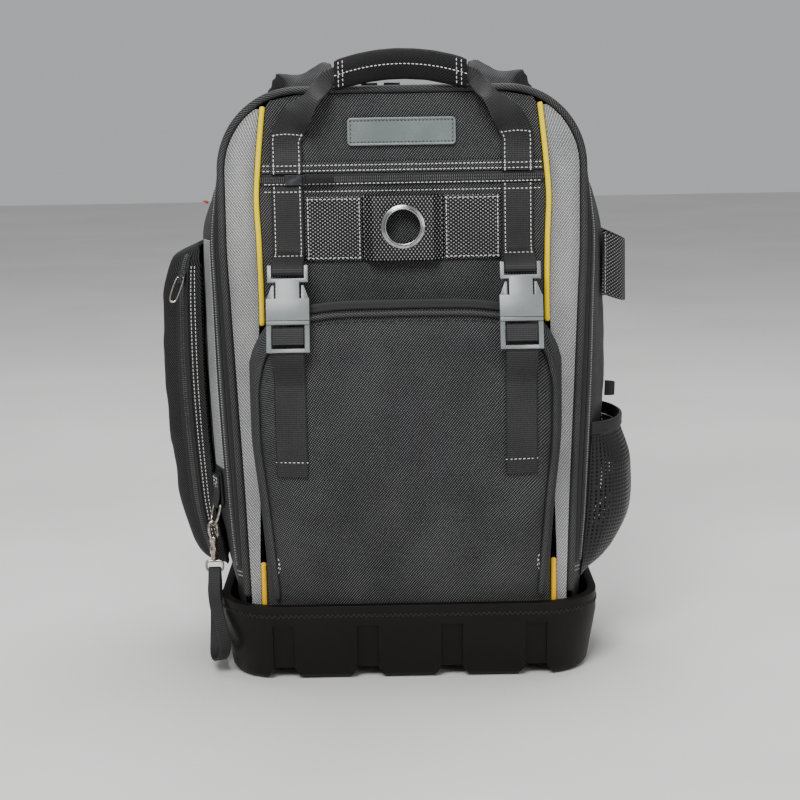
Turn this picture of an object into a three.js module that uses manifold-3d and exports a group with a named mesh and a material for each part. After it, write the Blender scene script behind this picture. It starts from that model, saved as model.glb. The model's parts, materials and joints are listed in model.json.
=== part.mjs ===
// Tool backpack: moulded base tray, cloth body with zips and pipings, front pocket, side pockets,
// buckled straps, carrying handle, snap hook and padded shoulder straps.
// Millimetres. +Z up, the front faces -Y, +X is to the right of someone looking at the front.
// The origin is under the middle of the base, on the flat underside of its central foot.
import * as THREE from 'three';
import { mergeVertices } from 'three/addons/utils/BufferGeometryUtils.js';
import Module from 'manifold-3d';

const wasm = await Module();
wasm.setup();

// Clearance between pieces that rest on each other
const seat = 0.3;
const seam = 0.5;
// Clearance of pieces laid over the curved gusset
const laid = 0.7;
// Depth of the body's cloth inside the tray
const tuck = 9;

// Base tray
const trayHalfWidth = 163;
const trayFrontY = -113;
const trayBackY = 112;
const trayCornerRadius = 52;
const trayHeight = 67;
const trayWall = 7.5;
const trayFloor = 4;
const trayTaper = 9;
const trayBottomInset = 5;
const footHeight = 10;
const recessCount = 4;
const recessPitch = 71.5;
const recessWidth = 18;
const recessDepth = 3.5;
const recessTopZ = 50;
const footChamfer = 6.5;

// Body
const bodyTopZ = 496;
const bodyCornerRadius = 66;
// How far the body's front and back outlines stand inside the tray's sides
const frontSideInset = 12;
const backSideInset = 16;
// How far the body's top front and its back stand inside the tray's front and back
const frontLean = 37;
const backInset = 22;
const frontHalfWidth = trayHalfWidth - frontSideInset;
const backHalfWidth = trayHalfWidth - backSideInset;
const gussetBulge = 32;
const frontTopY = trayFrontY + frontLean;
const baseFlare = 23;
const frontCrown = 3;
const goreDrop = 10;
const backY = trayBackY - backInset;
const clothWall = 2.2;
const backPadding = 12;
const backPadEdge = 22;

// Pipings and main zip
const goreWidthAtBend = 30;
const centrePanelHalfWidth = frontHalfWidth - goreWidthAtBend;
const yellowPipingRadius = 2.3;
const mainPipingRadius = 3.1;
const bindingWidth = 5.5;
const mainZipWidth = 10;
const zipEndZ = 94;
const zipTape = 1.2;
const zipCoilHeight = 1.6;
const zipCoilWidth = 5;
const mainSliderLength = 13;
const mainSliderWidth = 8;
const mainSliderHeight = 3.4;
const mainSliderLeftX = -25;
const mainSliderRightX = -7;

// Badge plate
const badgeWidth = 89;
const badgeHeight = 22.5;
// Gap between the badge and the flap under it
const badgeGap = 12.5;
const badgeThickness = 2.2;
const badgeRim = 0.9;
const badgeRimWidth = 2.2;

// Upper panel zip
// Gap between the webbing band and the zip above it
const bandGap = 9.1;
const panelZipHeight = 9.4;
const flapHeight = 9.4;
const flapThickness = 1.5;
// Height of the zip's coil above its lower edge
const panelCoilHeight = 4.9;
// Distance of the zip's slider from the end of the tapes' straight run
const panelSliderInset = 32;
const panelSliderLength = 15;
const panelSliderWidth = 8.4;
const panelSliderHeight = 1.6;
const pullLength = 25;
const pullWidth = 5.4;
const pullThickness = 1.8;
const pullPinRadius = 0.8;
const pullEyeWall = 0.9;

// Webbing
const strapWidth = 26.5;
// Distance of the straps' middle line from the yellow pipings
const strapInset = 26;
const strapCentreX = centrePanelHalfWidth - strapInset;
const webbing = 2;
const strapUpperSewnZ = 356;
const bandTopZ = 409.5;
const bandHeight = 53;
const bandBottomZ = bandTopZ - bandHeight;
const bandThickness = 2.4;
// Distance of the band's outer end from the straps' middle line
const bandEndInset = 14.5;
const bandOuterX = strapCentreX - bandEndInset;
const bandInnerX = 33.6;
const panelZipBottomZ = bandTopZ + bandGap;
const panelZipTopZ = panelZipBottomZ + panelZipHeight;
const panelCoilZ = panelZipBottomZ + panelCoilHeight;
const panelSliderX = panelSliderInset - centrePanelHalfWidth;
const flapEdgeZ = panelZipTopZ + 2 * seat;
const flapTopZ = flapEdgeZ + flapHeight;
const badgeCentreZ = flapTopZ + badgeGap + badgeHeight / 2;
const strapUpperTopZ = panelZipBottomZ - 2 * seat;
const loopCrestHalfWidth = 25;
const loopRise = 8.5;
const loopSeam = 2;
const eyeletZ = bandBottomZ + (bandHeight + 2) / 2;
const eyeletOuterRadius = 18;
const eyeletHoleRadius = 13.7;
const eyeletBead = 2.6;
const eyeletNeck = 1.1;

// Handle
// Distance of the sleeve's ends from the straps' middle line
const sleeveEndInset = 41;
const sleeveHalfLength = strapCentreX - sleeveEndInset;
const sleeveHeight = 25;
const sleeveDepth = 10;
const sleeveWall = 2.4;
// Height of the sleeve's middle line above the body's top
const sleeveStand = 20;
const sleeveCrestZ = bodyTopZ + sleeveStand;
const sleeveEndDrop = 9;
// How far in front of the panel's top the sleeve hangs
const sleeveForward = 10;
const sleeveY = frontTopY - sleeveForward;
const handleWebWidthInSleeve = 14;

// Front pocket
// How far the pocket's seam stands outside the yellow pipings, its mouth inside that and its lip inside that
const pocketOverhang = 10;
const pocketMouthInset = 33;
const lipInset = 18;
const pocketHalfWidth = centrePanelHalfWidth + pocketOverhang;
const pocketTopZ = 326;
const pocketDepth = 28;
const pocketMouthHalfWidth = pocketHalfWidth - pocketMouthInset;
const lipHalfWidth = pocketMouthHalfWidth - lipInset;
const lipHeight = 7.5;
const lipThickness = 2.2;
const pocketPipingRadius = 2.2;
const pocketPipingDrop = 11;

// Side-release buckles
const buckleLength = 72;
const buckleWidth = 35;
const buckleThickness = 8.5;
const buckleTilt = 18;
// How far below the pocket's top the buckles' middles are
const buckleDrop = 5;
const buckleCentreZ = pocketTopZ - buckleDrop;
const buckleBarRadius = 1.5;
const buckleBarInset = 5;
const buckleWall = 3;
const buckleMouthLength = 18;
const bucklePlugLength = 26;
const buckleWaistHalfWidth = 9.5;
const buckleTongueHalfWidth = 4;
const buckleTongueLength = 27;
const buckleArmThickness = 3.8;
const buckleArmWidth = 3.4;
const buckleEarLength = 11;
const strapLowerEndZ = 181;

// Left side pocket
const sidePocketDepth = 37;
const sidePocketBottomZ = 84;
const sidePocketTopZ = 366;
const sidePocketFrontShare = 0.31;
const sidePocketBackShare = 0.93;
// Place of the zip's middle across the side pocket, and its width, as shares of the pocket's way round
const sideZipPlace = 0.05;
const sideZipSpan = 0.036;
const sideSliderLength = 10;
const sideSliderWidth = 7;
const sideSliderHeight = 3;
const bailLength = 25;
const bailWidth = 6;
const bailWire = 0.8;
const bailLean = 35;

// D-ring, snap hook and wrist loop
const ringTabTopZ = 171;
const ringBarZ = 143;
const ringTabWidth = 15;
const ringTabShare = 0.2;
const ringWire = 1.2;
const ringHeight = 19;
const ringWidth = 18;
const hookWire = 1.4;
const hookBendRadius = 3.6;
const hookNeck = 10;
const hookTipLength = 3;
const barrelRadius = 3.6;
const barrelLength = 21;
const gateThickness = 1.2;
const gateWidth = 2.2;
const gatePinRadius = 0.5;
const swivelEyeWidth = 14;
const swivelEyeHeight = 9;
const swivelWire = 1.1;
const wristWidth = 11;
const wristThickness = 1.6;
const wristGap = 1.2;
const wristLoopBottomZ = 12;
const wristLoopReach = 50;

// Right side
const sideLoopTopZ = 371;
const sideLoopHeight = 54;
const sideLoopReach = 15.8;
const sideLoopDroop = 8;
const sideLoopThickness = 2;
const sideLoopFrontShare = 0.26;
const sideLoopBackShare = 0.62;
const sideLoopFoot = 7;
const sideTabZ = 231;
const sideTabHeight = 13;
const sideTabReach = 9;
const sideTabShare = 0.45;
const sideTabThickness = 3.4;
const meshTopZ = 211;
const meshBottomZ = 78;
const meshDepth = 27;
const meshFrontShare = 0.12;
const meshBackShare = 0.8;
const meshThickness = 1.6;
const meshColumns = 10;
const meshRows = 11;
const meshHoleShare = 0.66;
const meshBindingHeight = 11;
const meshBindingThickness = 2.6;

// Small trims
const tagZ = 401;
const tagReach = 5;
const tagShare = 0.4;
const tagHeight = 9;
const tagThickness = 1.6;
const sideGoreBottomZ = 176;
const sideGoreTopZ = 372;
const sideGoreBackShare = 0.235;
const sideGoreThickness = 1;

// Shoulder straps
const shoulderWidth = 58;
const shoulderThickness = 9;
const shoulderInset = 43;
const shoulderOutX = backHalfWidth - shoulderInset;
const shoulderReach = 44;
const shoulderTopZ = 512;
const shoulderLowZ = 165;
const shoulderWebWidth = 25;
const shoulderAnchorZ = 92;

// Outline of the body by height share above the tray's rim. Shares of: the front's half width, the
// back's half width, the gusset's bulge, the base's forward flare and the centre panel's half width.
const BODY_ROWS = [
  { height: 0, front: 0.914, back: 0.94, bulge: 0.5, flare: 1, panel: 1.02 },
  { height: 0.065, front: 0.92, back: 0.95, bulge: 0.75, flare: 0.95, panel: 1.02 },
  { height: 0.193, front: 0.934, back: 0.966, bulge: 0.97, flare: 0.76, panel: 1.01 },
  { height: 0.39, front: 0.96, back: 0.986, bulge: 1, flare: 0.57, panel: 0.995 },
  { height: 0.6, front: 0.987, back: 1, bulge: 0.9, flare: 0.38, panel: 0.983 },
  { height: 0.716, front: 1, back: 1, bulge: 0.84, flare: 0.27, panel: 0.99 },
  { height: 0.79, front: 1, back: 1, bulge: 0.56, flare: 0.21, panel: 1 },
  { height: 0.855, front: 1, back: 1, bulge: 0.27, flare: 0.15, panel: 0.985 },
  { height: 1, front: 1, back: 1, bulge: 0.06, flare: 0, panel: 0.93 },
];

// Front pocket by height share of its own height: half width of its seam, and depth of its face.
const POCKET_ROWS = [
  { height: 0, width: 0.91, depth: 0.01 },
  { height: 0.13, width: 0.92, depth: 0.42 },
  { height: 0.32, width: 0.95, depth: 0.78 },
  { height: 0.6, width: 1, depth: 1 },
  { height: 0.85, width: 1, depth: 0.97 },
  { height: 1, width: 1, depth: 0.8 },
];

// Front pocket across, from its middle to its seam: place, depth share and height of its top edge.
const POCKET_COLUMNS = [
  { across: 0, depth: 1.03, top: 1 },
  { across: 0.36, depth: 1.02, top: 0.998 },
  { across: 0.62, depth: 1, top: 0.985 },
  { across: 0.75, depth: 0.99, top: 0.968 },
  { across: 0.85, depth: 0.97, top: 0.93 },
  { across: 0.915, depth: 0.9, top: 0.89 },
  { across: 0.96, depth: 0.6, top: 0.85 },
  { across: 0.985, depth: 0.3, top: 0.82 },
  { across: 1, depth: 0, top: 0.79 },
];

// Side pocket: rise of its wall from its seam towards its middle, across and up.
const SIDE_POCKET_ACROSS = [
  { place: 0, rise: 0 },
  { place: 0.045, rise: 0.42 },
  { place: 0.1, rise: 0.8 },
  { place: 0.17, rise: 0.96 },
  { place: 0.33, rise: 0.99 },
  { place: 0.5, rise: 1 },
  { place: 0.68, rise: 0.99 },
  { place: 0.85, rise: 0.95 },
  { place: 0.93, rise: 0.7 },
  { place: 1, rise: 0 },
];
const SIDE_POCKET_UP = [
  { place: 0, rise: 0 },
  { place: 0.02, rise: 0.42 },
  { place: 0.05, rise: 0.62 },
  { place: 0.11, rise: 0.76 },
  { place: 0.25, rise: 0.9 },
  { place: 0.45, rise: 0.99 },
  { place: 0.8, rise: 1 },
  { place: 0.9, rise: 0.9 },
  { place: 0.955, rise: 0.68 },
  { place: 1, rise: 0 },
];

// Net pocket: how far it stands out, across and up.
const MESH_ACROSS = [
  { place: 0, rise: 0 },
  { place: 0.12, rise: 0.55 },
  { place: 0.3, rise: 0.92 },
  { place: 0.5, rise: 1 },
  { place: 0.75, rise: 0.85 },
  { place: 0.92, rise: 0.4 },
  { place: 1, rise: 0 },
];
const MESH_UP = [
  { place: 0, rise: 0.02 },
  { place: 0.08, rise: 0.4 },
  { place: 0.2, rise: 0.72 },
  { place: 0.45, rise: 1 },
  { place: 0.75, rise: 0.9 },
  { place: 1, rise: 0.5 },
];

// Wrist loop, from the swivel's eye down behind and up in front: shares of its reach and its height.
const WRIST_PATH = [
  { forward: -0.09, height: 0.92 },
  { forward: -0.11, height: 0.8 },
  { forward: -0.1, height: 0.6 },
  { forward: -0.03, height: 0.37 },
  { forward: 0.13, height: 0.16 },
  { forward: 0.37, height: 0.03 },
  { forward: 0.6, height: 0 },
  { forward: 0.8, height: 0.07 },
  { forward: 0.9, height: 0.21 },
  { forward: 0.8, height: 0.43 },
  { forward: 0.53, height: 0.66 },
  { forward: 0.25, height: 0.82 },
  { forward: 0.12, height: 0.92 },
];

// Handle's webbing from the sleeve's end to the panel: shares of its way out to the strap's line, of that way
// forward, of its drop to the flap and of the strap's width, and the direction of its width.
const HANDLE_PATH = [
  { out: 0.24, forward: 0.07, drop: 0.12, width: 0.53, across: [0.5, 0.3, 0.8] },
  { out: 0.44, forward: 0.27, drop: 0.25, width: 0.64, across: [0.62, 0.62, 0.45] },
  { out: 0.68, forward: 0.24, drop: 0.42, width: 0.92, across: [0.86, 0.45, 0.2] },
  { out: 0.9, forward: 0, drop: 0.595, width: 1, across: [1, 0.12, 0] },
];

// Right shoulder strap from its top seam: shares of its distance out, its reach behind the back panel and its
// height above its low end, and its lean in degrees.
const SHOULDER_PATH = [
  { out: 0.72, reach: 0.2, height: 0.856, lean: 0 },
  { out: 0.78, reach: 0.4, height: 0.93, lean: 12 },
  { out: 0.86, reach: 0.76, height: 0.99, lean: 24 },
  { out: 0.94, reach: 0.97, height: 0.95, lean: 14 },
  { out: 1, reach: 1, height: 0.86, lean: 4 },
  { out: 1.02, reach: 0.98, height: 0.62, lean: 0 },
  { out: 1.02, reach: 0.87, height: 0.42, lean: 0 },
  { out: 1, reach: 0.68, height: 0.21, lean: 0 },
  { out: 0.96, reach: 0.46, height: 0.07, lean: 0 },
  { out: 0.93, reach: 0.3, height: 0, lean: 0 },
];

// Colours
const BLACK_TWILL = { color: 0x2a2b2d, roughness: 0.85, metalness: 0 };
const BLACK_TRIM = { color: 0x1c1c1e, roughness: 0.75, metalness: 0 };
const BLACK_WEBBING = { color: 0x232426, roughness: 0.8, metalness: 0 };
const GREY_CLOTH = { color: 0x9a9da0, roughness: 0.7, metalness: 0 };
const YELLOW = { color: 0xe8c20c, roughness: 0.6, metalness: 0 };
const ORANGE = { color: 0xb4531f, roughness: 0.7, metalness: 0 };
const TRAY_RUBBER = { color: 0x1b1918, roughness: 0.55, metalness: 0 };
const BADGE_GREY = { color: 0x7c888a, roughness: 0.5, metalness: 0 };
const BUCKLE_GREY = { color: 0x8d9496, roughness: 0.4, metalness: 0 };
const DARK_METAL = { color: 0x55585c, roughness: 0.25, metalness: 1 };
const BRIGHT_METAL = { color: 0xb9bcc0, roughness: 0.25, metalness: 1 };
const NET_BLACK = { color: 0x18181a, roughness: 0.8, metalness: 0 };

const group = new THREE.Group();
const vec = (x, y, z) => new THREE.Vector3(x, y, z);
const lerp = THREE.MathUtils.lerp;
const clamp = THREE.MathUtils.clamp;
const radians = THREE.MathUtils.degToRad;

// Evenly spaced numbers from a to b, both included.
function spaced(a, b, steps) {
  return Array.from({ length: steps + 1 }, (_, i) => a + ((b - a) * i) / steps);
}

// Reads a column of a table at a place, along a smooth curve through its rows.
function follow(table, key, column, at) {
  const last = table.length - 1;
  const place = clamp(at, table[0][key], table[last][key]);
  let i = 0;
  while (i < last - 1 && place > table[i + 1][key]) i += 1;
  const [a, b] = [table[i], table[i + 1]];
  const span = b[key] - a[key];
  const rise = (p, q) => (q[column] - p[column]) / (q[key] - p[key]);
  const middle = rise(a, b);
  const before = i > 0 ? rise(table[i - 1], a) : middle;
  const after = i < last - 1 ? rise(b, table[i + 2]) : middle;
  const gentle = (p, q) => (p * q <= 0 ? 0 : (2 * p * q) / (p + q));
  const t = (place - a[key]) / span;
  const m0 = gentle(before, middle) * span;
  const m1 = gentle(middle, after) * span;
  const t2 = t * t;
  const t3 = t2 * t;
  return (2 * t3 - 3 * t2 + 1) * a[column] + (t3 - 2 * t2 + t) * m0
    + (3 * t2 - 2 * t3) * b[column] + (t3 - t2) * m1;
}

// A closed mesh from points and triangles, with its faces turned outwards.
function closedGeometry(points, triangles) {
  let volume = 0;
  for (const [a, b, c] of triangles) {
    volume += points[a].dot(points[b].clone().cross(points[c]));
  }
  const index = triangles.flatMap(([a, b, c]) => (volume < 0 ? [a, c, b] : [a, b, c]));
  const geometry = new THREE.BufferGeometry();
  geometry.setAttribute('position', new THREE.Float32BufferAttribute(points.flatMap((p) => p.toArray()), 3));
  geometry.setIndex(index);
  return geometry;
}

// A solid through equal closed rings of points, capped at both ends or joined end to end.
function loft(rings, joined = false) {
  const sides = rings[0].length;
  const points = rings.flat();
  const triangles = [];
  const spans = joined ? rings.length : rings.length - 1;
  for (let i = 0; i < spans; i += 1) {
    const low = i * sides;
    const high = ((i + 1) % rings.length) * sides;
    for (let j = 0; j < sides; j += 1) {
      const k = (j + 1) % sides;
      triangles.push([low + j, low + k, high + k], [low + j, high + k, high + j]);
    }
  }
  if (!joined) {
    for (const [ring, start, turned] of [[rings[0], 0, true], [rings.at(-1), points.length - sides, false]]) {
      const middle = ring.reduce((sum, p) => sum.add(p), vec(0, 0, 0)).divideScalar(sides);
      const centre = points.push(middle) - 1;
      for (let j = 0; j < sides; j += 1) {
        const k = (j + 1) % sides;
        triangles.push(turned ? [centre, start + k, start + j] : [centre, start + j, start + k]);
      }
    }
  }
  return closedGeometry(points, triangles);
}

// A closed sheet with thickness: two equal grids of points, joined round their edge.
function slab(outer, inner) {
  const rows = outer.length;
  const columns = outer[0].length;
  const points = [...outer.flat(), ...inner.flat()];
  const under = rows * columns;
  const at = (i, j) => i * columns + j;
  const triangles = [];
  for (let i = 0; i < rows - 1; i += 1) {
    for (let j = 0; j < columns - 1; j += 1) {
      const [a, b, c, d] = [at(i, j), at(i, j + 1), at(i + 1, j + 1), at(i + 1, j)];
      triangles.push([a, b, c], [a, c, d]);
      triangles.push([under + a, under + c, under + b], [under + a, under + d, under + c]);
    }
  }
  const rim = [];
  for (let j = 0; j < columns - 1; j += 1) rim.push(at(0, j));
  for (let i = 0; i < rows - 1; i += 1) rim.push(at(i, columns - 1));
  for (let j = columns - 1; j > 0; j -= 1) rim.push(at(rows - 1, j));
  for (let i = rows - 1; i > 0; i -= 1) rim.push(at(i, 0));
  rim.forEach((a, n) => {
    const b = rim[(n + 1) % rim.length];
    triangles.push([b, a, under + a], [b, under + a, under + b]);
  });
  return closedGeometry(points, triangles);
}

// A surface that can be asked for a point at a height above it, from its plain point function.
function withNormals(point, outward) {
  const step = 0.002;
  return (u, v, rise = 0) => {
    const here = point(u, v);
    if (rise === 0) return here;
    const alongU = point(u + step, v).sub(point(u - step, v));
    const alongV = point(u, v + step).sub(point(u, v - step));
    const normal = alongU.cross(alongV).normalize();
    if (normal.dot(outward(here)) < 0) normal.negate();
    return here.addScaledVector(normal, rise);
  };
}

// A slab that lies on a surface between two heights above it.
function slabOn(surface, us, vs, low, high) {
  const rise = (level, u, v) => (typeof level === 'function' ? level(u, v) : level);
  const grid = (level) => vs.map((v) => us.map((u) => surface(u, v, rise(level, u, v))));
  return slab(grid(high), grid(low));
}

// A round cord of wire or piping along a path.
function tube(path, radius, sides = 6, joined = false) {
  const count = path.length;
  const heading = (i) => {
    const before = path[joined ? (i + count - 1) % count : Math.max(i - 1, 0)];
    const after = path[joined ? (i + 1) % count : Math.min(i + 1, count - 1)];
    return after.clone().sub(before).normalize();
  };
  const first = heading(0);
  const helper = Math.abs(first.y) < 0.8 ? vec(0, 1, 0) : vec(1, 0, 0);
  let side = helper.clone().addScaledVector(first, -helper.dot(first)).normalize();
  const rings = path.map((centre, i) => {
    const ahead = heading(i);
    side = side.clone().addScaledVector(ahead, -side.dot(ahead)).normalize();
    const up = ahead.clone().cross(side);
    return spaced(0, 2 * Math.PI, sides).slice(0, sides).map((angle) => centre.clone()
      .addScaledVector(side, radius * Math.cos(angle))
      .addScaledVector(up, radius * Math.sin(angle)));
  });
  return loft(rings, joined);
}

// A flat band through stations, each with a centre, the direction of its width, and its width.
function band(stations, thickness, joined = false) {
  const count = stations.length;
  const rings = stations.map(({ centre, across, width }, i) => {
    const before = stations[joined ? (i + count - 1) % count : Math.max(i - 1, 0)].centre;
    const after = stations[joined ? (i + 1) % count : Math.min(i + 1, count - 1)].centre;
    const ahead = after.clone().sub(before).normalize();
    const wide = across.clone().addScaledVector(ahead, -across.dot(ahead)).normalize();
    const face = ahead.clone().cross(wide);
    const corner = (w, f) => centre.clone()
      .addScaledVector(wide, w * width / 2)
      .addScaledVector(face, f * thickness / 2);
    return [corner(-1, -1), corner(1, -1), corner(1, 1), corner(-1, 1)];
  });
  return loft(rings, joined);
}

// Stations with more between them, along a smooth curve through their centres.
function eased(stations, between) {
  const last = stations.length - 1;
  const curve = new THREE.CatmullRomCurve3(stations.map((station) => station.centre), false, 'centripetal');
  return spaced(0, last, last * between).map((place) => {
    const i = Math.min(Math.floor(place), last - 1);
    const [a, b] = [stations[i], stations[i + 1]];
    return {
      centre: curve.getPoint(place / last),
      across: a.across.clone().lerp(b.across, place - i),
      width: lerp(a.width, b.width, place - i),
    };
  });
}

// A padded band: as a flat one, with a rounded section.
function paddedBand(stations, thickness) {
  const profile = [[-1, 0], [-0.88, -0.8], [0, -1], [0.88, -0.8], [1, 0], [0.88, 0.8], [0, 1], [-0.88, 0.8]];
  const rings = stations.map(({ centre, across, width }, i) => {
    const before = stations[Math.max(i - 1, 0)].centre;
    const after = stations[Math.min(i + 1, stations.length - 1)].centre;
    const ahead = after.clone().sub(before).normalize();
    const wide = across.clone().addScaledVector(ahead, -across.dot(ahead)).normalize();
    const face = ahead.clone().cross(wide);
    return profile.map(([w, f]) => centre.clone()
      .addScaledVector(wide, w * width / 2)
      .addScaledVector(face, f * thickness / 2));
  });
  return loft(rings);
}

// Turns a geometry into a solid that can be joined and cut.
function solid(geometry) {
  const plain = geometry.clone();
  plain.deleteAttribute('normal');
  plain.deleteAttribute('uv');
  const merged = mergeVertices(plain, 1e-4);
  return new wasm.Manifold(new wasm.Mesh({
    numProp: 3,
    vertProperties: new Float32Array(merged.attributes.position.array),
    triVerts: new Uint32Array(merged.index.array),
  }));
}

// Turns a solid back into a geometry.
function geometryOf(manifold) {
  const mesh = manifold.getMesh();
  const geometry = new THREE.BufferGeometry();
  geometry.setAttribute('position', new THREE.BufferAttribute(new Float32Array(mesh.vertProperties), 3));
  geometry.setIndex(new THREE.BufferAttribute(new Uint32Array(mesh.triVerts), 1));
  return geometry;
}

// A box between two corners.
function block(low, high) {
  const size = high.clone().sub(low);
  const middle = low.clone().add(high).multiplyScalar(0.5);
  return new THREE.BoxGeometry(size.x, size.y, size.z).translate(middle.x, middle.y, middle.z);
}

// A cylinder along X, Y or Z through a centre.
function rod(axis, centre, radius, length, sides = 12) {
  const geometry = new THREE.CylinderGeometry(radius, radius, length, sides);
  if (axis === 'x') geometry.rotateZ(Math.PI / 2);
  if (axis === 'z') geometry.rotateX(Math.PI / 2);
  return geometry.translate(centre.x, centre.y, centre.z);
}

// Adds a named piece in its finish, in the given parent.
function addPiece(name, geometry, finish, parent = group) {
  const mesh = new THREE.Mesh(geometry, new THREE.MeshStandardMaterial(finish));
  mesh.name = name;
  parent.add(mesh);
}

const SIDES = [{ name: 'left', sign: -1 }, { name: 'right', sign: 1 }];

// Height share of the body above the tray's rim.
const heightShare = (z) => (z - trayHeight) / (bodyTopZ - trayHeight);
const bodyRow = (column, z) => follow(BODY_ROWS, 'height', column, heightShare(z));
const frontHalfAt = (z) => frontHalfWidth * bodyRow('front', z);
const yellowLineX = (z) => centrePanelHalfWidth * bodyRow('panel', z);

// Depth of the body's front face: it leans back upwards, is slightly crowned, and drops away at its gores.
function frontY(x, z) {
  const half = frontHalfAt(z);
  const goreStart = half - bodyCornerRadius;
  const drop = goreDrop * (Math.max(0, Math.abs(x) - goreStart) / (half - goreStart)) ** 2;
  const crown = frontCrown * (1 - (x / frontHalfWidth) ** 2);
  return frontTopY - baseFlare * bodyRow('flare', z) - crown + drop;
}

const frontPoint = (x, z, rise = 0) => vec(x, frontY(x, z) - rise, z);
// Direction of the width of webbing that lies on a face.
const lieAcross = (face, x, z) => face(x + 1, z, 0).sub(face(x - 1, z, 0)).normalize();

// Length of half the body's outline, from the tray's rim up one side and over to the top's middle.
const sideRun = bodyTopZ - bodyCornerRadius - trayHeight;
const cornerRun = (Math.PI / 2) * bodyCornerRadius;
const topRun = frontHalfWidth - bodyCornerRadius;
const halfRun = sideRun + cornerRun + topRun;

// Half width of the gusset at a height, at a share of the way from the front to the back.
function gussetHalf(z, share) {
  const front = frontHalfAt(z);
  const back = backHalfWidth * bodyRow('back', z);
  const swell = Math.sin(Math.PI * clamp(share, 0, 1)) ** 0.8;
  return lerp(front, back, share) + gussetBulge * bodyRow('bulge', z) * swell;
}

// A point of the gusset. along runs over the outline from -halfRun at the rim on the left, through 0 at the
// top's middle, to halfRun at the rim on the right.
function gussetPlace(along, share) {
  const side = along < 0 ? -1 : 1;
  const run = halfRun - Math.abs(along);
  const bend = bodyTopZ - bodyCornerRadius;
  let x;
  let z;
  if (run <= sideRun) {
    z = trayHeight + run;
    x = gussetHalf(z, share);
  } else if (run <= sideRun + cornerRun) {
    const angle = (run - sideRun) / bodyCornerRadius;
    const reach = gussetHalf(bend, share) - bodyCornerRadius;
    z = bend + bodyCornerRadius * Math.sin(angle);
    x = reach + bodyCornerRadius * Math.cos(angle);
  } else {
    z = bodyTopZ;
    x = (gussetHalf(bend, share) - bodyCornerRadius) * (1 - (run - sideRun - cornerRun) / topRun);
  }
  const y = lerp(frontY(Math.min(x, frontHalfAt(z)), z), backY, share);
  return vec(side * x, y, z);
}

// A point of the gusset, raised above it along its outward normal.
function gusset(along, share, rise = 0) {
  const here = gussetPlace(along, share);
  if (rise === 0) return here;
  const alongRun = gussetPlace(along + 0.5, share).sub(gussetPlace(along - 0.5, share));
  const alongShare = gussetPlace(along, share + 0.01).sub(gussetPlace(along, share - 0.01));
  const normal = alongRun.cross(alongShare).normalize();
  const shoulder = Math.max(0, here.z - (bodyTopZ - bodyCornerRadius));
  if (normal.dot(vec(here.x, 0, 3 * shoulder)) < 0) normal.negate();
  return here.addScaledVector(normal, rise);
}

// Place along the outline of a height on the left (-1) or right (1) side.
const alongAt = (sign, z) => sign * (halfRun - (z - trayHeight));
// Share of the gusset's way from front to back that a length takes.
const gussetShare = (length) => length / Math.hypot(backY - frontTopY, gussetBulge);

// Places along the outline from a height on the left, over the top, to the same height on the right.
function outlineStops(fromZ, sideSteps = 10, cornerSteps = 6, topSteps = 2) {
  const low = Math.abs(alongAt(1, fromZ));
  const half = [
    ...(low > halfRun ? [low] : []),
    ...spaced(Math.min(low, halfRun), cornerRun + topRun, sideSteps),
    ...spaced(cornerRun + topRun, topRun, cornerSteps).slice(1),
    ...spaced(topRun, 0, topSteps).slice(1),
  ];
  return [...half.map((a) => -a), ...half.slice(0, -1).reverse()];
}

// Half width of the front's outline at a height, moved in by an inset.
function frontOutlineX(z, inset) {
  const bend = bodyTopZ - bodyCornerRadius;
  if (z <= bend) return frontHalfAt(z) - inset;
  const radius = bodyCornerRadius - inset;
  return frontHalfWidth - bodyCornerRadius + Math.sqrt(Math.max(0, radius ** 2 - (z - bend) ** 2));
}

const frontInset = mainPipingRadius + seam;
const yellowInset = yellowPipingRadius + seam;
const bindingStart = gussetShare(frontInset);
const zipStart = bindingStart + gussetShare(bindingWidth);
const zipStop = zipStart + gussetShare(seam + mainZipWidth);
const bodyRows = [trayHeight - tuck, ...spaced(trayHeight, bodyTopZ - bodyCornerRadius, 9),
  ...spaced(bodyTopZ - bodyCornerRadius, bodyTopZ - frontInset, 5).slice(1)];

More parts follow.
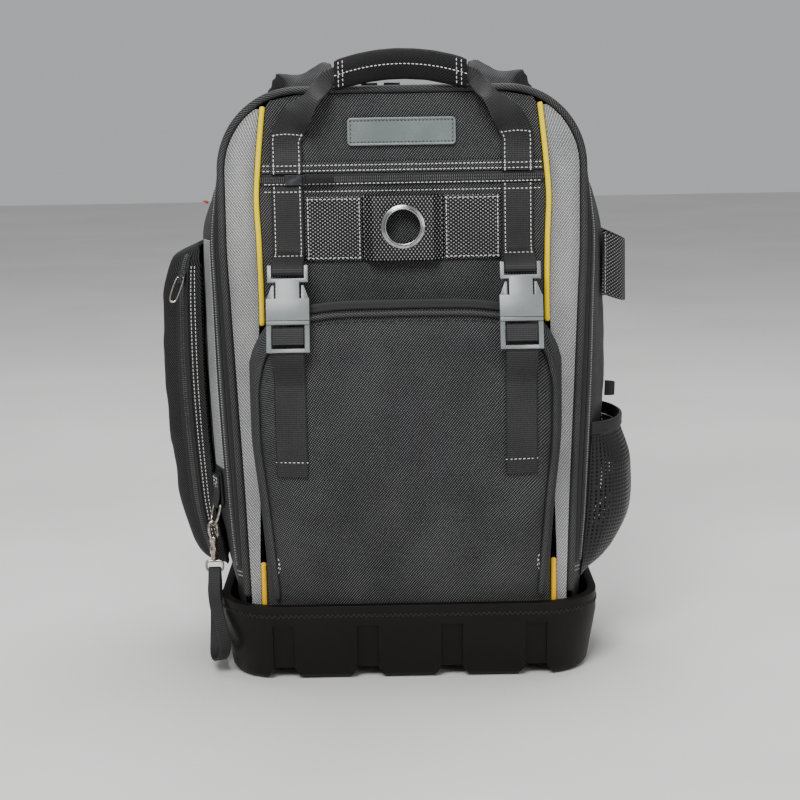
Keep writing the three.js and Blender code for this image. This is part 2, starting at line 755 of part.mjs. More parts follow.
// Base tray: a drafted tub with raised panels between recesses that run down to its feet.
function makeTray() {
  const insetAt = (z) => {
    const draft = trayTaper * (1 - clamp(z / recessTopZ, 0, 1));
    const edge = trayBottomInset * (1 - Math.sqrt(clamp(z / trayBottomInset, 0, 1)));
    return draft + edge;
  };
  const ring = (z, extra) => {
    const inset = insetAt(z) + extra;
    const radius = trayCornerRadius - inset;
    const corners = [
      [trayHalfWidth - inset - radius, trayFrontY + inset + radius, -Math.PI / 2],
      [trayHalfWidth - inset - radius, trayBackY - inset - radius, 0],
      [-trayHalfWidth + inset + radius, trayBackY - inset - radius, Math.PI / 2],
      [-trayHalfWidth + inset + radius, trayFrontY + inset + radius, Math.PI],
    ];
    return corners.flatMap(([x, y, start]) => spaced(start, start + Math.PI / 2, 7)
      .map((angle) => vec(x + radius * Math.cos(angle), y + radius * Math.sin(angle), z)));
  };
  const floorZ = footHeight + trayFloor;
  const outer = loft([0, 1, 3, trayBottomInset, 25, recessTopZ, trayHeight].map((z) => ring(z, 0)));
  const inner = loft([floorZ, 30, recessTopZ, trayHeight + 1].map((z) => ring(z, trayWall)));
  let tray = solid(outer).subtract(solid(inner));
  for (let i = 0; i < recessCount; i += 1) {
    const x = (i - (recessCount - 1) / 2) * recessPitch;
    const halfAt = (z) => recessWidth / 2 + footChamfer * (1 - clamp(z / footHeight, 0, 1));
    const slot = (z, frontY0, backY0) => [
      vec(x - halfAt(z), frontY0, z), vec(x + halfAt(z), frontY0, z),
      vec(x + halfAt(z), backY0, z), vec(x - halfAt(z), backY0, z),
    ];
    const channel = loft([-1, 0, footHeight].map((z) => slot(z, trayFrontY - 1, trayBackY + 1)));
    const recess = loft([0, footHeight, 25, recessTopZ]
      .map((z) => slot(z, trayFrontY - 1, trayFrontY + insetAt(z) + recessDepth)));
    tray = tray.subtract(solid(channel)).subtract(solid(recess));
  }
  addPiece('base_tray', geometryOf(tray), TRAY_RUBBER);
}

// Front face: the centre panel between its yellow pipings, and the silver-grey gores outside them.
function makeFront() {
  const panelEdge = (z) => Math.min(yellowLineX(z) - yellowInset, frontOutlineX(z, frontInset));
  const panel = (u, z, rise) => frontPoint(u * panelEdge(z), z, rise);
  addPiece('front_panel', slabOn(panel, spaced(-1, 1, 12), bodyRows, -clothWall, 0), BLACK_TWILL);
  const goreWidth = (z) => frontOutlineX(z, frontInset) - (yellowLineX(z) + yellowInset);
  let tip = bodyTopZ - frontInset;
  while (goreWidth(tip) < clothWall) tip -= 1;
  const bend = bodyTopZ - bodyCornerRadius;
  const rows = [...bodyRows.filter((z) => z <= bend), ...spaced(bend, tip, 5).slice(1)];
  for (const { name, sign } of SIDES) {
    const goreX = (u, z) => yellowLineX(z) + yellowInset + u * goreWidth(z);
    const gore = (u, z, rise) => frontPoint(sign * goreX(u, z), z, rise);
    addPiece(`front_gore_${name}`, slabOn(gore, spaced(0, 1, 4), rows, -clothWall, 0), GREY_CLOTH);
  }
}

// Gusset round the sides and top, its corner patches, the zip and the pipings along its front edge.
function makeGusset() {
  const low = trayHeight - tuck;
  addPiece('body_gusset', slabOn(gusset, outlineStops(low, 11), spaced(zipStop + gussetShare(seam), 1, 9),
    -clothWall, 0), BLACK_TWILL);
  for (const { name, sign } of SIDES) {
    const rows = spaced(alongAt(sign, low), alongAt(sign, zipEndZ - seam), 4);
    addPiece(`corner_patch_${name}`, slabOn(gusset, rows, spaced(bindingStart, zipStop, 3), -clothWall, 0),
      BLACK_TWILL);
  }
  const stops = outlineStops(zipEndZ);
  addPiece('main_zip_binding', slabOn(gusset, stops, [bindingStart, (bindingStart + zipStart) / 2, zipStart],
    -clothWall, (u, v) => (v > bindingStart && v < zipStart ? mainPipingRadius / 2 : 0)), BLACK_TRIM);
  const tapeStart = zipStart + gussetShare(seam);
  const middle = (tapeStart + zipStop) / 2;
  const half = gussetShare(zipCoilWidth / 2);
  const flank = gussetShare(zipCoilHeight / 2);
  const slope = half + flank;
  const coil = [tapeStart, middle - slope, middle - half, middle + half, middle + slope, zipStop];
  addPiece('main_zip', slabOn(gusset, stops, coil, -zipTape,
    (u, v) => (Math.abs(v - middle) < half + flank / 2 ? zipCoilHeight : 0)), BLACK_TRIM);
  for (const [name, x] of [['left', mainSliderLeftX], ['right', mainSliderRightX]]) {
    const ends = [x - mainSliderLength / 2, x + mainSliderLength / 2];
    const width = gussetShare(mainSliderWidth / 2);
    const shares = spaced(middle - width, middle + width, 2);
    addPiece(`main_zip_slider_${name}`, slabOn(gusset, spaced(...ends, 2), shares,
      zipCoilHeight + seat, zipCoilHeight + seat + mainSliderHeight), DARK_METAL);
  }
  const edge = outlineStops(trayHeight + mainPipingRadius, 14).map((along) => gusset(along, 0));
  addPiece('main_piping', tube(edge, mainPipingRadius), BLACK_TRIM);
}

// Yellow pipings: from the main piping down to the front pocket, and again below its narrow foot.
function makeYellowPipings() {
  const rise = yellowPipingRadius / 3;
  let topZ = bodyTopZ - frontInset;
  while (frontOutlineX(topZ, frontInset) < yellowLineX(topZ) + yellowInset) topZ -= 1;
  const clear = (z) => pocketSeamX(z) + seam < yellowLineX(z) - yellowPipingRadius;
  let lowTop = trayHeight + tuck;
  while (clear(lowTop + 1)) lowTop += 1;
  const pocketEdgeBelow = (z) => pocketTopAt((yellowLineX(z) - yellowPipingRadius) / pocketSeamX(z)) + seam;
  let highBottom = pocketTopZ;
  while (pocketEdgeBelow(highBottom - 1) < highBottom - 1) highBottom -= 1;
  for (const { name, sign } of SIDES) {
    const at = (z) => frontPoint(sign * yellowLineX(z), z, rise);
    const run = (from, to, steps) => spaced(from, to, steps).map(at);
    addPiece(`yellow_piping_${name}`, tube(run(highBottom, topZ, 12), yellowPipingRadius), YELLOW);
    const foot = run(trayHeight - tuck / 2, lowTop, 4);
    addPiece(`yellow_piping_low_${name}`, tube(foot, yellowPipingRadius), YELLOW);
  }
}

// Padded back panel: full in its middle and thin at its edge.
function backPadY(x, z) {
  const edge = Math.min(backOutlineX(z) - Math.abs(x), bodyTopZ - z, z - (trayHeight - tuck));
  const fullness = Math.sin((Math.PI / 2) * clamp(edge / backPadEdge, 0, 1));
  return backY + seat + clothWall + (backPadding - clothWall) * fullness;
}

// Half width of the back's outline at a height.
function backOutlineX(z) {
  const bend = bodyTopZ - bodyCornerRadius;
  if (z <= bend) return gussetHalf(z, 1);
  const reach = gussetHalf(bend, 1) - bodyCornerRadius;
  return reach + Math.sqrt(Math.max(0, bodyCornerRadius ** 2 - (z - bend) ** 2));
}

function makeBackPanel() {
  const low = trayHeight - tuck;
  const rows = [low, low + backPadEdge / 3, low + backPadEdge,
    ...spaced(low + backPadEdge * 2, bodyTopZ - bodyCornerRadius, 4),
    bodyTopZ - backPadEdge * 1.6, bodyTopZ - backPadEdge, bodyTopZ - backPadEdge / 3, bodyTopZ];
  const half = [0, 0.05, 0.13, 0.3, 0.6].map((share) => 1 - share);
  const across = [...half.map((u) => -u), 0, ...half.slice().reverse()];
  const grid = (depth) => rows.map((z) => across.map((u) => {
    const x = u * backOutlineX(z);
    return vec(x, depth(x, z), z);
  }));
  const outer = grid(backPadY);
  const inner = grid(() => backY + seat);
  addPiece('back_panel', slab(outer, inner), BLACK_TWILL);
}

// Badge plate: bare, with a raised rim.
function makeBadge() {
  const stops = (size) => {
    const half = [-size / 2, badgeRimWidth - size / 2, badgeRimWidth * 1.3 - size / 2];
    return [...half, 0, ...half.map((place) => -place).reverse()];
  };
  const xs = stops(badgeWidth);
  const zs = stops(badgeHeight).map((z) => z + badgeCentreZ);
  const inField = (x, z) => Math.abs(x) < badgeWidth / 2 - badgeRimWidth * 1.1
    && Math.abs(z - badgeCentreZ) < badgeHeight / 2 - badgeRimWidth * 1.1;
  addPiece('badge_plate', slabOn(frontPoint, xs, zs, seat,
    (x, z) => seat + badgeThickness + (inField(x, z) ? 0 : badgeRim)), BADGE_GREY);
}

// Horizontal zip of the upper panel, under its flap, with its slider and hinged pull.
function makePanelZip() {
  const edge = (z) => yellowLineX(z) - yellowInset - seam;
  const across = (u, z, rise) => frontPoint(u * edge(z), z, rise);
  const us = spaced(-1, 1, 10);
  const flap = slabOn(across, us, [flapEdgeZ, flapTopZ], seat, seat + flapThickness);
  addPiece('panel_zip_flap', flap, BLACK_TWILL);
  const coilTop = seat + zipTape + zipCoilHeight;
  const half = zipCoilWidth / 2;
  const rows = [panelZipBottomZ, panelCoilZ - half - seat, panelCoilZ - half, panelCoilZ + half,
    panelCoilZ + half + seat, panelZipTopZ];
  addPiece('panel_zip', slabOn(across, us, rows, seat,
    (u, z) => (Math.abs(z - panelCoilZ) < half + seat / 2 ? coilTop : seat + zipTape)), BLACK_TRIM);
  const faceY = frontY(panelSliderX, panelCoilZ);
  const at = (x, rise, z) => vec(panelSliderX + x, faceY - rise, panelCoilZ + z);
  const bodyLow = coilTop + seat;
  const bodyHigh = bodyLow + panelSliderHeight;
  const hole = pullPinRadius + seat;
  const eye = hole + pullEyeWall;
  const pinRise = bodyHigh + eye + seat;
  const pinX = panelSliderLength / 2 + pullPinRadius;
  const earHalf = panelSliderWidth / 2;
  const earWall = 2 * pullPinRadius;
  const box = (x0, x1, r0, r1, z0, z1) => solid(block(at(x0, r1, z0), at(x1, r0, z1)));
  let slider = box(-panelSliderLength / 2, panelSliderLength / 2, bodyLow, bodyHigh, -earHalf, earHalf);
  for (const side of [-1, 1]) {
    const [z0, z1] = side < 0 ? [-earHalf, pullPinRadius - earHalf] : [earHalf - pullPinRadius, earHalf];
    const ear = box(pinX - 2 * earWall, pinX + earWall / 2, bodyLow, pinRise + pullPinRadius, z0, z1);
    slider = slider.add(ear);
  }
  slider = slider.add(solid(rod('z', at(pinX, pinRise, 0), pullPinRadius, panelSliderWidth - pullPinRadius)));
  addPiece('panel_zip_slider', geometryOf(slider), DARK_METAL);
  const tabHigh = pinRise + pullThickness / 2;
  const tabLow = pinRise - pullThickness / 2;
  const tipX = pinX + pullLength;
  let pull = solid(rod('z', at(pinX, pinRise, 0), eye, pullWidth, 14))
    .add(box(pinX + pullPinRadius, tipX - pullWidth / 2, tabLow, tabHigh, -pullWidth / 2, pullWidth / 2))
    .add(solid(rod('y', at(tipX - pullWidth / 2, pinRise, 0), pullWidth / 2, pullThickness, 16)));
  pull = pull.subtract(solid(rod('z', at(pinX, pinRise, 0), hole, pullWidth + 1)));
  addPiece('panel_zip_pull', geometryOf(pull), BLACK_TRIM);
}

// Webbing band across the panel, its raised loop and the eyelet through the loop.
function makeToolBand() {
  const zs = spaced(bandBottomZ, bandTopZ, 2);
  for (const { name, sign } of SIDES) {
    addPiece(`tool_band_${name}`, slabOn(frontPoint, spaced(sign * bandInnerX, sign * bandOuterX, 3), zs,
      seat, seat + bandThickness), BLACK_WEBBING);
  }
  const foot = bandInnerX - seam;
  const sewn = foot - loopSeam;
  const xs = [-foot, -sewn, -loopCrestHalfWidth, -loopCrestHalfWidth / 2, 0,
    loopCrestHalfWidth / 2, loopCrestHalfWidth, sewn, foot];
  const slopeAt = (x) => clamp((sewn - Math.abs(x)) / (sewn - loopCrestHalfWidth), 0, 1);
  const lift = (x) => seat + loopRise * slopeAt(x);
  const lean = Math.atan2(frontY(0, bandTopZ) - frontY(0, bandBottomZ), bandTopZ - bandBottomZ);
  const place = (geometry) => geometry.rotateX(-lean).translate(0, frontY(0, eyeletZ), eyeletZ);
  const backFace = loopRise + seat;
  const frontFace = backFace + bandThickness;
  const hole = eyeletHoleRadius + eyeletNeck + seat;
  const cutter = place(rod('y', vec(0, -backFace, 0), hole, 4 * bandThickness + loopRise, 28));
  const strip = solid(slabOn(frontPoint, xs, zs, lift, (x) => lift(x) + bandThickness));
  const loop = strip.subtract(solid(cutter));
  addPiece('tool_loop', geometryOf(loop), BLACK_WEBBING);
  const neck = eyeletHoleRadius + eyeletNeck;
  const bead = eyeletBead;
  const profile = [
    [eyeletHoleRadius, backFace - seat - eyeletNeck], [eyeletOuterRadius - 1, backFace - seat - eyeletNeck],
    [eyeletOuterRadius - 1, backFace - seat], [neck, backFace - seat],
    [neck, frontFace + seat], [eyeletOuterRadius, frontFace + seat],
    [eyeletOuterRadius - bead / 4, frontFace + seat + bead * 0.75],
    [eyeletOuterRadius - bead * 0.8, frontFace + seat + bead],
    [eyeletHoleRadius + bead / 3, frontFace + seat + bead * 0.8],
    [eyeletHoleRadius, frontFace + seat + bead / 4],
    [eyeletHoleRadius, backFace - seat - eyeletNeck],
  ].map(([radius, height]) => new THREE.Vector2(radius, -height)).reverse();
  addPiece('eyelet', geometryOf(solid(place(new THREE.LatheGeometry(profile, 28)))), DARK_METAL);
}

// Height of the handle's middle line at a distance from the bag's middle.
const sleeveZ = (x) => sleeveCrestZ - sleeveEndDrop * (x / sleeveHalfLength) ** 2;

// Handle: one webbing from each side runs up the panel and into the padded sleeve.
function makeHandle() {
  const profile = spaced(0, 2 * Math.PI, 12).slice(0, 12);
  const ring = (x, shrink) => profile.map((angle) => {
    const wide = (sleeveDepth / 2 - shrink) * Math.cos(angle);
    const tall = (sleeveHeight / 2 - shrink) * Math.sin(angle);
    return vec(x, sleeveY - wide, sleeveZ(x) + tall);
  });
  const outer = solid(loft(spaced(-sleeveHalfLength, sleeveHalfLength, 10).map((x) => ring(x, 0))));
  const past = sleeveHalfLength + 1;
  const bore = solid(loft(spaced(-past, past, 10).map((x) => ring(x, sleeveWall))));
  addPiece('handle_sleeve', geometryOf(outer.subtract(bore)), BLACK_TWILL);
  const lowRise = seat + webbing / 2;
  const flapRise = lowRise + flapThickness + seat;
  for (const { name, sign } of SIDES) {
    const station = (x, y, z, across, width) => ({
      centre: vec(sign * x, y, z),
      across: vec(sign * across[0], across[1], across[2]),
      width,
    });
    const inSleeve = (x) => station(x, sleeveY, sleeveZ(x), [0, 0, 1], handleWebWidthInSleeve);
    const onPanel = (z, rise) => ({
      centre: frontPoint(sign * strapCentreX, z, rise),
      across: lieAcross(frontPoint, sign * strapCentreX, z).multiplyScalar(sign),
      width: strapWidth,
    });
    const end = sleeveHalfLength;
    const out = strapCentreX - end;
    const drop = sleeveZ(end) - flapTopZ;
    const stations = [
      inSleeve(2 * seam), inSleeve(end / 2), inSleeve(end), inSleeve(end + out * 0.1),
      ...HANDLE_PATH.map((row) => station(end + out * row.out, sleeveY - out * row.forward,
        sleeveZ(end) - drop * row.drop, row.across, strapWidth * row.width)),
      onPanel(flapTopZ + drop * 0.26, lowRise + seam * 2),
      onPanel(flapTopZ + drop * 0.12, lowRise),
      onPanel(flapTopZ + seam * 2, flapRise),
      onPanel(flapEdgeZ, flapRise),
    ];
    addPiece(`handle_webbing_${name}`, band(eased(stations, 2), webbing), BLACK_WEBBING);
  }
}

// Front pocket: half width of its seam at a height, and a point of its outside.
const pocketShare = (z) => (z - trayHeight) / (pocketTopZ - trayHeight);
const pocketRow = (column, z) => follow(POCKET_ROWS, 'height', column, pocketShare(z));
function pocketSeamX(z) {
  return pocketHalfWidth * pocketRow('width', z);
}
const pocketColumn = (column, u) => follow(POCKET_COLUMNS, 'across', column, Math.abs(u));
const pocketFoot = trayHeight - tuck;
const pocketTopAt = (u) => trayHeight + (pocketTopZ - trayHeight) * pocketColumn('top', u);

// Share by which the pocket's wall closes onto the body beside its mouth.
const pocketClosing = (u) => THREE.MathUtils.smoothstep(Math.abs(u), pocketMouthHalfWidth / pocketHalfWidth,
  pocketMouthHalfWidth / pocketHalfWidth + 0.11);

function pocketRise(u, z, v) {
  const bulge = pocketRow('depth', z) * pocketColumn('depth', u);
  const roll = v < 0.93 ? 1 : Math.sqrt(Math.max(0, 1 - ((v - 0.93) / 0.07) ** 2));
  return clothWall + (pocketDepth - clothWall) * bulge * (1 - pocketClosing(u) * (1 - roll));
}

function pocketPoint(u, v) {
  const z = lerp(pocketFoot, pocketTopAt(u), v);
  const x = u * pocketSeamX(z);
  return vec(x, frontY(x, z) - seat - pocketRise(u, z, v), z);
}
const pocketSurface = withNormals(pocketPoint, () => vec(0, -1, 0.1));

// The pocket's outside by real coordinates, for what crosses its middle.
function pocketFace(x, z, rise) {
  const u = clamp(x / pocketSeamX(z), -1, 1);
  const v = clamp((z - pocketFoot) / (pocketTopAt(u) - pocketFoot), 0, 0.93);
  return vec(x, frontY(x, z) - seat - pocketRise(u, z, v) - rise, z);
}

function makeFrontPocket() {
  const half = POCKET_COLUMNS.map((row) => row.across);
  const us = [...half.slice(1).map((u) => -u).reverse(), ...half];
  const rim = tuck / (pocketTopZ - pocketFoot);
  const vs = [0, rim, 2 * rim, 4 * rim, 0.22, 0.38, 0.55, 0.72, 0.84, 0.93, 0.955, 0.975, 0.99, 1];
  const narrow = (pocketHalfWidth - clothWall) / pocketHalfWidth;
  const outer = vs.map((v) => us.map((u) => pocketPoint(u, v)));
  const inner = vs.map((v) => us.map((u) => {
    const point = pocketPoint(u, v);
    const z = point.z - clothWall * pocketClosing(u) * v;
    const x = point.x * narrow;
    const rise = pocketRise(u, point.z, v) - clothWall;
    return vec(x, frontY(x, z) - seat - rise, z);
  }));
  addPiece('front_pocket', slab(outer, inner), BLACK_TWILL);
  const lipEdge = (x) => pocketTopAt(x / pocketHalfWidth);
  const lip = (x, w, rise) => pocketFace(x, lipEdge(x) + 1 + w * lipHeight, rise);
  addPiece('front_pocket_lip', slabOn(lip, spaced(-lipHalfWidth, lipHalfWidth, 8), [-1, -0.5, 0],
    seat, seat + lipThickness), BLACK_TRIM);
  const drop = pocketPipingDrop / (pocketTopZ - pocketFoot);
  const rightHalf = [
    ...spaced(0.06, 0.82, 9).map((v) => [0.925, v]),
    [0.915, 0.86], [0.895, 0.895], [0.86, 0.92], [0.81, 0.94], [0.75, 1 - drop],
    ...spaced(0.66, 0, 5).map((u) => [u, 1 - drop]),
  ];
  const route = [...rightHalf, ...rightHalf.slice(0, -1).reverse().map(([u, v]) => [-u, v])];
  const rise = pocketPipingRadius + seat;
  addPiece('front_pocket_piping', tube(route.map(([u, v]) => pocketSurface(u, v, rise)), pocketPipingRadius),
    BLACK_TRIM);
}

// Side-release buckles in front of the pocket's top edge, on the straps' line.
const tiltSin = Math.sin(radians(buckleTilt));
const tiltCos = Math.cos(radians(buckleTilt));
const buckleReach = buckleLength / 2;

// Height of the pocket's top edge on the straps' line.
const pocketEdgeZ = pocketTopAt(strapCentreX / pocketHalfWidth);

// Depth of the buckle's middle, so that its back clears the pocket, its piping and the panel.
const buckleY = Math.min(...spaced(-buckleReach, buckleReach, 24).map((along) => {
  const z = buckleCentreZ + along * tiltCos;
  const wall = z < pocketEdgeZ
    ? pocketFace(strapCentreX, z, 2 * pocketPipingRadius + 3 * seat).y
    : frontY(strapCentreX, z) - 2 * webbing;
  return wall - along * tiltSin - buckleThickness / 2 / tiltCos;
}));

// A place in the buckle's own directions: across, out of its front, and up its slope.
const bucklePlace = (sign, across, out, along) => vec(sign * strapCentreX + across,
  buckleY + along * tiltSin - out * tiltCos, buckleCentreZ + along * tiltCos + out * tiltSin);

function makeBuckles() {
  const half = buckleWidth / 2;
  const inner = strapWidth / 2 + seat;
  const thick = buckleThickness / 2;
  const slim = buckleArmThickness / 2;
  const mouthLow = bucklePlugLength - buckleReach;
  const mouthHigh = mouthLow + buckleMouthLength;
  const crossLow = buckleReach - 2 * buckleBarInset - buckleWall - 1;
  const box = (x0, x1, out, low, high) => solid(block(vec(x0, -out, low), vec(x1, out, high)));
  const both = (x0, x1, out, low, high) => box(-x1, -x0, out, low, high).add(box(x0, x1, out, low, high));
  const cavity = half - buckleWall + seat;
  const waist = buckleWaistHalfWidth;
  const socket = both(inner, half - 1, slim, crossLow, buckleReach)
    .add(box(-half + 1, half - 1, slim, crossLow, crossLow + buckleWall))
    .add(solid(rod('x', vec(0, 0, buckleReach - buckleBarInset), buckleBarRadius, 2 * half - 2)))
    .add(box(-waist, waist, thick * 0.9, mouthHigh - 1, crossLow + buckleWall / 2))
    .add(box(-half, half, thick, mouthLow, mouthHigh))
    .subtract(box(-cavity, cavity, slim + seat, mouthLow - 1, mouthHigh + 0.01))
    .subtract(box(-buckleTongueHalfWidth - seat, buckleTongueHalfWidth + seat, slim + seat,
      mouthHigh - 1, mouthLow + buckleTongueLength + seat));
  const armOut = cavity - seat;
  const armIn = armOut - buckleArmWidth;
  const shoulderHigh = mouthLow - seat;
  const shoulderLow = shoulderHigh - buckleWall;
  const plugBarZ = shoulderLow - buckleBarRadius - 2 * webbing;
  const plug = box(-half, half, thick * 0.8, shoulderLow, shoulderHigh)
    .add(both(inner, half, slim, -buckleReach, shoulderHigh))
    .add(box(-half, half, buckleBarRadius, -buckleReach, buckleWall - buckleReach))
    .add(solid(rod('x', vec(0, 0, plugBarZ), buckleBarRadius, 2 * inner + 1)))
    .add(box(-buckleTongueHalfWidth, buckleTongueHalfWidth, slim, shoulderLow, mouthLow + buckleTongueLength))
    .add(both(armIn, armOut, slim, shoulderLow, mouthHigh + 1))
    .add(both(armIn, half - seat, slim, mouthHigh + seat, mouthHigh + seat + buckleEarLength));
  for (const { name, sign } of SIDES) {
    for (const [piece, shape] of [['socket', socket], ['plug', plug]]) {
      const geometry = geometryOf(shape).rotateX(-radians(buckleTilt));
      geometry.translate(sign * strapCentreX, buckleY, buckleCentreZ);
      addPiece(`buckle_${piece}_${name}`, geometry, BUCKLE_GREY);
    }
  }
}

// Compression straps: from the panel round the socket's bar, and from the plug's bar down the pocket.
function makeStraps() {
  const lift = seat + webbing / 2;
  const turn = buckleBarRadius + 1.3 * seat + webbing / 2;
  const bar = buckleReach - buckleBarInset;
  const plugBar = bucklePlugLength - buckleReach - seat - buckleWall - buckleBarRadius - 2 * webbing;
  for (const { name, sign } of SIDES) {
    const at = (centre, across = vec(1, 0, 0)) => ({ centre, across, width: strapWidth });
    const x = sign * strapCentreX;
    const lying = (face, z, rise) => at(face(x, z, rise), lieAcross(face, x, z));
    const onPanel = (z, rise = lift) => lying(frontPoint, z, rise);
    const local = (out, along) => at(bucklePlace(sign, 0, out, along));
    const hub = bucklePlace(sign, 0, 0, bar);
    const root = onPanel(strapUpperSewnZ + 2 * turn).centre;
    const away = hub.clone().sub(root).setX(0).normalize();
    const above = vec(0, away.z, -away.y);
    const round = (a, b) => at(hub.clone().addScaledVector(above, a * turn).addScaledVector(away, b * turn));
    const returnAt = (share) => at(root.clone().lerp(hub, share).addScaledVector(above, -turn));
    const upper = [
      onPanel(strapUpperTopZ), onPanel(lerp(strapUpperTopZ, strapUpperSewnZ, 0.4)),
      onPanel(strapUpperSewnZ + 4 * turn), onPanel(strapUpperSewnZ + 3 * turn, lift + 1),
      at(root.clone().lerp(hub, 0.35).addScaledVector(above, turn)),
      round(1, 0), round(0.71, 0.71), round(0, 1), round(-0.71, 0.71), round(-1, 0),
      returnAt(0.4), onPanel(strapUpperSewnZ - turn, lift + 1), onPanel(strapUpperSewnZ - 3 * turn),
    ];
    addPiece(`strap_upper_${name}`, band(upper, webbing), BLACK_WEBBING);
    const onPocket = (z, rise = lift) => lying(pocketFace, z, rise);
    const behind = -(buckleBarRadius + seat + webbing / 2);
    const lower = [
      local(turn, 2 * buckleWall - buckleReach), local(turn, plugBar),
      local(turn * 0.71, plugBar + turn * 0.71), local(0, plugBar + turn),
      local(-turn * 0.71, plugBar + turn * 0.71), local(-turn, plugBar),
      local(behind, buckleWall - buckleReach), local(behind, -buckleReach - 2),
      onPocket(buckleCentreZ - 1.72 * buckleReach), onPocket(buckleCentreZ - 1.94 * buckleReach),
      ...spaced(buckleCentreZ - 2.39 * buckleReach, strapLowerEndZ, 5).map((z) => onPocket(z)),
    ];
    addPiece(`strap_lower_${name}`, band(lower, webbing), BLACK_WEBBING);
  }
}

// Left side pocket: a full bag on the gusset, with a zip up its front wall.
const sidePocketSpan = (backY - frontTopY) * (sidePocketBackShare - sidePocketFrontShare);
const sidePocketPoint = (sign) => (u, v) => {
  const bulge = follow(SIDE_POCKET_ACROSS, 'place', 'rise', u) * follow(SIDE_POCKET_UP, 'place', 'rise', v);
  const share = lerp(sidePocketFrontShare, sidePocketBackShare, u);
  const rise = laid + clothWall + (sidePocketDepth - clothWall) * bulge;
  return gusset(alongAt(sign, lerp(sidePocketBottomZ, sidePocketTopZ, v)), share, rise);
};
const sidePocketSurface = withNormals(sidePocketPoint(-1), () => vec(-1, -0.35, 0));

function makeSidePocket() {
  const us = SIDE_POCKET_ACROSS.map((row) => row.place);
  const vs = [0, 0.01, 0.02, 0.05, 0.11, 0.25, 0.45, 0.65, 0.8, 0.9, 0.955, 0.98, 1];
  const outer = vs.map((v) => us.map((u) => sidePocketPoint(-1)(u, v)));
  const shrinkAcross = 1 - (2 * clothWall) / sidePocketSpan;
  const shrinkUp = 1 - (2 * clothWall) / (sidePocketTopZ - sidePocketBottomZ);
  const inner = vs.map((v) => us.map((u) => {
    const bulge = follow(SIDE_POCKET_ACROSS, 'place', 'rise', u) * follow(SIDE_POCKET_UP, 'place', 'rise', v);
    const share = lerp(sidePocketFrontShare, sidePocketBackShare, 0.5 + (u - 0.5) * shrinkAcross);
    const z = lerp(sidePocketBottomZ, sidePocketTopZ, 0.5 + (v - 0.5) * shrinkUp);
    return gusset(alongAt(-1, z), share, laid + (sidePocketDepth - clothWall) * bulge);
  }));
  addPiece('side_pocket', slab(outer, inner), BLACK_TWILL);
  const zipUs = spaced(sideZipPlace - sideZipSpan / 2, sideZipPlace + sideZipSpan / 2, 3);
  const zipVs = [0.035, 0.07, 0.14, 0.28, 0.45, 0.62, 0.78, 0.88, 0.935, 0.965];
  addPiece('side_pocket_zip', slabOn(sidePocketSurface, zipUs, zipVs, seat, seat + zipTape), BLACK_TRIM);
}

// Slider of the side pocket's zip, with its hinged wire bail.
function makeSideSlider() {
  const seatRise = 2 * seat + zipTape;
  const origin = sidePocketSurface(sideZipPlace, 0.9, seatRise);
  const up = sidePocketSurface(sideZipPlace, 0.93, seatRise).sub(origin).normalize();
  const out = sidePocketSurface(sideZipPlace, 0.9, seatRise + 1).sub(origin).normalize();
  const wide = up.clone().cross(out).normalize();
  const frame = new THREE.Matrix4().makeBasis(wide, out.clone().cross(wide), out).setPosition(origin);
  const halfWide = sideSliderWidth / 2;
  const halfLong = sideSliderLength / 2;
  const hole = bailWire + seat;
  const pivot = sideSliderHeight + hole;
  const post = bailWire + 2 * seat;
  const bridgeTop = pivot + hole + bailWire;
  const body = solid(block(vec(-halfWide, -halfLong, 0), vec(halfWide, halfLong, sideSliderHeight)))
    .add(solid(block(vec(-bailWidth / 2 + post, -hole - bailWire, sideSliderHeight / 2),
      vec(bailWidth / 2 - post, hole + bailWire, bridgeTop))))
    .subtract(solid(rod('x', vec(0, 0, pivot), hole, 2 * bailWidth, 10)));
  addPiece('side_pocket_slider', geometryOf(body).applyMatrix4(frame), DARK_METAL);
  const lean = radians(bailLean);
  const hang = (x, down) => vec(x, -down * Math.cos(lean), pivot + down * Math.sin(lean)).applyMatrix4(frame);
  const side = bailWidth / 2;
  const bend = bailWire * 1.2;
  const path = [
    hang(-side + bend, 0), hang(side - bend, 0), hang(side, bend), hang(side, bailLength - side),
    hang(side * 0.71, bailLength - side * 0.29), hang(0, bailLength),
    hang(-side * 0.71, bailLength - side * 0.29),
    hang(-side, bailLength - side), hang(-side, bend),
  ];
  addPiece('side_pocket_pull', tube(path, bailWire, 6, true), BRIGHT_METAL);
}

// Small trims on the left: fold-over tag, and the silver-grey strip in front of the side pocket.
function makeLeftTrims() {
  const place = alongAt(-1, tagZ);
  const half = gussetShare(tagHeight / 2);
  addPiece('tag', slabOn(gusset, [place - tagThickness / 2, place + tagThickness / 2],
    [tagShare - half, tagShare, tagShare + half], seat, seat + tagReach), ORANGE);
  const rows = spaced(alongAt(-1, sideGoreBottomZ), alongAt(-1, sideGoreTopZ), 7);
  const start = zipStop + gussetShare(2 * seam);
  const gore = slabOn(gusset, rows, spaced(start, sideGoreBackShare, 2), seat, seat + sideGoreThickness);
  addPiece('side_gore_left', gore, GREY_CLOTH);
}

// Directions at the ring's tab: along the gusset, out of it, and up.
const ringBase = gusset(alongAt(-1, ringBarZ), ringTabShare);
const ringOut = gusset(alongAt(-1, ringBarZ), ringTabShare, 1).sub(ringBase).setZ(0).normalize();
const ringSide = ringOut.clone().cross(vec(0, 0, 1));
const ringPlace = (across, out, z) => ringBase.clone().setZ(z)
  .addScaledVector(ringSide, across).addScaledVector(ringOut, out);
const ringStandoff = seat + webbing + seat + ringWire + 0.5;
const tabTurn = ringWire + seat + webbing / 2;
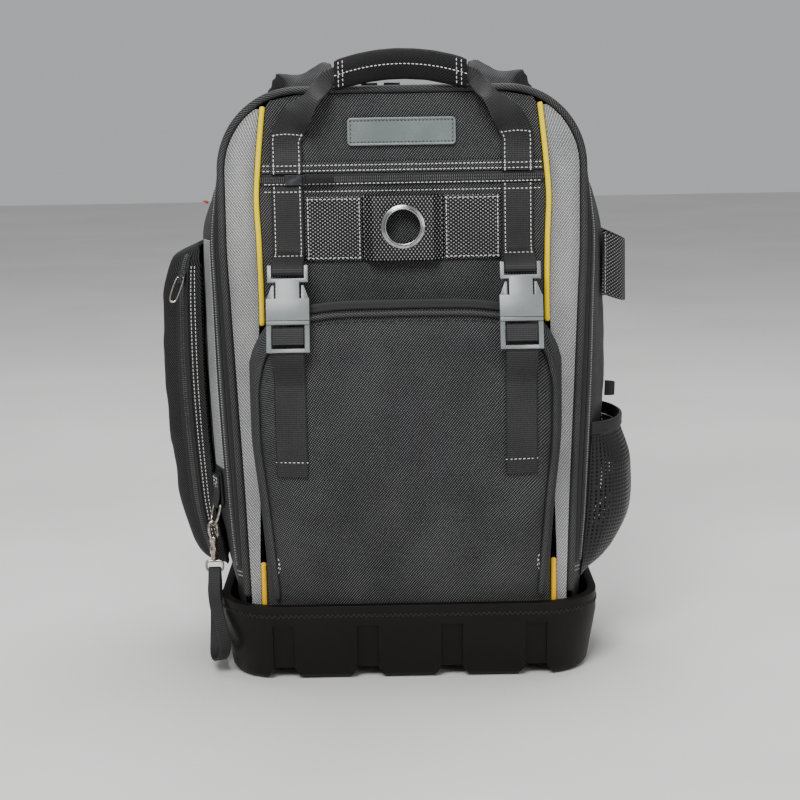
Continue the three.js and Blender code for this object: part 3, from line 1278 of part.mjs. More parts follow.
// Where the hook's line stands: clear of the tray's side by the wrist loop's width.
const chainX = -(trayHalfWidth + wristGap + wristWidth / 2);
const chainOut = (chainX - ringBase.x) / ringOut.x;
const chainY = ringPlace(0, chainOut, 0).y;
const ringTilt = Math.asin(clamp((chainOut - ringStandoff) / ringHeight, -1, 1));
const ringLowZ = ringBarZ - ringHeight * Math.cos(ringTilt);
const bendZ = ringLowZ + ringWire + seat + hookWire - hookBendRadius;
const barrelTopZ = bendZ - hookNeck;
const barrelLowZ = barrelTopZ - barrelLength;
const eyeLowZ = barrelLowZ - seat - swivelEyeHeight;

function makeRing() {
  const onTab = (z, rise) => ({
    centre: gusset(alongAt(-1, z), ringTabShare, rise),
    across: ringSide,
    width: ringTabWidth,
  });
  const round = (a, b) => ({
    centre: ringPlace(0, ringStandoff + a * tabTurn, ringBarZ + b * tabTurn),
    across: ringSide,
    width: ringTabWidth,
  });
  const inner = seat + webbing / 2;
  const outer = inner + webbing + seat;
  const tab = [
    onTab(ringTabTopZ, inner), onTab(lerp(ringTabTopZ, ringBarZ, 0.5), inner),
    onTab(ringBarZ + 2 * tabTurn, inner),
    round(-1, 0), round(-0.71, -0.71), round(0, -1), round(0.71, -0.71), round(1, 0),
    onTab(ringBarZ + 3 * tabTurn, outer + 1), onTab(ringTabTopZ - webbing, outer),
  ];
  addPiece('ring_tab', band(tab, webbing), BLACK_WEBBING);
  const half = ringWidth / 2;
  const hang = (across, down) => ringPlace(across, ringStandoff + down * Math.sin(ringTilt),
    ringBarZ - down * Math.cos(ringTilt));
  const bow = spaced(0, Math.PI, 8).map((angle) => hang(half * Math.cos(angle),
    ringHeight - half + half * Math.sin(angle)));
  const bend = ringWire;
  const path = [hang(-half + bend, 0), hang(half - bend, 0), hang(half, bend), ...bow, hang(-half, bend)];
  addPiece('d_ring', tube(path, ringWire, 8, true), BRIGHT_METAL);
}

// Snap hook over the ring's bow, its gate, the swivel's eye below it and the wrist loop through the eye.
function makeHook() {
  const across = (w, out, z) => ringPlace(w, chainOut + out, z);
  const bend = spaced(0, Math.PI, 8).map((angle) => across(0, hookBendRadius * Math.cos(angle),
    bendZ + hookBendRadius * Math.sin(angle)));
  const wire = tube([across(0, hookBendRadius / 2, barrelTopZ - hookWire),
    across(0, hookBendRadius, barrelTopZ + hookNeck / 3), across(0, hookBendRadius, bendZ - 1), ...bend,
    across(0, -hookBendRadius, bendZ - hookTipLength)], hookWire, 8);
  const steps = [[0, 0.8], [0.08, 1], [0.3, 1], [0.34, 0.82], [0.42, 0.82], [0.46, 1], [0.72, 1], [0.78, 0.8],
    [0.92, 0.8], [1, 0.6]];
  const barrel = loft(steps.map(([down, wide]) => spaced(0, 2 * Math.PI, 12).slice(0, 12)
    .map((angle) => vec(chainX + barrelRadius * wide * Math.cos(angle),
      chainY + barrelRadius * wide * Math.sin(angle), barrelTopZ - down * barrelLength))));
  const turned = new THREE.Matrix4().makeBasis(ringSide, ringOut, vec(0, 0, 1))
    .setPosition(across(0, 0, 0).setZ(0));
  const pinZ = barrelTopZ + 2 * gatePinRadius + 2 * seat;
  const eye = gatePinRadius + seat + 0.5;
  const cheek = (w0, w1) => solid(block(vec(w0, -hookBendRadius - eye, barrelTopZ - 1),
    vec(w1, -hookBendRadius + eye, pinZ + eye)).applyMatrix4(turned));
  const inside = gateWidth / 2 + seat;
  const pin = rod('x', vec(0, -hookBendRadius, pinZ), gatePinRadius, 2 * inside + 1, 8).applyMatrix4(turned);
  const bridge = block(vec(-inside - 1, -hookBendRadius - eye, barrelTopZ - 2),
    vec(inside + 1, 0, barrelTopZ - 0.2)).applyMatrix4(turned);
  addPiece('snap_hook', geometryOf(solid(wire).add(solid(barrel)).add(cheek(-inside - 1, -inside))
    .add(cheek(inside, inside + 1)).add(solid(pin)).add(solid(bridge))), BRIGHT_METAL);
  const gateTop = bendZ - hookTipLength - seat;
  const gate = solid(rod('x', vec(0, -hookBendRadius, pinZ), eye, gateWidth, 10))
    .add(solid(block(vec(-gateWidth / 2, -hookBendRadius - gateThickness / 2, pinZ),
      vec(gateWidth / 2, -hookBendRadius + gateThickness / 2, gateTop))))
    .subtract(solid(rod('x', vec(0, -hookBendRadius, pinZ), gatePinRadius + seat, 2 * gateWidth, 10)));
  addPiece('hook_gate', geometryOf(gate).applyMatrix4(turned), BRIGHT_METAL);
  const half = swivelEyeWidth / 2;
  const topZ = eyeLowZ + swivelEyeHeight - swivelWire;
  const low = eyeLowZ;
  const corner = swivelWire;
  const loop = [[-half + corner, topZ], [half - corner, topZ], [half, topZ - corner], [half, low + corner],
    [half - corner, low], [-half + corner, low], [-half, low + corner], [-half, topZ - corner]]
    .map(([x, z]) => vec(chainX + x, chainY, z));
  addPiece('hook_swivel', tube(loop, swivelWire, 8, true), BRIGHT_METAL);
  const radius = trayCornerRadius + wristGap + wristWidth / 2;
  const cornerY = trayFrontY + trayCornerRadius;
  const start = cornerY - chainY;
  const wristPlace = (forward, z) => {
    const run = start + forward;
    const angle = Math.max(0, run) / radius;
    const radial = vec(-Math.cos(angle), -Math.sin(angle), 0);
    const centre = vec(trayCornerRadius - trayHalfWidth, cornerY, z).addScaledVector(radial, radius);
    centre.y -= Math.min(0, run);
    return { centre, across: radial, width: wristWidth };
  };
  const wrap = swivelWire + seat + wristThickness / 2;
  const over = spaced(Math.PI, 0, 4).map((angle) => wristPlace(wrap * Math.cos(angle),
    low + wrap * Math.sin(angle)));
  const height = low - wrap - wristLoopBottomZ;
  const run = WRIST_PATH.map((row) => wristPlace(row.forward * wristLoopReach,
    wristLoopBottomZ + row.height * height));
  addPiece('wrist_loop', band([...over, ...run.reverse()], wristThickness, true), BLACK_WEBBING);
}

// Right side: a hanging loop and a short folded tab.
function makeRightTrims() {
  const foot = gussetShare(sideLoopFoot);
  const open = [sideLoopFrontShare + foot, sideLoopBackShare - foot];
  const arch = (share) => Math.sin(Math.PI * clamp((share - open[0]) / (open[1] - open[0]), 0, 1));
  const loop = (share, z, rise) => gusset(alongAt(1, z - sideLoopDroop * arch(share)), share,
    seat + sideLoopReach * arch(share) + rise);
  addPiece('side_loop', slabOn(loop, [sideLoopFrontShare, ...spaced(...open, 8), sideLoopBackShare],
    spaced(sideLoopTopZ - sideLoopHeight, sideLoopTopZ, 3), 0, sideLoopThickness), BLACK_WEBBING);
  const half = gussetShare(sideTabThickness / 2);
  addPiece('side_tab', slabOn(gusset, spaced(alongAt(1, sideTabZ - sideTabHeight / 2),
    alongAt(1, sideTabZ + sideTabHeight / 2), 1), [sideTabShare - half, sideTabShare + half],
  seat, seat + sideTabReach), BLACK_WEBBING);
}

// Net pocket: a coarse net over the gusset, bound along its open top.
function makeMeshPocket() {
  const bulge = (u, v) => laid + meshDepth * follow(MESH_ACROSS, 'place', 'rise', u)
    * follow(MESH_UP, 'place', 'rise', Math.min(v, 1));
  const netTopZ = meshTopZ - meshBindingHeight - seam;
  const net = (u, v, rise) => gusset(alongAt(1, lerp(meshBottomZ, netTopZ, v)),
    lerp(meshFrontShare, meshBackShare, u), bulge(u, v) + rise);
  addPiece('mesh_pocket', perforated(net, meshColumns, meshRows, meshHoleShare, meshThickness), NET_BLACK);
  const bound = (u, v, rise) => gusset(alongAt(1, lerp(meshTopZ - meshBindingHeight, meshTopZ, v)),
    lerp(meshFrontShare, meshBackShare, u), bulge(u, 1) + rise);
  addPiece('mesh_pocket_binding', slabOn(bound, spaced(0, 1, 14), [0, 0.12, 0.5, 0.88, 1], 0,
    (u, v) => meshBindingThickness * (v === 0 || v === 1 ? 0.7 : 1)), BLACK_TRIM);
}

// A sheet over a surface, cut through by an even grid of square gaps.
function perforated(surface, columns, rows, holeShare, thickness) {
  const points = [];
  const triangles = [];
  const names = new Map();
  const point = (u, v, rise) => {
    const key = `${u.toFixed(5)},${v.toFixed(5)},${rise}`;
    if (!names.has(key)) names.set(key, points.push(surface(u, v, rise)) - 1);
    return names.get(key);
  };
  const quad = (a, b, c, d) => triangles.push([a, b, c], [a, c, d]);
  const margin = (1 - holeShare) / 2;
  for (let i = 0; i < columns; i += 1) {
    for (let j = 0; j < rows; j += 1) {
      const at = (a, b, rise) => point((i + a) / columns, (j + b) / rows, rise);
      const edge = [[0, 0], [1, 0], [1, 1], [0, 1]];
      const hole = edge.map(([a, b]) => [margin + a * holeShare, margin + b * holeShare]);
      const top = thickness;
      for (let k = 0; k < edge.length; k += 1) {
        const n = (k + 1) % edge.length;
        quad(at(...edge[k], top), at(...edge[n], top), at(...hole[n], top), at(...hole[k], top));
        quad(at(...edge[k], 0), at(...hole[k], 0), at(...hole[n], 0), at(...edge[n], 0));
        quad(at(...hole[k], top), at(...hole[n], top), at(...hole[n], 0), at(...hole[k], 0));
      }
      const outside = [[0, 1, j === 0], [1, 2, i === columns - 1], [2, 3, j === rows - 1], [3, 0, i === 0]];
      for (const [k, n, open] of outside) {
        if (open) quad(at(...edge[k], 0), at(...edge[n], 0), at(...edge[n], top), at(...edge[k], top));
      }
    }
  }
  return closedGeometry(points, triangles);
}

// Padded shoulder straps behind the back panel, and the webbing from their low ends to the panel's foot.
function makeShoulderStraps() {
  const face = backY + seat + backPadding;
  const lift = seat + webbing / 2;
  for (const { name, sign } of SIDES) {
    const pad = SHOULDER_PATH.map((row) => ({
      centre: vec(sign * row.out * shoulderOutX, face + row.reach * shoulderReach,
        lerp(shoulderLowZ, shoulderTopZ, row.height)),
      across: vec(Math.cos(radians(row.lean)), 0, -sign * Math.sin(radians(row.lean))),
      width: shoulderWidth,
    }));
    const smooth = eased(pad, 2);
    addPiece(`shoulder_strap_${name}`, paddedBand(smooth, shoulderThickness), BLACK_TWILL);
    const end = smooth.at(-1).centre;
    const ahead = end.clone().sub(smooth.at(-2).centre).normalize();
    const station = (x, y, z) => ({ centre: vec(x, y, z), across: vec(1, 0, 0), width: shoulderWebWidth });
    const first = end.clone().addScaledVector(ahead, seat);
    const second = first.clone().addScaledVector(ahead, shoulderThickness);
    const run = [
      station(...first.toArray()),
      station(...second.toArray()),
      station(end.x, lerp(second.y, face, 0.6), lerp(second.z, shoulderAnchorZ, 0.4)),
      station(end.x, face + lift + 1, lerp(second.z, shoulderAnchorZ, 0.7)),
      station(end.x, face + lift, shoulderAnchorZ + shoulderWebWidth / 2),
      station(end.x, face + lift, shoulderAnchorZ),
    ];
    addPiece(`shoulder_webbing_${name}`, band(run, webbing), BLACK_WEBBING);
  }
}

makeTray();
makeFront();
makeGusset();
makeYellowPipings();
makeBackPanel();
makeBadge();
makePanelZip();
makeToolBand();
makeHandle();
makeFrontPocket();
makeBuckles();
makeStraps();
makeSidePocket();
makeSideSlider();
makeLeftTrims();
makeRing();
makeHook();
makeRightTrims();
makeMeshPocket();
makeShoulderStraps();

export default group;
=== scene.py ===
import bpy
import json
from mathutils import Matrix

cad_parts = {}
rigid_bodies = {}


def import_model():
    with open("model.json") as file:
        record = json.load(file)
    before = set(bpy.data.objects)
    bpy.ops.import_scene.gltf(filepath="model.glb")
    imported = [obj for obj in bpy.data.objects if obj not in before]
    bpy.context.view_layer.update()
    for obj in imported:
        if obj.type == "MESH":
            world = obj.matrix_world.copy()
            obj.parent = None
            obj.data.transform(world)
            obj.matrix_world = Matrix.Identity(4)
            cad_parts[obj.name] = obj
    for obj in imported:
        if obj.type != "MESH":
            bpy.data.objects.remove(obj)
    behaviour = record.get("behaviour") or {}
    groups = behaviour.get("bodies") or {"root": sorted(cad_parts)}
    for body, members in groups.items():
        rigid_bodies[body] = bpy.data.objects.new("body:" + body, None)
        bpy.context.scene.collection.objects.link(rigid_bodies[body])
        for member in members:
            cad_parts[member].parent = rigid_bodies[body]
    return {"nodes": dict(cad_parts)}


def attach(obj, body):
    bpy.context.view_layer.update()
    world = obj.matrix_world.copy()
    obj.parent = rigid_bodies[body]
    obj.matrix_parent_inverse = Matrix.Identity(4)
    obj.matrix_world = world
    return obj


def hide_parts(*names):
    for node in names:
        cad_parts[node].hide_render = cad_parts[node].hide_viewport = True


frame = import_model()

"""Looks of the tool backpack: finer cloth, webbing, zips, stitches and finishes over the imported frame.

Shapes are worked out in millimetres with the sizes of the CAD source, and turned into metres as meshes are made.
"""
import json
import logging
import math
from dataclasses import dataclass
from enum import Enum
from typing import Callable, Iterable, Sequence

import bmesh
import bpy
import numpy as np
from mathutils import Matrix, Vector, noise

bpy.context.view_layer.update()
MM = 0.001
LOG = logging.getLogger("backpack")
Point = np.ndarray
Surface = Callable[..., Point]
Level = float | Callable[[float, float], float]
Triple = tuple[float, float, float]
Stops = Sequence[float]
Spots = Sequence[tuple[float, float]]
Line = list[tuple[Point, Point]]
Socket = bpy.types.NodeSocket
Value = bpy.types.NodeSocket | float

# Sizes shared with the CAD source, in millimetres
SEAT, SEAM, LAID, TUCK = 0.3, 0.5, 0.7, 9.0
TRAY_HALF, TRAY_FRONT, TRAY_BACK, TRAY_CORNER, TRAY_HEIGHT = 163.0, -113.0, 112.0, 52.0, 67.0
BODY_TOP, BODY_CORNER, FRONT_HALF, BACK_HALF, BULGE = 496.0, 66.0, 151.0, 147.0, 32.0
FRONT_TOP_Y, BASE_FLARE, CROWN, GORE_DROP, BACK_Y = -76.0, 23.0, 3.0, 10.0, 90.0
WALL, BACK_PAD, PAD_EDGE = 2.2, 12.0, 22.0
PANEL_HALF, YELLOW_R, PIPING_R, BINDING_W, ZIP_W, ZIP_END = 121.0, 2.3, 3.1, 5.5, 10.0, 94.0
TAPE, COIL_W = 1.2, 5.0
FLAP_TOP, FLAP_EDGE, FLAP_T = 438.0, 428.6, 1.5
ZIP_TOP, ZIP_LOW, ZIP_Z = 428.0, 418.6, 423.5
STRAP_X, STRAP_W, WEB = 95.0, 26.5, 2.0
STRAP_TOP, STRAP_SEWN, STRAP_END = 418.0, 356.0, 181.0
BAND_TOP, BAND_LOW, BAND_T, BAND_OUT, BAND_IN = 409.5, 356.5, 2.4, 80.5, 33.6
SLEEVE_HALF, SLEEVE_H, SLEEVE_D, SLEEVE_Z, SLEEVE_DROP, SLEEVE_Y = 54.0, 25.0, 10.0, 516.0, 9.0, -86.0
POCKET_HALF, POCKET_TOP, POCKET_D, MOUTH_HALF = 131.0, 326.0, 28.0, 98.0
LIP_HALF, LIP_H, LIP_T, POCKET_PIPING_R, PIPING_DROP = 80.0, 7.5, 2.2, 2.2, 11.0
BUCKLE_L, BUCKLE_T, BUCKLE_TILT, BUCKLE_Z, BAR_R, BAR_INSET, PLUG_L, BUCKLE_WALL = (
    72.0, 8.5, 18.0, 321.0, 1.5, 5.0, 26.0, 3.0)
SIDE_D, SIDE_LOW, SIDE_HIGH, SIDE_FRONT, SIDE_BACK = 37.0, 84.0, 366.0, 0.31, 0.93
GORE_LOW, GORE_HIGH, GORE_BACK, GORE_T = 176.0, 372.0, 0.235, 1.0
TAB_TOP, RING_Z, TAB_W, TAB_SHARE, RING_WIRE, RING_H = 171.0, 143.0, 15.0, 0.2, 1.2, 19.0
HOOK_WIRE, HOOK_BEND, HOOK_NECK, BARREL_L, EYE_H, EYE_WIRE = 1.4, 3.6, 10.0, 21.0, 9.0, 1.1
WRIST_W, WRIST_T, WRIST_GAP, WRIST_LOW, WRIST_REACH = 11.0, 1.6, 1.2, 12.0, 50.0
LOOP_TOP, LOOP_H, LOOP_REACH, LOOP_DROOP, LOOP_T, LOOP_FRONT, LOOP_BACK, LOOP_FOOT = (
    371.0, 54.0, 15.8, 8.0, 2.0, 0.26, 0.62, 7.0)
MESH_TOP, MESH_LOW, MESH_D, MESH_FRONT, MESH_BACK, MESH_T, MESH_BIND = 211.0, 78.0, 27.0, 0.12, 0.8, 1.6, 11.0
BIND_T = 2.6
SHOULDER_W, SHOULDER_T, SHOULDER_OUT, SHOULDER_REACH, SHOULDER_TOP, SHOULDER_LOW = 58.0, 9.0, 104.0, 44.0, 512.0, 165.0
SHOULDER_WEB, SHOULDER_ANCHOR = 25.0, 92.0


def vec(x: float, y: float, z: float) -> Point:
    """Makes a point."""
    return np.array((x, y, z), float)


def unit(v: Point) -> Point:
    """Scales a vector to length one."""
    return v / max(float(np.linalg.norm(v)), 1e-9)


def lerp(a: float | Point, b: float | Point, t: float) -> float | Point:
    """Goes a share of the way from a to b."""
    return a + (b - a) * t


def clamp(v: float, low: float, high: float) -> float:
    """Keeps a number between two others."""
    return max(low, min(high, v))


def smooth(v: float, low: float, high: float) -> float:
    """Rises smoothly from 0 at low to 1 at high."""
    t = clamp((v - low) / (high - low), 0.0, 1.0)
    return t * t * (3 - 2 * t)


def spaced(a: float, b: float, steps: int) -> list[float]:
    """Evenly spaced numbers from a to b, both included."""
    return [a + (b - a) * i / steps for i in range(steps + 1)]


def ripple(x: float, y: float, z: float, scale: float) -> float:
    """Smooth seeded unevenness at a place, between about -1 and 1.

    Args:
        x: Place across, in millimetres.
        y: Place in depth, in millimetres.
        z: Height, in millimetres.
        scale: Size of a dent, in millimetres.
    """
    return noise.noise(Vector((x / scale, y / scale, z / scale)))


class Rows:
    """A table with named columns, read along a smooth curve through its rows."""

    def __init__(self, columns: str, rows: Sequence[Stops]) -> None:
        """Samples each column's curve.

        Args:
            columns: Names of the columns after the first, parted by blanks.
            rows: The rows, the key that they are read by first.
        """
        data = np.array(rows, float)
        self.low, self.high = data[0, 0], data[-1, 0]
        at = np.linspace(self.low, self.high, 801)
        self.curves = {name: self._curve(data[:, 0], data[:, i + 1], at) for i, name in enumerate(columns.split())}

    @staticmethod
    def _curve(keys: np.ndarray, values: np.ndarray, at: np.ndarray) -> np.ndarray:
        """Fits gentle tangents, so that the curve doesn't overshoot between rows.

        Args:
            keys: The rows' keys.
            values: The column's values.
            at: Places to read.

        Returns:
            The column's value at each place.
        """
        slopes = np.diff(values) / np.diff(keys)
        tangents = np.empty_like(values)
        tangents[0], tangents[-1] = slopes[0], slopes[-1]
        for i in range(1, len(values) - 1):
            p, q = slopes[i - 1], slopes[i]
            tangents[i] = 0.0 if p * q <= 0 else 2 * p * q / (p + q)
        index = np.clip(np.searchsorted(keys, at, side="right") - 1, 0, len(keys) - 2)
        span = keys[index + 1] - keys[index]
        t = (at - keys[index]) / span
        t2, t3 = t * t, t * t * t
        return ((2 * t3 - 3 * t2 + 1) * values[index] + (t3 - 2 * t2 + t) * tangents[index] * span
                + (3 * t2 - 2 * t3) * values[index + 1] + (t3 - t2) * tangents[index + 1] * span)

    def at(self, column: str, place: float) -> float:
        """Reads a column at a place of the key.

        Args:
            column: Name of the column.
            place: Place to read.

        Returns:
            The column's value.
        """
        t = clamp((place - self.low) / (self.high - self.low), 0.0, 1.0) * 800
        i = min(int(t), 799)
        curve = self.curves[column]
        return float(curve[i] + (curve[i + 1] - curve[i]) * (t - i))


BODY_ROWS = Rows("front back bulge flare panel", [
    (0, 0.914, 0.94, 0.5, 1, 1.02), (0.065, 0.92, 0.95, 0.75, 0.95, 1.02), (0.193, 0.934, 0.966, 0.97, 0.76, 1.01),
    (0.39, 0.96, 0.986, 1, 0.57, 0.995), (0.6, 0.987, 1, 0.9, 0.38, 0.983), (0.716, 1, 1, 0.84, 0.27, 0.99),
    (0.79, 1, 1, 0.56, 0.21, 1), (0.855, 1, 1, 0.27, 0.15, 0.985), (1, 1, 1, 0.06, 0, 0.93)])
POCKET_ROWS = Rows("width depth", [
    (0, 0.91, 0.01), (0.13, 0.92, 0.42), (0.32, 0.95, 0.78), (0.6, 1, 1), (0.85, 1, 0.97), (1, 1, 0.8)])
POCKET_COLUMNS = Rows("depth top", [
    (0, 1.03, 1), (0.36, 1.02, 0.998), (0.62, 1, 0.985), (0.75, 0.99, 0.968), (0.85, 0.97, 0.93),
    (0.915, 0.9, 0.89), (0.96, 0.6, 0.85), (0.985, 0.3, 0.82), (1, 0, 0.79)])
SIDE_ACROSS = Rows("rise", [
    (0, 0), (0.045, 0.42), (0.1, 0.8), (0.17, 0.96), (0.33, 0.99), (0.5, 1), (0.68, 0.99), (0.85, 0.95),
    (0.93, 0.7), (1, 0)])
SIDE_UP = Rows("rise", [
    (0, 0), (0.02, 0.42), (0.05, 0.62), (0.11, 0.76), (0.25, 0.9), (0.45, 0.99), (0.8, 1), (0.9, 0.9),
    (0.955, 0.68), (1, 0)])
MESH_ACROSS = Rows("rise", [
    (0, 0), (0.12, 0.55), (0.3, 0.92), (0.5, 1), (0.75, 0.85), (0.92, 0.4), (1, 0)])
MESH_UP = Rows("rise", [(0, 0.02), (0.08, 0.4), (0.2, 0.72), (0.45, 1), (0.75, 0.9), (1, 0.5)])
WRIST_PATH = [
    (-0.09, 0.92), (-0.11, 0.8), (-0.1, 0.6), (-0.03, 0.37), (0.13, 0.16), (0.37, 0.03), (0.6, 0), (0.8, 0.07),
    (0.9, 0.21), (0.8, 0.43), (0.53, 0.66), (0.25, 0.82), (0.12, 0.92)]
HANDLE_PATH = [
    (0.24, 0.07, 0.12, 0.53, (0.5, 0.3, 0.8)), (0.44, 0.27, 0.25, 0.64, (0.62, 0.62, 0.45)),
    (0.68, 0.24, 0.42, 0.92, (0.86, 0.45, 0.2)), (0.9, 0, 0.595, 1, (1, 0.12, 0))]
SHOULDER_PATH = [
    (0.72, 0.2, 0.856, 0), (0.78, 0.4, 0.93, 12), (0.86, 0.76, 0.99, 24), (0.94, 0.97, 0.95, 14), (1, 1, 0.86, 4),
    (1.02, 0.98, 0.62, 0), (1.02, 0.87, 0.42, 0), (1, 0.68, 0.21, 0), (0.96, 0.46, 0.07, 0), (0.93, 0.3, 0, 0)]


class Slot(Enum):
    """The record's material slots."""

    TWILL = "black_twill"
    TRIM = "black_trim"
    GREY = "grey_cloth"
    YELLOW = "yellow_piping"
    WEBBING = "black_webbing"
    TRAY = "tray_rubber"
    BADGE = "badge_grey"
    BUCKLE = "buckle_grey"
    DARK_METAL = "dark_metal"
    BRIGHT_METAL = "bright_metal"
    NET = "net_black"
    TAG = "orange_tag"


# ---------------------------------------------------------------- finishes


class NodeBench:
    """Short calls for building a material's node tree."""

    def __init__(self, name: str) -> None:
        """Starts an empty material with its output and its main shader.

        Args:
            name: The material's name.
        """
        self.material = bpy.data.materials.new(name)
        self.material.use_nodes = True
        self.tree = self.material.node_tree
        self.tree.nodes.clear()
        self.out = self.tree.nodes.new("ShaderNodeOutputMaterial")
        self.shader = self.tree.nodes.new("ShaderNodeBsdfPrincipled")
        self.tree.links.new(self.shader.outputs[0], self.out.inputs["Surface"])
        self.coords = self.tree.nodes.new("ShaderNodeTexCoord")

    def link(self, source: Value, target: Socket) -> None:
        """Joins an output to an input, or writes a plain value into it.

        Args:
            source: Output socket, or a plain value.
            target: Input socket.
        """
        if isinstance(source, bpy.types.NodeSocket):
            self.tree.links.new(source, target)
        else:
            target.default_value = source

    def math(self, operation: str, *values: Value) -> Socket:
        """A math node's result on sockets or numbers.

        Args:
            operation: Name of the operation.
            values: Its inputs.

        Returns:
            The result.
        """
        node = self.tree.nodes.new("ShaderNodeMath")
        node.operation = operation
        for i, value in enumerate(values):
            self.link(value, node.inputs[i])
        return node.outputs[0]

    def times(self, a: Value, b: Value) -> Socket:
        """One value times another."""
        return self.math("MULTIPLY", a, b)

    def plus(self, a: Value, b: Value) -> Socket:
        """One value and another."""
        return self.math("ADD", a, b)

    def over(self, a: Value, b: Value) -> Socket:
        """One value divided by another."""
        return self.math("DIVIDE", a, b)

    def arches(self, value: Value) -> Socket:
        """Round arches of length one along a value."""
        return self.math("ABSOLUTE", self.math("SINE", self.times(value, math.pi)))

    def noise(self, scale: float, detail: float = 2.0, roughness: float = 0.5) -> Socket:
        """A noise texture's value over the object's own place.

        Args:
            scale: Scale of the pattern.
            detail: Levels of detail.
            roughness: Roughness of what it makes.

        Returns:
            The noise.
        """
        node = self.tree.nodes.new("ShaderNodeTexNoise")
        node.inputs["Scale"].default_value = scale
        node.inputs["Detail"].default_value = detail
        node.inputs["Roughness"].default_value = roughness
        self.tree.links.new(self.coords.outputs["Object"], node.inputs["Vector"])
        return node.outputs[0]

    def mix(self, share: Value, a: Value | Triple, b: Value | Triple) -> Socket:
        """A colour part of the way from a to b.

        Args:
            share: Share of b.
            a: The first.
            b: The second.

        Returns:
            The colour.
        """
        node = self.tree.nodes.new("ShaderNodeMix")
        node.data_type = "RGBA"
        self.link(share, node.inputs[0])
        for value, index in ((a, 6), (b, 7)):
            self.link(value if isinstance(value, bpy.types.NodeSocket) else (*value, 1.0), node.inputs[index])
        return node.outputs[2]

    def remap(self, value: Value, low: float, high: float, to_low: float, to_high: float) -> Socket:
        """A value mapped from one range to another, and kept in it.

        Args:
            value: The value.
            low: Low end of the range.
            high: High end of the range.
            to_low: Result at low.
            to_high: Result at high.

        Returns:
            The mapped value.
        """
        node = self.tree.nodes.new("ShaderNodeMapRange")
        for socket, number in zip(node.inputs[1:5], (low, high, to_low, to_high)):
            socket.default_value = number
        self.link(value, node.inputs[0])
        return node.outputs[0]

    def bump(self, height: Value, distance: float, strength: float = 1.0, under: Socket | None = None) -> Socket:
        """A normal raised by a height, over another normal if one is given.

        Args:
            height: Height socket.
            distance: Height at full strength, in metres.
            strength: Share of it used.
            under: Normal below it.

        Returns:
            The normal.
        """
        node = self.tree.nodes.new("ShaderNodeBump")
        node.inputs["Distance"].default_value = distance
        node.inputs["Strength"].default_value = strength
        self.link(height, node.inputs["Height"])
        if under is not None:
            self.tree.links.new(under, node.inputs["Normal"])
        return node.outputs[0]

    def uv(self) -> tuple[Socket, Socket]:
        """The piece's own lengths across and along, in millimetres.

        Returns:
            Both lengths.
        """
        node = self.tree.nodes.new("ShaderNodeSeparateXYZ")
        self.tree.links.new(self.coords.outputs["UV"], node.inputs[0])
        return node.outputs[0], node.outputs[1]

    def by_place(self) -> tuple[Socket, Socket]:
        """Across and up in the frame, in millimetres.

        Returns:
            Both lengths.
        """
        node = self.tree.nodes.new("ShaderNodeSeparateXYZ")
        self.tree.links.new(self.coords.outputs["Object"], node.inputs[0])
        return self.math("DIVIDE", node.outputs[0], MM), self.math("DIVIDE", node.outputs[2], MM)

    def finish(self, colour: Value | Triple, roughness: Value, normal: Socket | None = None,
               **sockets: float) -> bpy.types.Material:
        """Fills the main shader and gives the material.

        Args:
            colour: Base colour.
            roughness: Roughness of what it makes.
            normal: Normal, if any.
            sockets: Other sockets by name.

        Returns:
            The material.
        """
        base = colour if isinstance(colour, bpy.types.NodeSocket) else (*colour, 1.0)
        self.link(base, self.shader.inputs["Base Color"])
        self.link(roughness, self.shader.inputs["Roughness"])
        if normal is not None:
            self.tree.links.new(normal, self.shader.inputs["Normal"])
        for name, value in sockets.items():
            self.shader.inputs[name.replace("_", " ")].default_value = value
        return self.material


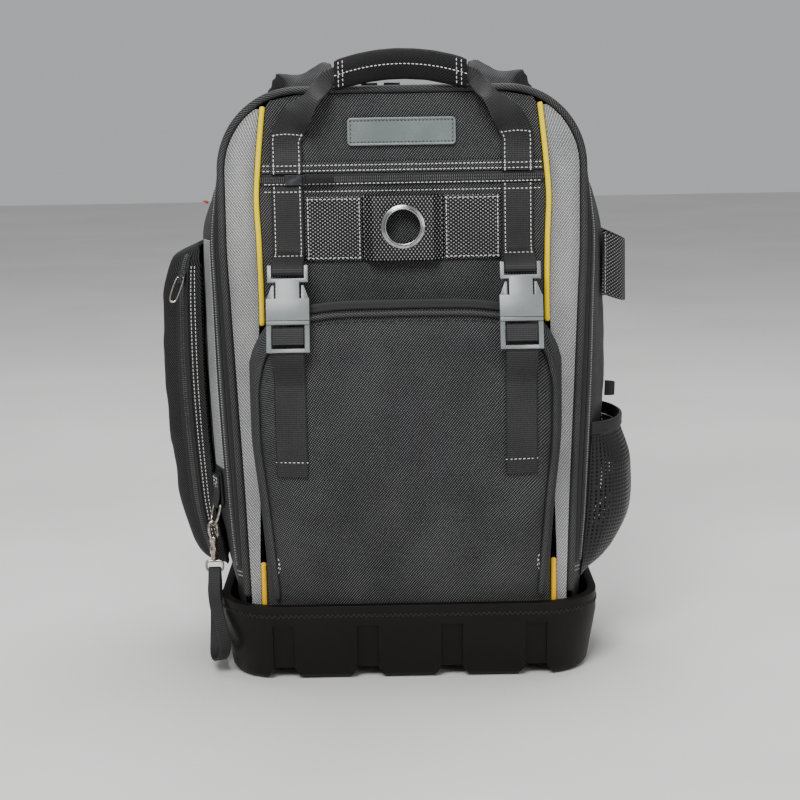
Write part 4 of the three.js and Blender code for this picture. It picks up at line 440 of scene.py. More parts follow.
@dataclass(frozen=True)
class Weave:
    """A coarse plain-woven cloth, read along the piece's own lengths.

    Args:
        name: The material's name.
        thread: Colour of the threads that lie on top.
        gap: Colour between them.
        pitch: Width and length of a crossing, in millimetres.
        weft: Share of light that the crossed threads keep.
        slant: Sideways step of each row, as a share of a thread.
        relief: Height of the weave, in millimetres.
        roughness: Roughness of the threads.
        fleck: Share of uneven light threads.
        specular: Strength of the gloss.
        seam_shade: Half width at which painted shade darkens a narrow piece towards its seams, in millimetres, or 0.
        by_place: Whether the weave is read by the place in the frame, for pieces without lengths.
        rim: Height of a thread, as a share, below which it stays as dark as the gap.
    """

    name: str
    thread: Triple
    gap: Triple
    pitch: tuple[float, float] = (1.15, 1.15)
    weft: float = 0.12
    slant: float = 0.22
    relief: float = 0.16
    roughness: float = 0.6
    fleck: float = 0.4
    specular: float = 0.25
    seam_shade: float = 0.0
    by_place: bool = False
    rim: float = 0.04

    def material(self) -> bpy.types.Material:
        """Builds the node tree: crossing threads, a fine slub, soft unevenness and, where seam_shade is set, painted
        shade towards the seams.

        Returns:
            The material.
        """
        bench = NodeBench(self.name)
        u, v = bench.by_place() if self.by_place else bench.uv()
        along = bench.over(v, self.pitch[1])
        row = bench.math("FLOOR", along)
        across = bench.plus(bench.over(u, self.pitch[0]), bench.times(row, self.slant))
        parity = bench.math("PINGPONG", bench.plus(bench.math("FLOOR", across), row), 1.0)
        warp = bench.arches(across)
        weft = bench.arches(along)
        crossing = bench.times(warp, weft)
        raised = bench.times(crossing, bench.plus(self.weft, bench.times(parity, 1 - self.weft)))
        slub, broad, wide = bench.noise(900.0, 3.0), bench.noise(26.0, 3.0), bench.noise(7.0, 2.0)
        lit = bench.times(bench.remap(raised, self.rim, 0.8, 0.0, 1.0),
                         bench.remap(slub, 0.3, 0.7, 1 - self.fleck, 1 + self.fleck))
        lit = bench.times(lit, bench.remap(broad, 0.3, 0.7, 0.8, 1.2))
        lit = bench.times(lit, bench.remap(wide, 0.35, 0.65, 0.82, 1.18))
        # Painted shade: the threads darken from the piece's middle towards its seams.
        if self.seam_shade:
            seam = bench.plus(bench.math("ABSOLUTE", u), bench.remap(broad, 0.3, 0.7, -4.0, 4.0))
            lit = bench.times(lit, bench.remap(seam, 0.35 * self.seam_shade, self.seam_shade, 1.0, 0.45))
        colour = bench.mix(lit, self.gap, self.thread)
        normal = bench.bump(broad, 0.5 * MM, 0.4)
        normal = bench.bump(raised, self.relief * MM, 0.8, normal)
        rough = bench.remap(slub, 0.3, 0.7, self.roughness - 0.07, self.roughness + 0.07)
        return bench.finish(colour, rough, normal, Specular_IOR_Level=self.specular)


@dataclass(frozen=True)
class Ribbed:
    """Webbing: ribs across its length, with the zigzag of the weft between them.

    Args:
        name: The material's name.
        thread: Colour of the ribs.
        gap: Colour between them.
        pitch: Length of a rib, in millimetres.
        relief: Height of a rib, in millimetres.
        roughness: Roughness of the ribs.
    """

    name: str
    thread: Triple
    gap: Triple
    pitch: float = 1.7
    relief: float = 0.22
    roughness: float = 0.6

    def material(self) -> bpy.types.Material:
        """Builds the node tree.

        Returns:
            The material.
        """
        bench = NodeBench(self.name)
        u, v = bench.uv()
        wave = bench.times(bench.math("PINGPONG", u, 1.3), 0.35)
        along = bench.over(bench.plus(v, wave), self.pitch)
        rib = bench.arches(along)
        column = bench.math("ABSOLUTE", bench.math("SINE", bench.times(u, math.pi / 1.3)))
        height = bench.times(rib, bench.plus(0.55, bench.times(column, 0.45)))
        slub, broad = bench.noise(1100.0, 2.0), bench.noise(30.0, 3.0)
        lit = bench.times(bench.remap(height, 0.2, 0.9, 0.0, 1.0), bench.remap(slub, 0.3, 0.7, 0.6, 1.35))
        lit = bench.times(lit, bench.remap(broad, 0.3, 0.7, 0.7, 1.3))
        colour = bench.mix(lit, self.gap, self.thread)
        normal = bench.bump(height, self.relief * MM, 0.9)
        return bench.finish(colour, self.roughness, normal, Specular_IOR_Level=0.3)


@dataclass(frozen=True)
class Moulded:
    """Moulded rubber or plastic, with a fine grain and slightly worn tops.

    Args:
        name: The material's name.
        colour: Its colour.
        worn: Its colour where it is rubbed.
        roughness: Its roughness.
        grain: Height of the grain, in millimetres.
    """

    name: str
    colour: Triple
    worn: Triple
    roughness: float = 0.5
    grain: float = 0.05
    scale: float = 700.0
    specular: float = 0.5

    def material(self) -> bpy.types.Material:
        """Builds the node tree.

        Returns:
            The material.
        """
        bench = NodeBench(self.name)
        fine = bench.noise(self.scale, 2.0)
        broad = bench.noise(18.0, 4.0)
        streak = bench.noise(90.0, 5.0, roughness=0.65)
        colour = bench.mix(bench.remap(broad, 0.4, 0.75, 0.0, 0.6), self.colour, self.worn)
        colour = bench.mix(bench.remap(streak, 0.62, 0.8, 0.0, 0.35), colour, self.worn)
        rough = bench.plus(bench.remap(broad, 0.3, 0.7, self.roughness - 0.06, self.roughness + 0.06),
                           bench.remap(fine, 0.3, 0.7, -0.03, 0.03))
        normal = bench.bump(fine, self.grain * MM, 0.8)
        return bench.finish(colour, rough, normal, Specular_IOR_Level=self.specular)


@dataclass(frozen=True)
class Metal:
    """Cast or wire metal, with faint tarnish and fine scratches.

    Args:
        name: The material's name.
        colour: Its colour.
        tarnish: Colour of the tarnished places.
        roughness: Its roughness.
    """

    name: str
    colour: Triple
    tarnish: Triple
    roughness: float = 0.25

    def material(self) -> bpy.types.Material:
        """Builds the node tree.

        Returns:
            The material.
        """
        bench = NodeBench(self.name)
        spots = bench.noise(260.0, 4.0)
        fine = bench.noise(1500.0, 2.0)
        colour = bench.mix(bench.remap(spots, 0.45, 0.7, 0.0, 1.0), self.colour, self.tarnish)
        rough = bench.remap(spots, 0.35, 0.7, self.roughness - 0.06, self.roughness + 0.16)
        return bench.finish(colour, rough, bench.bump(fine, 0.02 * MM, 0.5), Metallic=1.0)


@dataclass(frozen=True)
class Cord:
    """Piping, thread or net strands: a cover with a twist, with painted light graded by height, lit at the top of the
    bag and shaded at its foot.

    Args:
        name: The material's name.
        high: Colour at the top of the bag, painted as lit.
        low: Colour at its foot, painted as shaded.
        roughness: Its roughness.
        twist: Height of the twist's fine grain, in millimetres.
        ribs: Length of a diagonal rib of its woven cover, in millimetres, or 0 for none.
    """

    name: str
    high: Triple
    low: Triple
    roughness: float = 0.5
    twist: float = 0.08
    ribs: float = 0.0

    def material(self) -> bpy.types.Material:
        """Builds the node tree.

        Returns:
            The material.
        """
        bench = NodeBench(self.name)
        split = bench.tree.nodes.new("ShaderNodeSeparateXYZ")
        bench.tree.links.new(bench.coords.outputs["Object"], split.inputs[0])
        # Painted light: the colour goes from the shaded foot colour low down to the lit top colour higher up.
        colour = bench.mix(bench.remap(split.outputs[2], 0.06, 0.42, 0.0, 1.0), self.low, self.high)
        fine = bench.noise(1300.0, 2.0)
        shade = bench.remap(fine, 0.3, 0.7, 0.0, 0.3)
        normal = bench.bump(fine, self.twist * MM, 0.8)
        if self.ribs:
            u, v = bench.uv()
            rib = bench.math("ABSOLUTE", bench.math("SINE", bench.math(
                "MULTIPLY", bench.plus(v, bench.times(u, 0.7)), math.pi / self.ribs)))
            shade = bench.plus(shade, bench.remap(rib, 0.0, 0.6, 0.55, 0.0))
            normal = bench.bump(rib, 0.15 * MM, 0.8, normal)
        dark = tuple(0.35 * c for c in self.high)
        colour = bench.mix(shade, colour, dark)
        return bench.finish(colour, self.roughness, normal, Specular_IOR_Level=0.3)


TWILL = Weave("black_twill", (0.15, 0.152, 0.154), (0.0008, 0.0008, 0.001), weft=0.06, specular=0.15)
# A darker copy of the black twill: painted shade for the left side pocket, which faces away from the light.
SHADED_SIDE_TWILL = Weave("shaded_side_twill", (0.07, 0.071, 0.072), (0.0008, 0.0008, 0.001), weft=0.06, specular=0.15)
SLEEVE_TWILL = Weave("sleeve_twill", (0.02, 0.02, 0.0205), (0.001, 0.001, 0.001), (1.0, 1.0), specular=0.15)
BACK_TWILL = Weave("back_twill", (0.07, 0.071, 0.074), (0.0012, 0.0012, 0.0015), by_place=True)
TRIM = Weave("black_trim", (0.02, 0.02, 0.0215), (0.007, 0.007, 0.0075), (0.8, 0.8), 0.5, relief=0.06, specular=0.3)
PIPING = Weave("piping_cloth", (0.12, 0.12, 0.122), (0.002, 0.002, 0.002), (1.1, 1.1), 0.1, 0.3)
# The grey gores get painted shade towards their seams, over a half width of 17 mm.
GREY = Weave("grey_cloth", (0.66, 0.67, 0.665), (0.045, 0.046, 0.047), (1.2, 1.2), 0.3, 0.22, 0.12, 0.45, 0.3, 0.35,
             17.0)
SIDE_GREY = Weave("side_grey_cloth", (0.6, 0.61, 0.605), (0.045, 0.046, 0.047), (1.2, 1.2), 0.3, 0.22, 0.12, 0.45,
                  0.3, 0.35)
WEBBING = Ribbed("black_webbing", (0.029, 0.029, 0.0305), (0.002, 0.002, 0.002))
HEAVY_WEBBING = Weave("heavy_webbing", (0.34, 0.34, 0.34), (0.001, 0.001, 0.001), (2.05, 1.5), 0.03, 0.0, 0.4, 0.5, 0.3,
                      rim=0.38)
# The yellow piping, the light thread and the net are lighter at the top and darker at the foot: painted light from
# above.
YELLOW = Cord("yellow_piping", (1.0, 0.76, 0.0), (0.95, 0.48, 0.0), ribs=1.6)
BLACK_CORD = Cord("black_cord", (0.006, 0.006, 0.0065), (0.006, 0.006, 0.0065), 0.42)
THREAD = Cord("light_thread", (0.8, 0.8, 0.78), (0.7, 0.7, 0.68), 0.6)
DARK_THREAD = Cord("dark_thread", (0.012, 0.012, 0.013), (0.012, 0.012, 0.013), 0.5)
NET = Cord("net_black", (0.012, 0.012, 0.0125), (0.007, 0.007, 0.0075), 0.3)
TEETH = Moulded("zip_coil", (0.05, 0.05, 0.052), (0.1, 0.1, 0.105), 0.3, 0.01)
# Light grey crown bodies on the black coil: painted highlight for the glints along the zip's teeth.
GLINT_TEETH = Moulded("zip_glint", (0.3, 0.3, 0.3), (0.42, 0.42, 0.42), 0.3, 0.01)
RUBBER = Moulded("tray_rubber", (0.0032, 0.0026, 0.0022), (0.006, 0.005, 0.0042), 0.5, 0.05, specular=0.17)
BADGE = Moulded("badge_grey", (0.125, 0.145, 0.145), (0.24, 0.27, 0.27), 0.27, 0.03)
BUCKLE = Moulded("buckle_grey", (0.15, 0.166, 0.168), (0.24, 0.26, 0.262), 0.32, 0.03)
TAG = Weave("orange_tag", (0.5, 0.13, 0.03), (0.2, 0.05, 0.01), (0.8, 0.8), 0.6)
GUNMETAL = Metal("dark_metal", (0.09, 0.092, 0.098), (0.05, 0.05, 0.052), 0.26)
POLISHED = Metal("polished_metal", (0.4, 0.4, 0.41), (0.25, 0.25, 0.255), 0.16)
STEEL = Metal("bright_metal", (0.5, 0.47, 0.43), (0.2, 0.13, 0.08), 0.2)
Finish = Weave | Ribbed | Moulded | Metal | Cord
_MADE: dict[str, bpy.types.Material] = {}


def material_of(finish: Finish) -> bpy.types.Material:
    """The finish's material, made once.

    Args:
        finish: The finish.

    Returns:
        Its material.
    """
    if finish.name not in _MADE:
        _MADE[finish.name] = finish.material()
    return _MADE[finish.name]


# ---------------------------------------------------------------- meshes


def added(name: str, data: bpy.types.ID) -> bpy.types.Object:
    """Adds an object with its data to the scene.

    Args:
        name: Its name.
        data: What it holds.

    Returns:
        The object.
    """
    obj = bpy.data.objects.new(name, data)
    bpy.context.scene.collection.objects.link(obj)
    return obj


def baked(obj: bpy.types.Object) -> bpy.types.Mesh:
    """An object's mesh with its modifiers applied."""
    return bpy.data.meshes.new_from_object(obj.evaluated_get(bpy.context.evaluated_depsgraph_get()))


@dataclass
class Form:
    """Points, faces and corner lengths of a piece, in millimetres.

    Args:
        points: Its points.
        faces: Its faces, by point number.
        lengths: Lengths across and along for each face corner, in the faces' order.
    """

    points: np.ndarray
    faces: list[tuple[int, ...]]
    lengths: np.ndarray

    def made(self, name: str, finish: Finish, angle: float = 40.0) -> bpy.types.Object:
        """Makes the object, smooth apart from edges sharper than an angle in degrees.

        Args:
            name: The object's name.
            finish: The finish.
            angle: Edges sharper than this, in degrees, stay sharp.

        Returns:
            The object.
        """
        mesh = bpy.data.meshes.new(name)
        mesh.from_pydata((self.points * MM).tolist(), [], self.faces)
        layer = mesh.uv_layers.new(name="lengths")
        layer.data.foreach_set("uv", np.ascontiguousarray(self.lengths, dtype=np.float32).ravel())
        mesh.materials.append(material_of(finish))
        work = bmesh.new()
        work.from_mesh(mesh)
        bmesh.ops.remove_doubles(work, verts=work.verts, dist=1e-7)
        bmesh.ops.recalc_face_normals(work, faces=work.faces)
        work.to_mesh(mesh)
        work.free()
        mesh.polygons.foreach_set("use_smooth", [True] * len(mesh.polygons))
        mesh.set_sharp_from_angle(angle=math.radians(angle))
        return added(name, mesh)


def grid_faces(rows: int, columns: int, start: int = 0, turned: bool = False) -> list[tuple[int, ...]]:
    """Faces of a grid of points.

    Args:
        rows: Rows of points.
        columns: Points in a row.
        start: Number of the first point.
        turned: Whether they face the other way.

    Returns:
        Faces by point number.
    """
    faces = []
    for i in range(rows - 1):
        for j in range(columns - 1):
            a = start + i * columns + j
            face = (a, a + 1, a + columns + 1, a + columns)
            faces.append(face[::-1] if turned else face)
    return faces


def measured(grid: np.ndarray) -> np.ndarray:
    """Lengths across and along a grid of points, from the middle of each row and the first row.

    Args:
        grid: Points by row and column.

    Returns:
        Both lengths of each point.
    """
    rows, columns = grid.shape[:2]
    across = np.zeros((rows, columns))
    across[:, 1:] = np.cumsum(np.linalg.norm(np.diff(grid, axis=1), axis=2), axis=1)
    across -= across[:, columns // 2][:, None]
    along = np.zeros((rows, columns))
    along[1:, :] = np.cumsum(np.linalg.norm(np.diff(grid, axis=0), axis=2), axis=0)
    middle = along[:, columns // 2]
    return np.stack([across, np.repeat(middle[:, None], columns, axis=1)], axis=2)


def slab(outer: np.ndarray, inner: np.ndarray, lengths: np.ndarray | None = None) -> Form:
    """A closed sheet with thickness from two equal grids of points.

    Args:
        outer: Points of the outer face.
        inner: Points of the inner face.
        lengths: Lengths across and along, measured if not given.

    Returns:
        The sheet.
    """
    rows, columns = outer.shape[:2]
    flat = (measured(outer) if lengths is None else lengths).reshape(-1, 2)
    under = rows * columns
    faces = grid_faces(rows, columns) + grid_faces(rows, columns, under, True)
    rim = ([j for j in range(columns - 1)] + [i * columns + columns - 1 for i in range(rows - 1)]
           + [(rows - 1) * columns + j for j in range(columns - 1, 0, -1)]
           + [i * columns for i in range(rows - 1, 0, -1)])
    for n, a in enumerate(rim):
        b = rim[(n + 1) % len(rim)]
        faces.append((b, a, under + a, under + b))
    both = np.vstack([flat, flat])
    lengths_out = both[np.concatenate([np.array(f) for f in faces])]
    return Form(np.vstack([outer.reshape(-1, 3), inner.reshape(-1, 3)]), faces, lengths_out)


def slab_on(surface: Surface, us: Stops, vs: Stops, low: Level, high: Level) -> Form:
    """A sheet that lies on a surface between two heights above it, given as numbers or as functions of a place.

    Args:
        surface: The surface it lies on.
        us: Stops across.
        vs: Stops along.
        low: Height of its underside.
        high: Height of its upper side.

    Returns:
        The sheet.
    """
    base = np.array([[surface(u, v, 0.0) for u in us] for v in vs])
    normal = np.array([[surface(u, v, 1.0) for u in us] for v in vs]) - base
    def raised(level: Level) -> np.ndarray:
        """The surface's points at a height."""
        rise = np.array([[level(u, v) if callable(level) else level for u in us] for v in vs])
        return base + normal * rise[:, :, None]
    return slab(raised(high), raised(low))


def edged(stops: Stops, soft: float) -> list[float]:
    """Stops with two more near each end, where an edge is rounded over a length.

    Args:
        stops: Stops along the sheet.
        soft: Length of the rounding.

    Returns:
        The stops with the new ones.
    """
    a, b = stops[0], stops[-1]
    sign = 1 if b > a else -1
    return [a, a + sign * soft * 0.3, a + sign * soft, *stops[1:-1], b - sign * soft, b - sign * soft * 0.3, b]


def rounded(value: float, a: float, b: float, soft: float) -> float:
    """Height share of a rounded edge: 1 inside, falling over the soft length to half at either end.

    Args:
        value: Place along.
        a: One end.
        b: The other end.
        soft: Length of the rounding.

    Returns:
        The height share.
    """
    near = min(abs(value - a), abs(b - value))
    if near >= soft:
        return 1.0
    return 0.45 + 0.55 * math.sqrt(max(0.0, 1 - (1 - near / soft) ** 2))


def trim_on(surface: Surface, us: Stops, vs: Stops, low: float, thick: float,
            soft_u: float = 1.0, soft_v: float = 1.0, dents: Surface | None = None) -> Form:
    """A sheet on a surface with rounded edges.

    Args:
        surface: The surface it lies on.
        us: Stops across.
        vs: Stops along.
        low: Height of its underside.
        thick: Its thickness.
        soft_u: Length over which its ends across are rounded, in the unit of us.
        soft_v: The same along.
        dents: Further height at a place.

    Returns:
        The sheet.
    """
    def top(u: float, v: float) -> float:
        """Height of the rounded upper side."""
        share = rounded(u, us[0], us[-1], soft_u) * rounded(v, vs[0], vs[-1], soft_v)
        return low + thick * share + (dents(u, v) if dents else 0.0)
    return slab_on(surface, edged(us, soft_u), edged(vs, soft_v), low, top)


def headings(path: np.ndarray, joined: bool) -> np.ndarray:
    """Direction of travel at each point of a path.

    Args:
        path: Points of the path.
        joined: Whether the end meets the start.

    Returns:
        Unit directions by point.
    """
    if joined:
        step = np.roll(path, -1, axis=0) - np.roll(path, 1, axis=0)
    else:
        step = np.gradient(path, axis=0)
    return step / np.maximum(np.linalg.norm(step, axis=1, keepdims=True), 1e-9)


def loft(rings: np.ndarray, across: np.ndarray, along: np.ndarray, joined: bool = False) -> Form:
    """A solid through equal rings of points.

    Args:
        rings: Points by ring and place round it.
        across: Length round the ring of each place, with one more for the seam.
        along: Length along of each ring, with one more where the rings are joined end to end.
        joined: Whether the last ring meets the first.

    Returns:
        The solid.
    """
    count, sides = rings.shape[:2]
    points = rings.reshape(-1, 3)
    faces, lengths = [], []
    for i in range(count if joined else count - 1):
        low, high = i * sides, ((i + 1) % count) * sides
        for j in range(sides):
            k = (j + 1) % sides
            faces.append((low + j, low + k, high + k, high + j))
            lengths += [(across[j], along[i]), (across[j + 1], along[i]), (across[j + 1], along[i + 1]),
                        (across[j], along[i + 1])]
    if not joined:
        for start, turned in ((0, True), ((count - 1) * sides, False)):
            face = tuple(range(start, start + sides))
            faces.append(face[::-1] if turned else face)
            at = along[0] if turned else along[count - 1]
            order = range(sides - 1, -1, -1) if turned else range(sides)
            lengths += [(across[j], at) for j in order]
    return Form(points, faces, np.array(lengths))


def run_lengths(path: np.ndarray, joined: bool = False) -> np.ndarray:
    """Length along a path at each of its points."""
    ends = np.vstack([path, path[:1]]) if joined else path
    return np.concatenate([[0.0], np.cumsum(np.linalg.norm(np.diff(ends, axis=0), axis=1))])


def tube(path: Sequence[Point], radius: float, sides: int = 12, joined: bool = False) -> Form:
    """A round cord of wire or piping along a path, with slightly rounded ends.

    Args:
        path: Points of the path.
        radius: Its radius.
        sides: Sides round it.
        joined: Whether the end meets the start.

    Returns:
        The cord.
    """
    line = np.array(path)
    ahead = headings(line, joined)
    helper = vec(0, 1, 0) if abs(ahead[0][1]) < 0.8 else vec(1, 0, 0)
    side = unit(helper - ahead[0] * float(np.dot(helper, ahead[0])))
    angles = np.linspace(0, 2 * math.pi, sides, endpoint=False)
    rings = []
    for centre, forward in zip(line, ahead):
        side = unit(side - forward * float(np.dot(side, forward)))
        up = np.cross(forward, side)
        rings.append(centre + radius * (np.cos(angles)[:, None] * side + np.sin(angles)[:, None] * up))
    if not joined:
        for end, inward in ((0, 1), (-1, -1)):
            tip = line[end] + (rings[end] - line[end]) * 0.6
            rings[end] = tip
            near = line[end] + inward * ahead[end] * radius * 0.4
            ring = near + (tip - line[end]) / 0.6
            rings.insert(1 if end == 0 else len(rings) - 1, ring)
        line = np.vstack([line[:1], line[:1] + ahead[0] * radius * 0.4, line[1:-1],
                          line[-1:] - ahead[-1] * radius * 0.4, line[-1:]])
    round_lengths = np.linspace(0, 2 * math.pi * radius, sides + 1)
    return loft(np.array(rings), round_lengths, run_lengths(line, joined), joined)


@dataclass
class Station:
    """A place along a band: its centre, the direction of its width, and its width."""

    centre: Point
    across: Point
    width: float


def eased(stations: Sequence[Station], between: int, joined: bool = False) -> list[Station]:
    """Stations with more between them, on a smooth curve through their centres.

    Args:
        stations: Its stations.
        between: Steps from each station to the next.
        joined: Whether the end meets the start.

    Returns:
        The stations with the new ones between.
    """
    count = len(stations)
    centres = [s.centre for s in stations]

    def centre(i: int) -> Point:
        """A centre, also beyond the ends.

        Args:
            i: Number of the stop.

        Returns:
            The centre.
        """
        if joined:
            return centres[i % count]
        if i < 0:
            return 2 * centres[0] - centres[1]
        if i >= count:
            return 2 * centres[-1] - centres[-2]
        return centres[i]

    def knot(a: Point, b: Point) -> float:
        """Spacing of the curve between two centres."""
        return max(float(np.linalg.norm(b - a)) ** 0.5, 1e-4)

    made = []
    spans = count if joined else count - 1
    for i in range(spans):
        p0, p1, p2, p3 = centre(i - 1), centre(i), centre(i + 1), centre(i + 2)
        d0, d1, d2 = knot(p0, p1), knot(p1, p2), knot(p2, p3)
        m1 = ((p1 - p0) / d0 - (p2 - p0) / (d0 + d1) + (p2 - p1) / d1) * d1
        m2 = ((p2 - p1) / d1 - (p3 - p1) / (d1 + d2) + (p3 - p2) / d2) * d1
        a, b = stations[i], stations[(i + 1) % count]
        for n in range(between):
            t = n / between
            t2, t3 = t * t, t * t * t
            place = (2 * t3 - 3 * t2 + 1) * p1 + (t3 - 2 * t2 + t) * m1 + (3 * t2 - 2 * t3) * p2 + (t3 - t2) * m2
            made.append(Station(place, lerp(a.across, b.across, t), lerp(a.width, b.width, t)))
    if not joined:
        made.append(stations[-1])
    return made


def wire_ring(stations: Sequence[Station], between: int, radius: float, sides: int) -> Form:
    """A closed ring of wire on a smooth curve through its stations."""
    return tube([s.centre for s in eased(stations, between, True)], radius, sides, True)


def band(stations: Sequence[Station], thick: float, joined: bool = False, soft: float = 0.45,
         columns: int = 5) -> Form:
    """A band of webbing with rounded edges through its stations.

    Args:
        stations: Its stations.
        thick: Its thickness.
        joined: Whether the end meets the start.
        soft: Share of the thickness that the edges are rounded by.
        columns: Points in a row.

    Returns:
        The band.
    """
    line = np.array([s.centre for s in stations])
    ahead = headings(line, joined)
    half = thick / 2
    edge = min(thick * soft, half)
    top = [(x, half) for x in np.linspace(-1, 1, columns + 2)]
    rings = []
    for station, forward in zip(stations, ahead):
        wide = unit(station.across - forward * float(np.dot(station.across, forward)))
        face = np.cross(forward, wide)
        reach = station.width / 2
        corner = [(reach, half - edge), (reach, edge - half)]
        upper = [(x * (reach - edge), half) for x, _ in top]
        lower = [(-x * (reach - edge), -half) for x, _ in top]
        profile = upper + corner + lower + [(-x, -f) for x, f in corner]
        rings.append([station.centre + wide * w + face * f for w, f in profile])
    reach = stations[0].width / 2
    across = [x * reach for x, _ in top] + [reach, reach] + [-x * reach for x, _ in top] + [-reach, -reach]
    across.append(across[0])
    return loft(np.array(rings), np.array(across), run_lengths(line, joined), joined)


def on_band(stations: Sequence[Station], thick: float, facing: Point) -> Surface:
    """The outside of a band, by millimetres across and along it.

    Args:
        stations: The band's eased stations.
        thick: Its thickness.
        facing: The side that counts as outside.

    Returns:
        The outside, as a surface.
    """
    line = np.array([s.centre for s in stations])
    ahead, lengths = headings(line, False), run_lengths(line)

    def place(across: float, along: float, rise: float = 0.0) -> Point:
        """A point on the band's outer side.

        Args:
            across: Length across.
            along: Place along.
            rise: Height above it.

        Returns:
            The point.
        """
        i = min(max(int(np.searchsorted(lengths, along)) - 1, 0), len(stations) - 2)
        t = (along - lengths[i]) / (lengths[i + 1] - lengths[i])
        forward = unit(lerp(ahead[i], ahead[i + 1], t))
        wide = lerp(stations[i].across, stations[i + 1].across, t)
        wide = unit(wide - forward * float(np.dot(wide, forward)))
        out = np.cross(forward, wide)
        out = out if float(np.dot(out, facing)) > 0 else -out
        return lerp(line[i], line[i + 1], t) + wide * across + out * (thick / 2 + rise)

    return place


def lathe(profile: Spots, place: Callable[[float, float, float], Point],
          steps: int = 64) -> Form:
    """A ring turned from a closed profile of (radius, height).

    Args:
        profile: The closed profile.
        place: Gives the point of a place about the axis.
        steps: Steps round.

    Returns:
        The ring.
    """
    rings = []
    for n in range(steps):
        angle = 2 * math.pi * n / steps
        rings.append([place(r * math.cos(angle), h, r * math.sin(angle)) for r, h in profile])
    along = np.linspace(0, 100.0, steps + 1)
    return loft(np.array(rings), np.arange(len(profile) + 1, dtype=float), along, True)


def put(obj: bpy.types.Object, slot: Slot | None, *nodes: str, body: str = "root") -> bpy.types.Object:
    """Gives a finished object its body, and hides the CAD nodes that it stands for.

    Args:
        obj: The object.
        slot: Not used.
        body: The body that it rides on.
        nodes: The CAD nodes.

    Returns:
        The same object.
    """
    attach(obj, body)
    if nodes:
        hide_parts(*nodes)
    return obj


def piece(form: Form, name: str, finish: Finish, slot: Slot, *nodes: str, body: str = "root",
          angle: float = 40.0) -> bpy.types.Object:
    """Makes an object from a form and puts it in the place of its CAD nodes."""
    return put(form.made(name, finish, angle), slot, *(nodes or (name,)), body=body)


def dress(node: str, finish: Finish, slot: Slot, bevel: float, body: str = "root", angle: float = 35.0,
          lay: Callable[[Vector], tuple[float, float]] | None = None,
          shape: Callable[[Point], Point] | None = None) -> bpy.types.Object:
    """Takes a hard node's own shape and breaks its edges.

    Args:
        node: The CAD node.
        finish: Its finish.
        slot: Its material slot.
        bevel: Width of the broken edges, in millimetres.
        body: The body that it rides on.
        angle: Edges sharper than this, in degrees, are broken.
        lay: Lengths across and along of a place in millimetres, for woven finishes.
        shape: Moves a corner, in millimetres, before the edges are broken.

    Returns:
        The dressed object.
    """
    mesh = frame["nodes"][node].data.copy()
    mesh.materials.clear()
    mesh.materials.append(material_of(finish))
    work = bmesh.new()
    work.from_mesh(mesh)
    bmesh.ops.remove_doubles(work, verts=work.verts, dist=2e-6)
    bmesh.ops.dissolve_limit(work, angle_limit=math.radians(1.0), verts=work.verts, edges=work.edges)
    bmesh.ops.recalc_face_normals(work, faces=work.faces)
    if shape:
        for corner in work.verts:
            corner.co = Vector(shape(np.array(corner.co) / MM)) * MM
    work.to_mesh(mesh)
    work.free()
    source = added(node + "_source", mesh)
    cut = source.modifiers.new("edges", "BEVEL")
    cut.limit_method = "ANGLE"
    cut.angle_limit = math.radians(angle)
    cut.width = bevel * MM
    cut.segments = 3
    cut.use_clamp_overlap = True
    final = baked(source)
    bpy.data.objects.remove(source)
    if lay:
        for old in list(final.uv_layers):
            final.uv_layers.remove(old)
        layer = final.uv_layers.new(name="lengths")
        for loop in final.loops:
            layer.data[loop.index].uv = lay(final.vertices[loop.vertex_index].co / MM)
    final.polygons.foreach_set("use_smooth", [True] * len(final.polygons))
    final.set_sharp_from_angle(angle=math.radians(angle))
    obj = added(node + "_dressed", final)
    return put(obj, slot, node, body=body)


